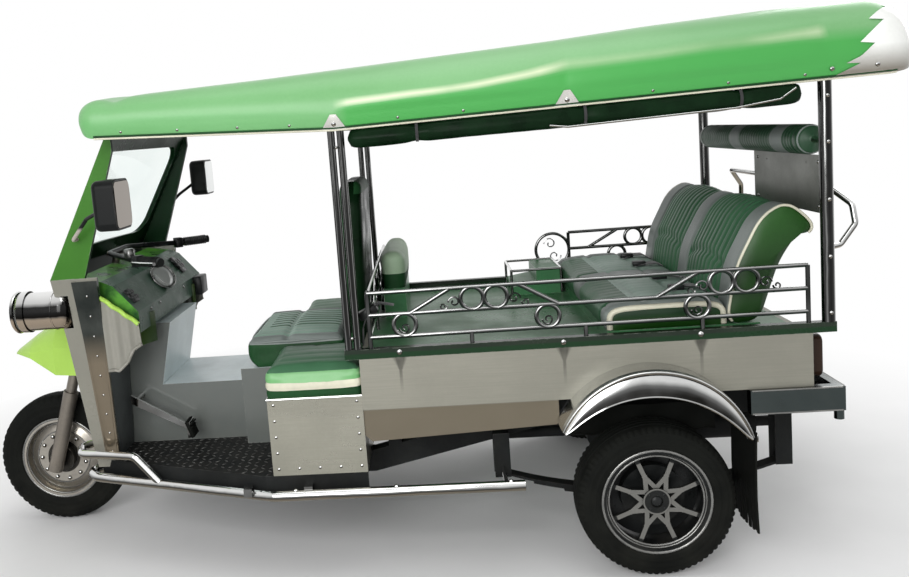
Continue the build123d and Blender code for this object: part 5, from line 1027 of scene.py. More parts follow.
def roof_puff(x):
    """Swell of the canopy's side at a place along it, sewn down at the seams."""
    edges = (0.900, *ROOF_SEAMS, -1.760)
    for index, (front, rear) in enumerate(zip(edges, edges[1:])):
        if rear <= x <= front:
            share = (front - x) / (front - rear)
            return (0.25, 1.0, 1.0, 0.3)[index] * SIZES.puff * math.sqrt(math.sin(math.pi * share))
    return 0.0


def roof_section(x, wall=0.0):
    """Section across the canopy, from its left edge over the crown to its right edge."""
    tuck = roof_tuck(x)
    edge = along(x, ROOF_EDGE)
    front = x > 0
    draw = (0.050 if front else 0.100) * tuck
    half = ROOF_HALF - draw - wall
    crown = along(x, ROOF_CROWN) - (0.055 if front else 0.110) * tuck - wall
    crown -= 0.014 * math.exp(-(((x - 0.885) / 0.032) ** 2))
    low = edge + (0.050 if front else 0.030) * tuck + (0.004 if wall else 0.0)
    skirt = ROOF_SKIRT * (1 - 0.8 * tuck)
    rise = ROOF_RISE * (1 - 0.6 * tuck)
    radius = max(0.02, crown - (low - edge) - skirt - rise)
    turn, flat = low + skirt, half - radius
    puff = 0.0 if wall else roof_puff(x)
    points = []
    for step in range(6):
        share = step / 6
        points.append((half - 0.016 * (1 - share) ** 2, low + skirt * share))
    for step in range(15):
        angle = math.pi / 2 * step / 14
        reach = radius + puff * math.sin(math.pi * min(1.0, (step + 3) / 14)) - 0.2 * puff
        points.append((flat + reach * math.cos(angle), turn + radius * math.sin(angle)))
    top = turn + radius
    for step in range(1, 11):
        share = 1 - step / 10
        points.append((flat * share, top + rise * (1 - share * share)))
    return points + [(-y, z) for y, z in reversed(points[:-1])]


def roof_stations():
    """Places along the canopy, closer at its rounded ends and its seams."""
    places = [ROOF_FRONT + ROOF_NOSE * math.sin(math.pi / 2 * step / 8) for step in range(8, 0, -1)]
    places += [ROOF_FRONT - 0.012 * step for step in range(int((ROOF_FRONT - ROOF_REAR) / 0.012) + 1)]
    places += [ROOF_REAR - ROOF_TAIL * math.sin(math.pi / 2 * step / 12) for step in range(1, 13)]
    return places


def roof_outer(x, place, lift):
    """Point of a station's section, lifted off the canopy; the place counts along the section."""
    section = roof_section(x)
    index = int(place)
    share, ahead = place - index, section[min(len(section) - 1, index + 1)]
    spot = Vector((x, *section[index])).lerp(Vector((x, *ahead)), share)
    before, after = section[max(0, index - 1)], section[min(len(section) - 1, index + 1)]
    run = Vector((0, after[0] - before[0], after[1] - before[1])).normalized()
    return spot + Vector((0, run.z, -run.y)) * lift


def build_canopy():
    """Padded canopy with its lining, edge bead, seam plates and bright rear corners."""
    places = roof_stations()
    rows = [[(x, *point) for point in roof_section(x)] for x in places]
    columns = len(rows[0])
    for end, x in ((0, places[0]), (-1, places[-1])):
        last = rows[end]
        middle = sum(point[2] for point in last) / columns
        closing = []
        for share in (0.75, 0.45, 0.15):
            closing.append([(x, y * (0.6 + 0.4 * share), middle + (z - middle) * share) for _, y, z in last])
        rows = closing[::-1] + rows if end == 0 else rows + closing
    outer = Shapes()
    outer.take([point for row in rows for point in row], grid_faces(len(rows), columns))
    outer.make("canopy", ["canopy"], slot="canopy_vinyl", replaces=["roof_canopy"], padded=0.9)

    inner = [x for x in places[::2] if ROOF_REAR - 0.05 < x < ROOF_FRONT + 0.02]
    lining = Shapes()
    lining_rows = [[(x, *point) for point in roof_section(x, 0.022)] for x in inner]
    for end in (0, -1):
        x = inner[end]
        low = min(point[2] for point in lining_rows[end])
        closing = [(x, y, low) for _, y, _ in lining_rows[end]]
        lining_rows = [closing] + lining_rows if end == 0 else lining_rows + [closing]
    faces = grid_faces(len(lining_rows), len(lining_rows[0]))
    lining.take([point for row in lining_rows for point in row], faces)
    hem_rows = [x for x in places if ROOF_REAR - 0.03 < x < ROOF_FRONT + 0.01]
    for side in (1, -1):
        strip = []
        for x in hem_rows:
            y, z = roof_section(x)[0]
            strip += [(x, side * y, z + 0.001), (x, side * (y - 0.030), z + 0.003)]
        lining.take(strip, grid_faces(len(hem_rows), 2))
    lining.make("canopy_lining", ["canopy_lining"], slot="canopy_vinyl")

    trim = Shapes()
    for side in (1, -1):
        run = [x for x in places if ROOF_REAR - 0.06 < x < 0.962]
        for row, out, drop, thick, sides in ((0, 0.001, 0.001, 0.0038, 8), (1, 0.0, 0.004, 0.0036, 6)):
            line = [(x, *roof_section(x)[row]) for x in run]
            trim.tube([(x, side * (y + out), z - drop) for x, y, z in line], thick, sides, band=row)
        for x in (0.86, 0.66, 0.45, 0.27, -0.10, -0.32, -0.94, -1.18, -1.42):
            y, z = roof_section(x)[1]
            trim.dome((x, side * (y + 0.002), z + 0.010), (0, side, 0), 0.006, 0.004, band=2)
    trim.make("canopy_edge_bead", ["cream", "dark_vinyl", "chrome"], slot="stainless")

    plates = Shapes()
    for side in (1, -1):
        for x in ROOF_SEAMS[:2]:
            rows = []
            for rise in range(6):
                half = 0.044 * (1 - rise / 6.5)
                for step in range(5):
                    point = roof_outer(x + half * (step / 2 - 1), rise, 0.0035)
                    rows.append((point.x, side * point.y, point.z))
            plates.take(rows, grid_faces(6, 5))
            point = roof_outer(x, 2, 0.004)
            plates.dome((x, side * point.y, point.z), (0, side, 0), 0.009, 0.006, band=1)
        cap = []
        rows, last, teeth = 12, 57, 4.0
        for index in range(last):
            rise = index / (last - 1)
            tooth = 1 - ((rise * (teeth + 0.6)) % 1.0)
            start = -1.545 - 0.205 * rise + 0.052 * tooth * smooth((1 - rise) * 4)
            for step in range(rows):
                x = start + (ROOF_REAR - ROOF_TAIL * 0.998 - start) * math.sin(math.pi / 2 * step / (rows - 1))
                point = roof_outer(x, 18 * rise, 0.004)
                cap.append((point.x, side * point.y, point.z))
        for x in (-1.500, -1.640):
            point = roof_outer(x, 3, 0.005)
            plates.dome((x, side * point.y, point.z), (0, side, 0), 0.008, 0.005, band=1)
        plates.take(cap, grid_faces(last, rows), band=2)
    plates.make("canopy_plates", ["seam_plate", "chrome", "corner_steel"], slot="stainless", sharp=30.0)


class RICKSHAW_OT_canopy(bpy.types.Operator):
    """Builds the padded canopy with its lining, edge bead, seam plates and bright rear corners"""

    bl_idname = "rickshaw.canopy"
    bl_label = "Canopy"

    def execute(self, context):
        build_canopy()
        return {"FINISHED"}


CURTAIN_Y, CURTAIN_RADIUS, CURTAIN_DROP = 0.6517, 0.038, 0.034
CURTAIN_TIES = (-0.16, -0.72, -1.22)


def build_curtains():
    """Rolled side curtains with their straps."""
    low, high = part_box("curtain_rolls")
    start, end = high.x + 0.028, low.x
    sides, count = 28, 150
    for side, name in ((1, "curtain_left"), (-1, "curtain_right")):
        points = []
        for row in range(count):
            share = row / (count - 1)
            x = start + (end - start) * share
            middle = along(x, ROOF_EDGE) - CURTAIN_DROP
            closing = min(1.0, math.sqrt(max(0.0, 1 - (abs(2 * share - 1) ** 60))))
            for step in range(sides):
                turn = 2 * math.pi * step / sides
                fold = noise.noise(Vector((x * 3.0, 2.4 * math.cos(turn), 2.4 * math.sin(turn) + side * 9)))
                crease = noise.noise(Vector((x * 14.0, turn * 1.2, side * 5.0)))
                reach = CURTAIN_RADIUS * (0.88 + 0.05 * fold + 0.03 * crease) * (0.15 + 0.85 * closing)
                tied = min(abs(x - place) for place in CURTAIN_TIES)
                reach -= 0.006 * math.exp(-((tied / 0.030) ** 2))
                reach += 0.004 * smooth(((turn / (2 * math.pi) + 0.10 * fold) % 1.0) * 3 - 1.6)
                points.append((x, side * CURTAIN_Y + reach * math.cos(turn), middle + reach * math.sin(turn)))
        roll = Shapes()
        roll.take(points, grid_faces(count, sides, False, True))
        for cap in (points[:sides], points[-sides:]):
            roll.take(cap, [tuple(range(sides))])
        hidden = ["curtain_rolls"] if side == 1 else []
        roll.make(name, ["shaded_green_vinyl"], slot="dark_vinyl", replaces=hidden, padded=0.5, sharp=75.0)
    straps = Shapes()
    for side in (1, -1):
        for x in CURTAIN_TIES:
            middle = along(x, ROOF_EDGE) - CURTAIN_DROP
            rows = []
            for dx in (-0.005, 0.005):
                rows += ring((x + dx, side * CURTAIN_Y, middle), 0.0345, 24, (0, 1, 0))
            straps.take(rows, grid_faces(2, 24, False, True))
        rod = [(-0.60, 1.565), (-0.66, 1.556), (-1.20, 1.573), (-1.34, 1.590), (-1.39, 1.622)]
        straps.tube([(x, side * (CURTAIN_Y + 0.034), z) for x, z in rod], 0.0035, 8, band=1)
    straps.make("curtain_straps", ["belt", "chrome"], slot="dark_vinyl")


class RICKSHAW_OT_curtains(bpy.types.Operator):
    """Builds the rolled side curtains with their straps"""

    bl_idname = "rickshaw.curtains"
    bl_label = "Rolled curtains"

    def execute(self, context):
        build_curtains()
        return {"FINISHED"}


# Seats


def cord(path, radius, name, finish, **rest):
    """Round cord sewn along a path."""
    cords = Shapes()
    for line in path:
        cords.tube(line, radius, 8)
    return cords.make(name, [finish], **rest)


def settle(item, low, high, limit):
    """Lets a cushion swell as cloth under a small pressure, and keeps each point within the limit."""
    before = [vertex.co.copy() for vertex in item.data.vertices]
    group = item.vertex_groups.new(name="held")
    held = [v.index for v in item.data.vertices if v.co.z < low + 0.02 * (high - low)]
    group.add(held, 1.0, "REPLACE")
    cloth = item.modifiers.new("cloth", "CLOTH")
    cloth.settings.quality = 4
    cloth.settings.mass = 0.4
    cloth.settings.tension_stiffness = 25
    cloth.settings.compression_stiffness = 25
    cloth.settings.bending_stiffness = 2.0
    cloth.settings.use_pressure = True
    cloth.settings.uniform_pressure_force = 4.0
    cloth.settings.vertex_group_mass = "held"
    cloth.settings.effector_weights.gravity = 0.0
    cloth.point_cache.frame_start, cloth.point_cache.frame_end = 1, 16
    scene = bpy.context.scene
    for tick in range(1, 17):
        scene.frame_set(tick)
    shaped = item.evaluated_get(bpy.context.evaluated_depsgraph_get()).to_mesh()
    after = [vertex.co.copy() for vertex in shaped.vertices]
    item.modifiers.remove(cloth)
    scene.frame_set(1)
    for vertex, old, new in zip(item.data.vertices, before, after):
        move = new - old
        if move.length > limit:
            move *= limit / move.length
        vertex.co = old + move
    item.data.update()


CUSHION_PLEAT = 0.045
DRIVER_SEAM_X, DRIVER_SEAM_Y = 0.420, 0.232


def build_driver_seat():
    """Driver's cushion, backrest and side pads with their piping."""
    low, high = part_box("driver_cushion")
    top = high.z

    def cushion(place, normal, u, v, w):
        crown = 0.012 * (1 - u * u) * (1 - v * v)
        place.z += max(0.0, w) * crown
        if normal.z > 0.7 and w > 0.9:
            rim = smooth((0.98 - abs(v)) * 8) * smooth((0.98 - abs(u)) * 8)
            place.z -= rim * groove(place.y, CUSHION_PLEAT, SIZES.pleat_depth)
            place.z -= seam(place.x, DRIVER_SEAM_X, 0.011, 0.014)
            place.z -= seam(abs(place.y), DRIVER_SEAM_Y, 0.008, 0.006)
        if abs(w) < 0.85 and (abs(u) > 0.98 or abs(v) > 0.98):
            bulge = 0.004 * (1 - w * w)
            place.x += normal.x * bulge
            place.y += normal.y * bulge
        if w < 0:
            place.x -= 0.030 * w * w * max(0.0, u) ** 3
        return place

    def cushion_band(centre):
        if centre.z < top - 0.020:
            return 0
        if abs(centre.y) > DRIVER_SEAM_Y or centre.x < low.x + 0.03:
            return 2
        # Thin dark lines along the pleat grooves: painted shade in the creases.
        sewn = abs(centre.y / CUSHION_PLEAT - round(centre.y / CUSHION_PLEAT)) * CUSHION_PLEAT
        plain = abs(centre.x - DRIVER_SEAM_X) < 0.012 or centre.x > high.x - 0.06
        return 3 if sewn < 0.0045 and not plain else 1

    finishes = ["dark_vinyl", "seat_top", "grey_vinyl", "seat_vinyl"]
    seat = pad("driver_cushion_pad", low, high, 0.028, finishes, cushion, cushion_band, step=0.009,
               slot="dark_vinyl", replaces=["driver_cushion"], padded=0.6)
    settle(seat, low.z, high.z, 0.006)

    low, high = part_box("driver_backrest")

    def back(place, normal, u, v, w):
        height = (place.z - low.z) / (high.z - low.z)
        rear = along(height, ((0.0, 0.100), (1.0, 0.078)))
        place.x = rear + 0.088 * (place.x - low.x) / (high.x - low.x)
        narrow = 0.020 * smooth((height - 0.80) * 5) ** 2
        place.y *= 1 - narrow / 0.255 * 2
        middle = math.sin(math.pi * min(1.0, max(0.0, height)))
        if u > 0.9:
            pleats = groove(place.y, SIZES.pleat, SIZES.pleat_depth * 0.6) * smooth((0.80 - abs(v)) * 9)
            place.x += 0.010 * (1 - v * v) * middle - pleats
            place.x -= seam(place.z, low.z + 0.40, 0.008, 0.008)
        if abs(v) > 0.98:
            place.y += math.copysign(0.006, v) * (1 - u * u) * middle
        return place

    def back_band(centre):
        top = centre.z > high.z - 0.050 and centre.x < 0.110
        return 1 if top or (centre.x > 0.160 and abs(centre.y) > 0.205) else 0

    pad("driver_backrest_pad", low, high, 0.034, ["shaded_green_vinyl", "dark_vinyl"], back, back_band,
        step=0.012, slot="dark_vinyl", replaces=["driver_backrest"], padded=0.6)

    low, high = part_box("driver_cushion")
    level, steps = high.z - 0.010, range(21)
    rim = []
    for side in (1, -1):
        rim.append([(low.x + 0.02 + (high.x - low.x - 0.05) * s / 20, side * (high.y - 0.006),
                     level + 0.001 * math.sin(s)) for s in steps])
    shares = [step / 10 - 1 for step in steps]
    rim.append([(high.x - 0.006 - 0.020 * share ** 4, high.y * 0.93 * share, level) for share in shares])
    cord(rim, SIZES.piping * 0.75, "driver_cushion_piping", "grey_vinyl", slot="dark_vinyl")

    low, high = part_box("side_box_pads")
    for side, name in ((1, "left"), (-1, "right")):
        near, far = 0.305, high.y
        lows = (low.x, near if side > 0 else -far, low.z)
        highs = (high.x, far if side > 0 else -near, high.z)

        def box_pad(place, normal, u, v, w):
            place.z += max(0.0, w) * 0.008 * (1 - u * u) * (1 - v * v)
            if w > 0.9 and normal.z > 0.7:
                pleats = groove(place.y, SIZES.pleat * 2, SIZES.pleat_depth * 0.4)
                place.z -= pleats * smooth((0.9 - abs(u)) * 5)
            push = -seam(w, -0.46, 0.004, 0.05) - seam(w, 0.06, 0.004, 0.05) - seam(w, 0.72, 0.003, 0.05)
            if abs(v) > 0.98 or abs(u) > 0.98:
                push += 0.004 * (1 - w * w)
            return place + Vector((normal.x, normal.y, 0.0)) * push

        def box_band(centre):
            share = (centre.z - low.z) / (high.z - low.z)
            return 0 if share < 0.27 else 2 if share < 0.53 else 1 if share < 0.86 else 3

        finishes = ["dark_vinyl", "canopy", "cream", "seat_vinyl"]
        item = pad("side_pad_" + name, lows, highs, 0.026, finishes, box_pad, box_band, slot="box_vinyl",
                   replaces=["side_box_pads"] if side > 0 else [], padded=0.6)
        settle(item, low.z, high.z, 0.005)

    rivets = Shapes()
    low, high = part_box("side_boxes")
    for side in (1, -1):
        y = side * high.y
        for share in range(5):
            z = low.z + 0.024 + (high.z - low.z - 0.048) * share / 4
            for x in (low.x + 0.020, high.x - 0.022):
                rivets.dome((x, y, z), (0, side, 0), SIZES.rivet * 1.2, SIZES.rivet * 0.7)
            spot = (high.x, side * (0.335 + 0.30 * share / 4), high.z - 0.020)
            rivets.dome(spot, (1, 0, 0), SIZES.rivet, SIZES.rivet * 0.6)
        for share in range(1, 4):
            x = low.x + 0.020 + (high.x - low.x - 0.042) * share / 4
            rivets.dome((x, y, low.z + 0.024), (0, side, 0), SIZES.rivet * 1.2, SIZES.rivet * 0.7)
        level = high.z - 0.004
        rivets.tube([(low.x, y, level), (high.x, y, level), (high.x, side * 0.310, level)], 0.004, 6)
    rivets.make("side_box_rivets", ["chrome"], slot="stainless")


class RICKSHAW_OT_driver_seat(bpy.types.Operator):
    """Builds the driver's pleated cushion, its backrest and the padded tops of the side boxes"""

    bl_idname = "rickshaw.driver_seat"
    bl_label = "Driver's seat"

    def execute(self, context):
        build_driver_seat()
        return {"FINISHED"}


def profile_pad(name, outline, half, finishes, shape, band, step=0.012, ends=0.022, **rest):
    """Padded piece with one outline in X and Z carried across in Y, with puffed rounded ends."""
    count = round(2 * half / step)
    centre = Vector((sum(x for x, _ in outline) / len(outline), sum(z for _, z in outline) / len(outline)))
    columns = len(outline)
    lines = [-half + 2 * half * row / count for row in range(count + 1)]
    rows = []
    for y in lines:
        inset = half - abs(y)
        draw = ends * (1 - math.sqrt(max(0.0, 1 - (1 - min(1.0, inset / ends)) ** 2)))
        row = []
        for index, (x, z) in enumerate(outline):
            before, after = Vector(outline[index - 1]), Vector(outline[(index + 1) % columns])
            run = (after - before).normalized()
            normal = Vector((run.y, -run.x))
            lift = shape(x, y, z) - draw
            row.append(Vector((x + normal.x * lift, y, z + normal.y * lift)))
        rows.append(row)
    form = Shapes()
    points = [point for row in rows for point in row]
    faces = grid_faces(len(rows), columns, False, True)
    for end, y in ((0, -half), (len(rows) - 1, half)):
        base = rows[end]
        start = len(points)
        puffed = 0.010 * (1 if y > 0 else -1)
        for share, push in ((0.80, 0.55), (0.45, 0.9)):
            for point in base:
                pull = Vector((centre.x, y, centre.y))
                place = pull + (point - pull) * share
                points.append(Vector((place.x, y + puffed * push, place.z)))
        points.append(Vector((centre.x, y + puffed, centre.y)))
        for column in range(columns):
            beside = (column + 1) % columns
            faces.append((end * columns + column, end * columns + beside, start + beside, start + column))
            faces.append((start + column, start + beside, start + columns + beside, start + columns + column))
            faces.append((start + columns + column, start + columns + beside, start + 2 * columns))
    form.take(points, faces)
    form.bands = [band(sum((points[i] for i in face), Vector()) / len(face)) for face in faces]
    return form.make(name, finishes, sharp=80.0, **rest)


def round_outline(corners, step, radius=0.02):
    """Closed outline through corners, with the corners rounded and even spacing."""
    corners = [Vector(corner) for corner in corners]
    line = []
    for index, corner in enumerate(corners):
        before, after = corners[index - 1], corners[(index + 1) % len(corners)]
        back = min(radius, (before - corner).length * 0.45)
        ahead = min(radius, (after - corner).length * 0.45)
        start = corner + (before - corner).normalized() * back
        end = corner + (after - corner).normalized() * ahead
        for part in range(6):
            s = part / 5
            line.append((1 - s) ** 2 * start + 2 * s * (1 - s) * corner + s * s * end)
    lengths = [0.0]
    for one, two in zip(line, line[1:] + line[:1]):
        lengths.append(lengths[-1] + (two - one).length)
    total = lengths[-1]
    count = round(total / step)
    outline = []
    index = 0
    for place in range(count):
        reach = total * place / count
        while lengths[index + 1] < reach:
            index += 1
        one, two = line[index], line[(index + 1) % len(line)]
        share = (reach - lengths[index]) / max(1e-9, lengths[index + 1] - lengths[index])
        outline.append(tuple(one + (two - one) * share))
    return outline


BENCH_BACK = (
    (0.000, 0.000), (-0.036, 0.193), (-0.125, 0.366), (-0.211, 0.412), (-0.296, 0.332), (-0.284, 0.296),
    (-0.244, 0.296), (-0.182, 0.206), (-0.112, 0.000),
)
BENCH_HALF = 0.596
BACK_PANEL, CUSHION_PANEL = (0.058, 0.472), (0.075, 0.520)


def build_bench():
    """Bench, bolster and jump seat pads with their piping and belts."""
    low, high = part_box("bench_cushion")
    start = low.x

    def front_face(x, z):
        height = z - low.z
        line = along(height, [(rise, start + back) for back, rise in BENCH_BACK[:4]])
        return x > line - 0.040 and height < 0.405

    def panel(y):
        """Place across one seat's pleated panel, or nothing on the plain bands."""
        out = abs(y)
        return out - 0.265 if BACK_PANEL[0] < out < BACK_PANEL[1] else None

    def back_shape(x, y, z):
        if not front_face(x, z):
            return 0.0
        place = panel(y)
        height = z - low.z
        rows = 0.004 * math.sin(math.pi * min(1.0, max(0.0, height / 0.40)))
        if place is None:
            return rows + 0.004 - sum(seam(abs(y), edge, 0.007, 0.006) for edge in BACK_PANEL)
        swell = 0.012 * (1 - (place / 0.207) ** 2)
        lift = rows + swell - groove(place, SIZES.pleat * 1.15, SIZES.pleat_depth * 1.15, 0.22)
        lift -= seam(height, 0.205 - 0.03 * (place / 0.207) ** 2, 0.010, 0.014)
        return max(-0.012, lift)

    def back_band(centre):
        if abs(centre.y) > BENCH_HALF - 0.004:
            return 1
        if front_face(centre.x, centre.z):
            return 0 if panel(centre.y) is not None else 2
        return 0

    outline = round_outline([(start + x, low.z + z) for x, z in BENCH_BACK], 0.011, 0.055)
    profile_pad("bench_back_pad", outline, BENCH_HALF, ["seat_vinyl", "end_vinyl", "grey_vinyl"], back_shape,
                back_band, step=0.0062, ends=0.016, slot="dark_vinyl", replaces=["bench_backrest"], padded=0.6)

    def cushion(place, normal, u, v, w):
        place.z += max(0.0, w) * 0.014 * (1 - u * u)
        out = abs(place.y)
        if w > 0.9 and normal.z > 0.6:
            if CUSHION_PANEL[0] < out < CUSHION_PANEL[1]:
                pleats = groove(out - 0.300, SIZES.pleat * 1.4, SIZES.pleat_depth * 0.35)
                place.z -= pleats * smooth((0.95 - abs(u)) * 6)
            place.z -= sum(seam(out, edge, 0.008, 0.007) for edge in CUSHION_PANEL)
            place.z -= sum(seam(place.x, start + row, 0.009, 0.008) for row in (0.13, 0.27))
        if u > 0.9 and normal.x > 0.6:
            place.x += 0.010 * (1 - w * w)
            place.x -= sum(seam(out, edge, 0.006, 0.007) for edge in CUSHION_PANEL)
        if abs(v) > 0.98:
            place.y += math.copysign(0.008, v) * (1 - w * w) * (1 - u * u)
        return place

    def cushion_band(centre):
        out = abs(centre.y)
        if out > BENCH_HALF - 0.004:
            return 1
        if not CUSHION_PANEL[0] <= out <= CUSHION_PANEL[1]:
            return 2
        return 3 if centre.z > high.z - 0.006 and centre.x < start + 0.31 else 0

    finishes = ["seat_vinyl", "cushion_end", "grey_vinyl", "seat_top"]
    pad("bench_cushion_pad", low, high, 0.030, finishes, cushion, cushion_band, step=0.011, slot="dark_vinyl",
        replaces=["bench_cushion"], padded=0.6)

    cords, backs = [], []
    for y in (BENCH_HALF - 0.004, -BENCH_HALF + 0.004):
        rear = min(range(len(outline)), key=lambda index: outline[index][0])
        backs.append([(x, y, z) for x, z in outline[3:rear + 3]])
        arch = []
        for step in range(31):
            across, up = squared(math.pi * step / 30)
            arch.append(((low.x + high.x) / 2 + ((high.x - low.x) / 2 - 0.010) * across, y,
                         low.z + 0.004 + (high.z - low.z - 0.012) * abs(up)))
        cords.append(arch)
    cord(cords, SIZES.piping * 1.8, "cushion_piping", "cream", slot="pale_vinyl")
    cord(backs, SIZES.piping * 0.8, "back_piping", "cream", slot="pale_vinyl")

    belts = Shapes()
    for y in (-0.42, -0.18, 0.16, 0.40):
        rows = []
        for index, (reach, z) in enumerate(((0.012, 0.918), (0.045, 0.938), (0.085, 0.940), (0.125, 0.934))):
            middle = y + 0.020 * math.sin(index * 1.3 + y * 7)
            for way, lift in ((-1, 0.003), (1, 0.0), (1, -0.003), (-1, -0.001)):
                rows.append((start + reach, middle + way * SIZES.belt / 2, z + lift))
        belts.strap(rows)
        belts.block((start + 0.118, y + 0.01, 0.940), (0.052, 0.036, 0.018), band=1)
    belts.make("bench_belts", ["belt", "gloss_black"], slot="dark_vinyl")

    low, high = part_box("head_bolster")
    half = 0.560
    circle = [(point.x, point.z) for point in ring((low + high) / 2, 0.048, 32)]

    def banded(y):
        return abs(y + 0.080) < 0.052 or abs(y - 0.360) < 0.058

    def bolster_shape(x, y, z):
        if banded(y):
            return 0.004
        if abs(y) > 0.500:
            return 0.004 - seam(abs(y), 0.500, 0.005, 0.006)
        return 0.004 - groove(y, SIZES.pleat * 0.7, SIZES.pleat_depth * 0.35)

    def bolster_band(centre):
        if abs(centre.y) > half - 0.004:
            return 0
        return 1 if banded(centre.y) or 0.540 < abs(centre.y) < 0.550 else 0

    profile_pad("head_bolster_pad", circle, half, ["bolster_vinyl", "grey_vinyl"], bolster_shape, bolster_band,
                step=0.006, ends=0.030, slot="dark_vinyl", replaces=["head_bolster"], padded=0.6)

    low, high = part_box("jump_seat_pad")

    def jump(place, normal, u, v, w):
        place.z += max(0.0, w) * 0.010 * (1 - v * v)
        if abs(u) > 0.98:
            pleats = groove(place.y, SIZES.pleat * 1.6, SIZES.pleat_depth * 0.5) * smooth((0.9 - abs(v)) * 6)
            place.x += math.copysign(1.0, u) * (0.006 * (1 - w * w) * (1 - v * v) - pleats)
        return place

    def jump_band(centre):
        return 0 if centre.z > low.z + 0.38 * (high.z - low.z) else 1

    item = pad("jump_seat_cushion", low, high, 0.038, ["pale_vinyl", "dark_vinyl"], jump, jump_band,
               slot="pale_vinyl", replaces=["jump_seat_pad"], padded=0.6)
    settle(item, low.z, high.z, 0.006)


class RICKSHAW_OT_bench(bpy.types.Operator):
    """Builds the bench: pleated cushion and back, end panels with piping, belts, and the head bolster"""

    bl_idname = "rickshaw.bench"
    bl_label = "Bench"

    def execute(self, context):
        build_bench()
        return {"FINISHED"}


# Wheels

WHEELS = (
    ("front", "front_wheel", (1.504, 0.0, 0.282), 0.282, 0.120, 0.176, ["front_tyre"]),
    ("rear_left", "rear_wheel_left", (-0.883, 0.680, 0.267), 0.267, 0.150, 0.180, ["rear_tyre_left"]),
    ("rear_right", "rear_wheel_right", (-0.883, -0.680, 0.267), 0.267, 0.150, 0.180, ["rear_tyre_right"]),
)
SIDEWALL = (0.25, 0.30, 0.33, 0.36, 0.45, 0.55, 0.58, 0.61, 0.70, 0.76, 0.80, 0.83, 0.86, 0.89, 0.92, 0.95)


def build_tyres():
    """Treaded tyres."""
    for name, body, centre, radius, width, seat, nodes in WHEELS:
        half = width / 2
        outer = []
        for share, reach in ((0.00, seat), (0.05, seat + 0.005), (0.14, seat + 0.010), (0.18, seat + 0.016)):
            outer.append((reach, half * (0.80 + share)))
        wall = radius - seat
        for share in SIDEWALL:
            if share < 0.7:
                bulge = half * (0.985 + 0.015 * math.sin(math.pi * share))
            else:
                bulge = half * (1 - 0.30 * ((share - 0.7) / 0.3) ** 2)
            rib = 0.0016 if share in (0.30, 0.33, 0.55, 0.58) else 0.0
            outer.append((seat + wall * share, bulge - 0.0018 + rib))
        tread = []
        for share in (0.80, 0.66, 0.52, 0.48, 0.44, 0.30, 0.20, 0.17, 0.13, 0.0):
            cut = SIZES.tread_depth if share in (0.48, 0.17) else 0.0
            tread.append((radius - 0.0005 - 0.012 * share ** 3 - cut, half * 0.74 * share / 0.80))
        left = outer + tread
        profile = left + [(reach, -offset) for reach, offset in reversed(left[:-1])]
        notch = {index for index in range(len(profile)) if 14 <= min(index, len(profile) - 1 - index) <= 20}
        blocks = 4 if name == "front" else 3
        depth = SIZES.tread_depth * 0.55

        def reach(step, index, r, offset):
            if index in notch and step % blocks == 0:
                return r - depth, offset - math.copysign(depth * 0.4, offset)
            return r, offset

        tyre = Shapes()
        tyre.lathe(centre, profile, 216, reach=reach)
        tyre.make(name + "_tyre_tread", ["rubber"], body=body, slot="tyre", replaces=nodes, sharp=38.0)


class RICKSHAW_OT_tyres(bpy.types.Operator):
    """Builds the tyres with tread blocks, shoulder ribs and moulded sidewall rings"""

    bl_idname = "rickshaw.tyres"
    bl_label = "Tyres"

    def execute(self, context):
        build_tyres()
        return {"FINISHED"}


def build_wheel_trim():
    """Rim rings, bolts and hub caps."""
    for name, body, centre, _, width, seat, _ in WHEELS:
        trim = Shapes()
        half = width / 2
        sides = (1, -1) if name == "front" else ((1,) if centre[1] > 0 else (-1,))
        for side in sides:

            def rim(out, radius, count=48):
                return ring((centre[0], centre[1] + side * out, centre[2]), radius, count)

            rings = [(half * 0.84, seat + 0.002, 0.006, 8), (half * 0.72, seat - 0.012, 0.0035, 8)]
            if name == "front":
                for spot in rim(0.031, 0.100, 11):
                    trim.dome(spot, (0, side, 0), 0.0105, 0.010, 10, band=1)
                rings += [(0.032, 0.117, 0.0028, 6), (0.017, 0.150, 0.0028, 6)]
            else:
                for spot in rim(0.052, 0.034, 8)[1::2]:
                    trim.dome(spot, (0, side, 0), 0.0075, 0.012, 6, band=2)
                rings += [(0.056, 0.025, 0.005, 8), (0.052, 0.160, 0.0045, 8)]
                cap = (centre[0], centre[1] + side * 0.050, centre[2])
                trim.dome(cap, (0, side, 0), 0.023, 0.014, 24, band=2)
                trim.take(rim(-0.040, 0.096) + rim(-0.040, 0.164), grid_faces(2, 48, False, True), band=2)
            for out, radius, thick, faces in rings:
                trim.tube(rim(out, radius), thick, faces, closed=True)
        trim.make(name + "_wheel_trim", ["rim_lip", "chrome", "gloss_black"], body=body, slot="chrome")


class RICKSHAW_OT_wheel_trim(bpy.types.Operator):
    """Adds the rim lips, bolts, nuts and hub caps"""

    bl_idname = "rickshaw.wheel_trim"
    bl_label = "Wheel trim"

    def execute(self, context):
        build_wheel_trim()
        return {"FINISHED"}


# Front

COWL_HALF = ((0.365, 0.412), (0.905, 0.490), (1.140, 0.530))
COWL_REAR = ((0.365, 1.102), (0.905, 1.076), (1.140, 1.066))
COWL_DEPTH = ((0.365, 0.090), (0.905, 0.150), (1.140, 0.180))
CHANNEL = (
    (0.00, -0.004), (0.00, 0.007), (0.05, 0.009), (0.11, 0.003), (0.44, 0.003), (0.50, 0.009), (0.55, 0.007),
    (0.55, -0.004),
)


def cowl_side(z):
    """Half width, rear edge and depth of the cowl's side at a height."""
    return [along(z, table) for table in (COWL_HALF, COWL_REAR, COWL_DEPTH)]


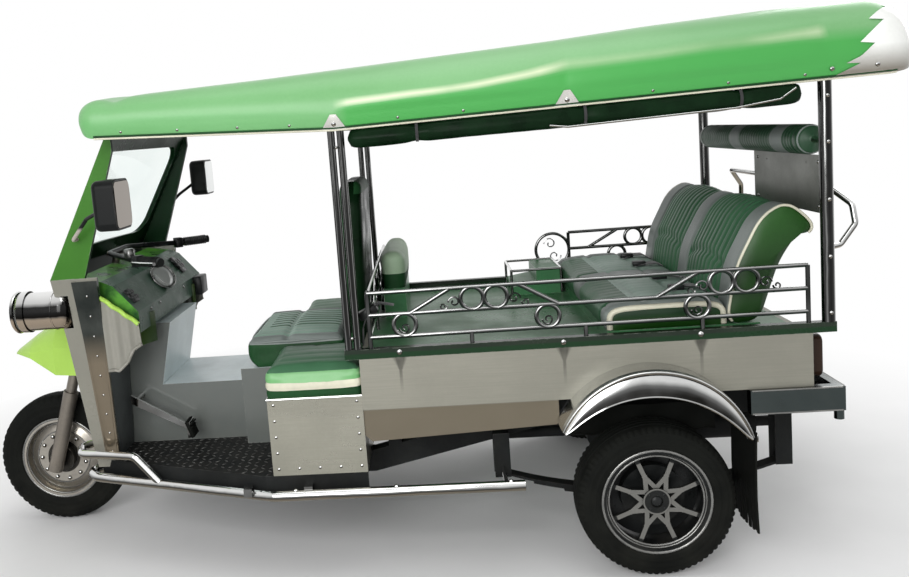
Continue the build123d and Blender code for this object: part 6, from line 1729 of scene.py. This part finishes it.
def facing(direction, up=(0, 0, 1)):
    """Axes with the first along a direction."""
    one = Vector(direction).normalized()
    two = Vector(up).cross(one).normalized()
    return Matrix((one, two, one.cross(two))).transposed()


def build_front():
    """Channels, wings, switches, gauge, shields, lamp rims, grips and mirrors."""
    channel = Shapes()
    for side in (1, -1):
        rows = []
        for step in range(25):
            z = 0.400 + (1.128 - 0.400) * step / 24
            half, rear, depth = cowl_side(z)
            for share, lift in CHANNEL:
                rows.append((rear + depth * share, side * (half + lift), z))
        channel.take(rows, grid_faces(25, 8))
        for step in range(9):
            z = 0.430 + 0.080 * step
            half, rear, depth = cowl_side(z)
            spot = (rear + depth * 0.27, side * (half + 0.003), z)
            channel.dome(spot, (0, side, 0), SIZES.rivet, SIZES.rivet * 0.7, band=1)
    channel.make("pillar_channels", ["channel", "chrome"], slot="stainless")

    wing = Shapes()
    for side in (1, -1):
        rows = []
        for i in range(25):
            s = i / 24
            x = 1.074 - 0.132 * s
            y = 0.505 - 0.024 * s + 0.0045 * math.cos(s * 6 * math.pi)
            top = along(s, ((0.0, 1.060), (1.0, 0.945)))
            low = along(s, ((0.0, 0.775), (0.3, 0.770), (0.55, 0.800), (0.75, 0.845), (1.0, 0.865)))
            for j in range(9):
                rows.append((x, side * (y - 0.012 * (1 - j / 8)), low + (top - low) * j / 8))
        wing.plate(rows, 9, (0, -side * 0.006, 0))
        wing.tube(rows[::9], 0.007, 8)
        wing.tube(rows[8::9], 0.009, 8, band=1)
    wing.make("leg_shield_wings", ["wing", "lime"], slot="cowl_grey")

    dash = Shapes()
    slope = facing((-104, 0, 90), (0, 1, 0))
    for y, width, x, z in ((0.402, 0.062, 0.989, 1.040), (-0.300, 0.090, 1.002, 1.055)):
        dash.block((x, y, z), (0.016, width, 0.056), slope)
        for key in range(6):
            across, rise = (key % 3 - 1) * width * 0.30, (key // 3 - 0.5) * 0.026
            spot = (x - 0.006 + rise * 0.654, y + across, z + 0.006 + rise * 0.756)
            dash.block(spot, (0.014, width * 0.22, 0.020), slope)
    dash.block((0.930, -0.385, 0.945), (0.050, 0.110, 0.085))
    for y in (0.19, 0.31, -0.17, -0.33):
        dash.dome((0.944, y, 0.972), (-1, 0, 0), 0.006, 0.004, band=2)
    for side in (1, -1):
        dash.block((0.965, side * 0.3588, 0.900), (0.014, 0.120, 0.120), facing((-1, side * 0.5, 0)), band=1)
    dash.make("dash_fittings", ["gloss_black", "olive", "chrome"], slot="bar_black")

    low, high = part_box("gauge")
    out = Vector((-104, 62, 84)).normalized()
    side = out.orthogonal().normalized()
    other = out.cross(side)
    dial = Shapes()
    top = (low + high) / 2 + out * 0.020
    bowl = []
    for step in range(9):
        share = step / 8
        reach = 0.058 * math.cos(0.42 * math.pi * share) ** 0.7
        bowl += ring(top - out * 0.055 * share, reach, 32, side, other)
    dial.take(bowl, grid_faces(9, 32, False, True), band=2)
    dial.tube(ring(top, 0.057, 32, side, other), 0.0055, 8, closed=True)
    dial.dome(top - out * 0.003, out, 0.054, 0.009, 32, band=1)
    dial.make("gauge_dial", ["rim_lip", "dial", "gloss_black"], slot="chrome")

    def shield_place(share, z):
        """Place behind the cowl's side, from the inner edge to the outer one."""
        half, rear, _ = cowl_side(z)
        return rear + 0.010, 0.210 + (half - 0.006 - 0.210) * share

    shield = Shapes()
    for side in (1, -1):
        rows = []
        for step in range(25):
            z = 0.394 + (0.888 - 0.394) * step / 24
            for column in range(13):
                x, y = shield_place(column / 12, z)
                press = smooth((0.5 - abs(column / 12 - 0.5)) * 8) * smooth((0.5 - abs(step / 24 - 0.5)) * 8)
                rows.append((x - 0.006 * press, side * y, z))
        shield.plate(rows, 13, (0.003, 0, 0))
        for share in (0.125, 0.5, 0.875):
            for z in (0.42, 0.86):
                x, y = shield_place(share, z)
                shield.dome((x, side * y, z), (-1, 0, 0), 0.006, 0.004, band=1)
    shield.make("leg_shield_backs", ["shield_grey", "stud"], slot="cowl_grey")

    lamps = Shapes()
    for side in (1, -1):
        rings = ((1.404, 0.073, 0.008, 0), (1.380, 0.0745, 0.004, 1), (1.255, 0.071, 0.004, 0))
        for x, radius, thick, band in rings:
            edge = ring((x, side * 0.475, 1.018), radius, 40, (0, 1, 0))
            lamps.tube(edge, thick, 8, closed=True, band=band)
    lamps.make("lamp_rims", ["lamp_chrome", "black"], slot="chrome")

    for side, name in ((1, "left"), (-1, "right")):
        grip = Shapes()
        one, two = Vector((0.994, side * 0.286, 1.161)), Vector((0.873, side * 0.372, 1.160))
        run = (two - one).normalized()
        ahead = Vector((0.58, side * 0.82, 0.0)).normalized()
        up = Vector((0, 0, 1))
        across = run.cross(up).normalized()
        for step in range(12):
            place = two - run * (0.006 + 0.009 * step)
            grip.tube(ring(place, 0.0185, 16, across, up), 0.0028, 5, closed=True)
        root = two - run * 0.135
        grip.block(root, (0.034, 0.042, 0.044), facing(run))
        bends = ((0.020, 0.0), (0.040, 0.020), (0.044, 0.080), (0.034, 0.140), (0.040, 0.156))
        lever = [root + ahead * out + run * reach for out, reach in bends]
        grip.tube(lever, [0.007, 0.006, 0.0055, 0.0055, 0.007], 8, band=1)
        if side > 0:
            bottle = [root - run * 0.050 + up * z for z in (0.012, 0.018, 0.044, 0.048)]
            grip.tube(bottle, [0.018, 0.021, 0.021, 0.017], 16, band=2)
        grip.make("grip_" + name, ["gloss_black", "chrome", "rim_lip"], body="steering", slot="bar_black")

    mirrors = Shapes()
    for x, y, z in ((0.898, 0.750, 1.419), (0.962, -0.750, 1.436)):
        corners = [squared(math.tau * step / 48) for step in range(48)]
        edge = [(x - 0.0385, y + 0.080 * out, z + 0.083 * up) for out, up in corners]
        mirrors.tube(edge, 0.0032, 6, closed=True)
    mirrors.make("mirror_rims", ["gloss_black"], slot="mirror_plastic")

    pads = Shapes()
    for side in (1, -1):
        axes = facing((-1, 0, 0.35))
        pads.block((0.834, side * 0.300, 0.472), (0.014, 0.070, 0.070), axes)
        for row in range(4):
            pads.block((0.826, side * 0.300, 0.449 + 0.015 * row), (0.006, 0.062, 0.006), axes)
    pads.make("pedal_rubbers", ["rubber"], slot="bar_black")


class RICKSHAW_OT_front(bpy.types.Operator):
    """Adds the pillar channels, leg-shield wings, dashboard fittings, lamp rims, levers and pedal pads"""

    bl_idname = "rickshaw.front"
    bl_label = "Front fittings"

    def execute(self, context):
        build_front()
        return {"FINISHED"}


def build_floor():
    """Studs of the checker plate."""
    studs = Shapes()
    spacing = 0.032
    for i in range(int((1.160 - 0.460) / spacing)):
        for j in range(15):
            x, y = 0.465 + spacing * i, 0.232 + spacing * j
            if y > along(x, ((0.470, 0.650), (1.180, 0.385))):
                continue
            turn = math.radians(45 if (i + j) % 2 else -45)
            run = Vector((math.cos(turn), math.sin(turn), 0)) * SIZES.stud
            across = Vector((-math.sin(turn), math.cos(turn), 0)) * 0.0045
            for side in (1, -1):
                place = Vector((x, side * y, 0.392))
                ridge = place + Vector((0, 0, 0.0025))
                points = [place + run, place + across, place - run, place - across]
                points += [ridge + run / 2, ridge - run / 2]
                studs.take(points, [(0, 1, 4), (1, 5, 4), (1, 2, 5), (2, 3, 5), (3, 4, 5), (3, 0, 4)])
    studs.make("floor_studs", ["stud"], slot="paint_black", sharp=20.0)


class RICKSHAW_OT_floor(bpy.types.Operator):
    """Adds the raised studs of the checker plate on the driver's floor"""

    bl_idname = "rickshaw.floor_plate"
    bl_label = "Checker plate"

    def execute(self, context):
        build_floor()
        return {"FINISHED"}


# Body

RIM_Y, RAIL_Y = 0.6655, 0.652


def build_trim():
    """Small fittings of the body."""
    screws = Shapes()
    for side in (1, -1):
        for x in RIM_SCREWS:
            screws.dome((x, side * RIM_Y, 0.822), (0, side, 0), 0.010, 0.005, 10)
        for z in (0.870, 1.060, 1.250, 1.440, 1.590):
            screws.dome((-1.492, side * 0.6727, z), (0, side, 0), 0.007, 0.005, 8)
        for z in (0.880, 1.550):
            screws.dome((0.118, side * RIM_Y, z), (0, side, 0), 0.006, 0.005, 8)
        for x in (-0.40, 0.0, 0.36):
            screws.dome((x, side * 0.704, 0.351), (0, 0, 1), 0.009, 0.006, 6)
    for y in (-0.56, -0.28, 0.28, 0.56):
        for z in (0.560, 0.594):
            screws.dome((-1.530, y, z), (-1, 0, 0), 0.008, 0.005, 8)
    for y in (0.04, 0.59):
        for z in (1.22, 1.37):
            screws.dome((-1.497, y, z), (-1, 0, 0), 0.006, 0.004, 8)
            screws.dome((-1.492, y, z), (1, 0, 0), 0.006, 0.004, 8)
    screws.make("body_screws", ["chrome"], slot="chrome")

    edges = Shapes()
    for side in (1, -1):
        def fender_point(angle, radius, y):
            return -0.878 + radius * math.cos(angle), side * y, 0.400 + radius * math.sin(angle)

        arc = [math.radians(25 + 139 * step / 48) for step in range(49)]
        for radius, y, thick in ((0.3285, 0.776, 0.0055), (0.3315, 0.668, 0.004)):
            edges.tube([fender_point(angle, radius, y) for angle in arc], thick, 8)
        shell = []
        for row, angle in enumerate(arc):
            depth = 0.006 + 0.074 * math.sin(math.pi * row / 48) ** 0.7
            for step in range(7):
                y = 0.772 + 0.016 * math.sin(math.pi / 2 * min(1.0, 1.6 * step / 6))
                shell.append(fender_point(angle, 0.3295 - depth * step / 6, y))
        edges.take(shell, grid_faces(len(arc), 7), band=1)
        edges.tube(shell[6::7], 0.004, 6)
    edges.make("fender_beads", ["chrome", "fender"], slot="chrome")

    bright = Shapes()
    for z in (0.617, 0.537):
        left = [(-1.226, 0.681, z), (-1.520, 0.681, z), (-1.529, 0.672, z)]
        bright.tube(left + [(x, -y, z) for x, y, z in reversed(left)], 0.0035, 6)
    bright.make("bumper_beads", ["rim_lip"], slot="chrome")

    scrolls = Shapes()

    def curl(x, z, size, turns, flip, rise, y):
        path = []
        for step in range(28):
            share = step / 27
            angle = turns * math.tau * share
            reach = size * (1 - 0.75 * share)
            path.append((x + flip * reach * math.cos(angle), y, z + rise * reach * math.sin(angle)))
        scrolls.tube(path, 0.0032, 6)

    for x, flip in ((-0.391, -1), (-0.308, 1), (-1.146, 1), (-1.228, -1)):
        curl(x + flip * 0.062, 0.985, 0.021, 1.15, flip, 1, RAIL_Y)
        curl(x + flip * 0.100, 0.972, 0.014, 1.1, -flip, -1, RAIL_Y)
    for x in (-0.070, -0.564, -1.065):
        curl(x, 0.904, 0.020, 1.2, 1, -1, RAIL_Y)
    for flip in (1, -1):
        curl(-0.760 + flip * 0.010, 0.955 + flip * 0.030, 0.030, 1.1, flip, flip, -RAIL_Y)
    scrolls.make("rail_scrolls", ["rail_chrome"], slot="chrome")

    random.seed(7)
    low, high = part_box("mud_flaps")
    for side, name in ((1, "left"), (-1, "right")):
        near, far = 0.537, high.y
        strips = 12
        flap = Shapes()
        width = (far - near) / strips
        for strip in range(strips):
            drop = low.z + 0.002 + random.uniform(0.0, 0.016)
            lean = random.uniform(-0.004, 0.004)
            rows = []
            for step in range(15):
                z = high.z - (high.z - drop) * step / 14
                share = smooth((0.300 - z) / 0.15)
                x = (low.x + high.x) / 2 + lean * share + 0.004 * math.sin((z - low.z) * 9)
                trim = (0.0012 + 0.0022 * share) * (share > 0)
                y0, y1 = near + strip * width + trim, near + (strip + 1) * width - trim
                for dx, y in ((-0.003, y0), (-0.003, y1), (0.003, y1), (0.003, y0)):
                    rows.append((x + dx, side * y, z))
            flap.strap(rows)
        clamp = ((low.x + high.x) / 2 - 0.005, side * (near + far) / 2, high.z - 0.018)
        flap.block(clamp, (0.004, far - near, 0.026), band=1)
        flap.make("mud_flap_" + name, ["flap", "chrome"], slot="flap_rubber",
                  replaces=["mud_flaps"] if side > 0 else [])

    # Dark rubber sheets inside the rear arches: painted shade that hides the floor seen past the tyres.
    shade_sheets = Shapes()
    for side in (1, -1):
        rows = []
        for step in range(33):
            x = -1.130 + 0.500 * step / 32
            hem = 0.462 + 0.004 * math.sin(step * 1.1)
            for share in range(5):
                z = hem + (0.560 - hem) * share / 4
                rows.append((x, side * (0.582 + 0.003 * math.sin(step * 0.7 + share)), z))
        shade_sheets.plate(rows, 5, (0, -side * 0.004, 0))
        shade_sheets.tube(rows[::5], 0.004, 6)
    shade_sheets.make("arch_shade_sheets", ["flap"], slot="flap_rubber")

    locker = Shapes()
    edges = ((-0.752, -0.635), (-0.530, -0.635), (-0.530, -0.335), (-0.752, -0.335))
    for (x0, y0), (x1, y1) in zip(edges, edges[1:] + edges[:1]):
        locker.tube([(x0, y0, 0.915), (x1, y1, 0.915)], 0.006, 8)
        locker.tube([(x0, y0, 0.806), (x0, y0, 0.915)], 0.006, 8)
    locker.make("locker_edges", ["chrome"], slot="chrome")

    buckle = Shapes()
    path = ((0.085, 0.60, 0.842), (0.082, 0.602, 0.900), (0.060, 0.596, 0.960), (0.020, 0.580, 0.985),
            (-0.030, 0.555, 0.970))
    rows = []
    for x, y, z in path:
        rows += [(x - 0.002, y - 0.022, z), (x - 0.002, y + 0.022, z)]
        rows += [(x + 0.002, y + 0.022, z + 0.002), (x + 0.002, y - 0.022, z + 0.002)]
    buckle.strap(rows)
    buckle.block((0.060, 0.596, 0.958), (0.030, 0.050, 0.070), facing((0.5, 0, 1)), band=1)
    buckle.make("side_belt", ["belt", "gloss_black"], slot="dark_vinyl")


class RICKSHAW_OT_trim(bpy.types.Operator):
    """Adds screws, scrolls, beads, fringed flaps, dark sheets of painted shade in the rear arches and other
    small fittings of the body
    """

    bl_idname = "rickshaw.trim"
    bl_label = "Body fittings"

    def execute(self, context):
        build_trim()
        return {"FINISHED"}


# Stage


def camera_axes(pitch, roll, yaw):
    """Right, down and forward directions of the camera, for a view across the vehicle from its left."""
    turn = Matrix.Rotation(math.radians(yaw), 3, "Z")
    right, down, forward = (turn @ Vector(v) for v in ((-1, 0, 0), (0, 0, -1), (0, -1, 0)))
    c, s = math.cos(math.radians(pitch)), math.sin(math.radians(pitch))
    forward, down = c * forward + s * down, c * down - s * forward
    c, s = math.cos(math.radians(roll)), math.sin(math.radians(roll))
    right, down = c * right + s * down, c * down - s * right
    return right, down, forward


def floor_finish():
    """Pale floor that fades to the white background away from the vehicle."""
    material = finish("studio_floor", (0.86, 0.86, 0.86), (0.84, 0.84, 0.84), rough=(0.8, 0.9))
    tree = material.node_tree
    shader, output = tree.nodes["Principled BSDF"], tree.nodes["Material Output"]
    away = add(tree, "ShaderNodeVectorMath", [(0, object_place(tree))], operation="LENGTH").outputs["Value"]
    path = add(tree, "ShaderNodeLightPath")
    seen = math_node(tree, "MAXIMUM", path.outputs["Is Camera Ray"], path.outputs["Is Glossy Ray"])
    factor = math_node(tree, "MULTIPLY", spread(tree, away, 1.6, 3.4), seen)
    white = add(tree, "ShaderNodeEmission")
    white.inputs["Color"].default_value = (1.0, 1.0, 1.0, 1.0)
    blend = add(tree, "ShaderNodeMixShader", [(0, factor), (1, shader.outputs[0]), (2, white.outputs[0])])
    tree.links.new(blend.outputs[0], output.inputs["Surface"])
    return material


class RickshawStage(bpy.types.PropertyGroup):
    """Camera and light of the studio."""

    eye: FloatVectorProperty(
        name="Camera place", description="Where the camera stands", default=(-0.193, 3.725, 1.592),
        subtype="TRANSLATION", unit="LENGTH",
    )
    focal: FloatProperty(name="Focal length", description="In pixels of the picture", default=894.0056)
    centre: FloatVectorProperty(
        name="Optical centre", description="In pixels of the picture", default=(351.15, 241.76), size=2
    )
    turn: FloatVectorProperty(
        name="Camera turn", description="Pitch, roll and yaw in degrees", default=(6.8595, 4.728, 5.346)
    )
    sky: FloatProperty(name="Sky light", description="Strength of the soft light all round", default=0.48)
    key: FloatProperty(name="Key light", description="Power of the main lamp", default=230.0)


class RICKSHAW_OT_stage(bpy.types.Operator):
    """Makes the floor, the studio light and the camera"""

    bl_idname = "rickshaw.stage"
    bl_label = "Stage"

    def execute(self, context):
        scene = context.scene
        settings = scene.rickshaw_stage
        scene.view_settings.view_transform = "Standard"
        right, down, forward = camera_axes(*settings.turn)
        camera = bpy.data.objects.new("camera", bpy.data.cameras.new("camera"))
        scene.collection.objects.link(camera)
        camera.data.sensor_width = SENSOR
        camera.data.lens = settings.focal * SENSOR / IMAGE_WIDTH
        camera.data.shift_x = (IMAGE_WIDTH / 2 - settings.centre[0]) / IMAGE_WIDTH
        camera.data.shift_y = (settings.centre[1] - IMAGE_HEIGHT / 2) / IMAGE_WIDTH
        axes = Matrix((right, -down, -forward)).transposed().to_4x4()
        camera.matrix_world = Matrix.Translation(settings.eye) @ axes
        camera.data.clip_end = 200.0
        scene.camera = camera

        floor = bpy.data.meshes.new("floor")
        half = 60.0
        corners = [(-half, -half, 0), (half, -half, 0), (half, half, 0), (-half, half, 0)]
        floor.from_pydata(corners, [], [(0, 1, 2, 3)])
        floor = bpy.data.objects.new("floor", floor)
        scene.collection.objects.link(floor)
        floor.data.materials.append(floor_finish())

        world = bpy.data.worlds.new("studio")
        world.use_nodes = True
        scene.world = world
        tree = world.node_tree
        light = tree.nodes["Background"]
        path = add(tree, "ShaderNodeLightPath")
        seen = math_node(tree, "MAXIMUM", path.outputs["Is Camera Ray"], path.outputs["Is Transmission Ray"])
        seen = math_node(tree, "MAXIMUM", seen, path.outputs["Is Glossy Ray"])
        strength = spread(tree, seen, 0.0, 1.0, settings.sky, 1.0)
        tree.links.new(strength, light.inputs["Strength"])
        light.inputs["Color"].default_value = (1.0, 1.0, 1.0, 1.0)

        for name, place, size, power in (
            ("key", (1.4, 5.4, 2.6), 3.4, settings.key),
            ("top", (-0.6, 0.6, 6.0), 4.0, settings.key * 0.45),
            ("back", (-4.5, -3.5, 3.6), 3.0, settings.key * 0.4),
        ):
            lamp = bpy.data.lights.new(name, "AREA")
            lamp.size = size
            lamp.energy = power
            holder = bpy.data.objects.new(name, lamp)
            holder.location = place
            aim = Vector((0.0, 0.0, 0.9)) - Vector(place)
            holder.rotation_euler = aim.to_track_quat("-Z", "Y").to_euler()
            scene.collection.objects.link(holder)
        return {"FINISHED"}


class RICKSHAW_PT_panel(bpy.types.Panel):
    """Lists the steps that dress the rickshaw"""

    bl_label = "Rickshaw"
    bl_idname = "RICKSHAW_PT_panel"
    bl_space_type = "VIEW_3D"
    bl_region_type = "UI"
    bl_category = "Rickshaw"

    def draw(self, context):
        for operator in OPERATORS:
            self.layout.operator(operator.bl_idname)


OPERATORS = (
    RICKSHAW_OT_finishes, RICKSHAW_OT_canopy, RICKSHAW_OT_curtains, RICKSHAW_OT_driver_seat, RICKSHAW_OT_bench,
    RICKSHAW_OT_tyres, RICKSHAW_OT_wheel_trim, RICKSHAW_OT_front, RICKSHAW_OT_floor, RICKSHAW_OT_trim,
    RICKSHAW_OT_stage,
)
SETTINGS = (RickshawSizes, RickshawColours, RickshawStage)


def register():
    """Registers the settings, the steps and the panel."""
    for group in SETTINGS:
        bpy.utils.register_class(group)
    bpy.types.Scene.rickshaw_sizes = PointerProperty(type=RickshawSizes)
    bpy.types.Scene.rickshaw_colours = PointerProperty(type=RickshawColours)
    bpy.types.Scene.rickshaw_stage = PointerProperty(type=RickshawStage)
    for item in (*OPERATORS, RICKSHAW_PT_panel):
        bpy.utils.register_class(item)


def unregister():
    """Takes all of them away again."""
    for item in (RICKSHAW_PT_panel, *reversed(OPERATORS)):
        bpy.utils.unregister_class(item)
    del bpy.types.Scene.rickshaw_stage
    del bpy.types.Scene.rickshaw_colours
    del bpy.types.Scene.rickshaw_sizes
    for group in reversed(SETTINGS):
        bpy.utils.unregister_class(group)


def main():
    """Dresses the rickshaw."""
    global SIZES, COLOURS
    register()
    SIZES = bpy.context.scene.rickshaw_sizes
    COLOURS = bpy.context.scene.rickshaw_colours
    for operator in OPERATORS:
        group, name = operator.bl_idname.split(".")
        getattr(getattr(bpy.ops, group), name)()


if __name__ == "__main__":
    main()
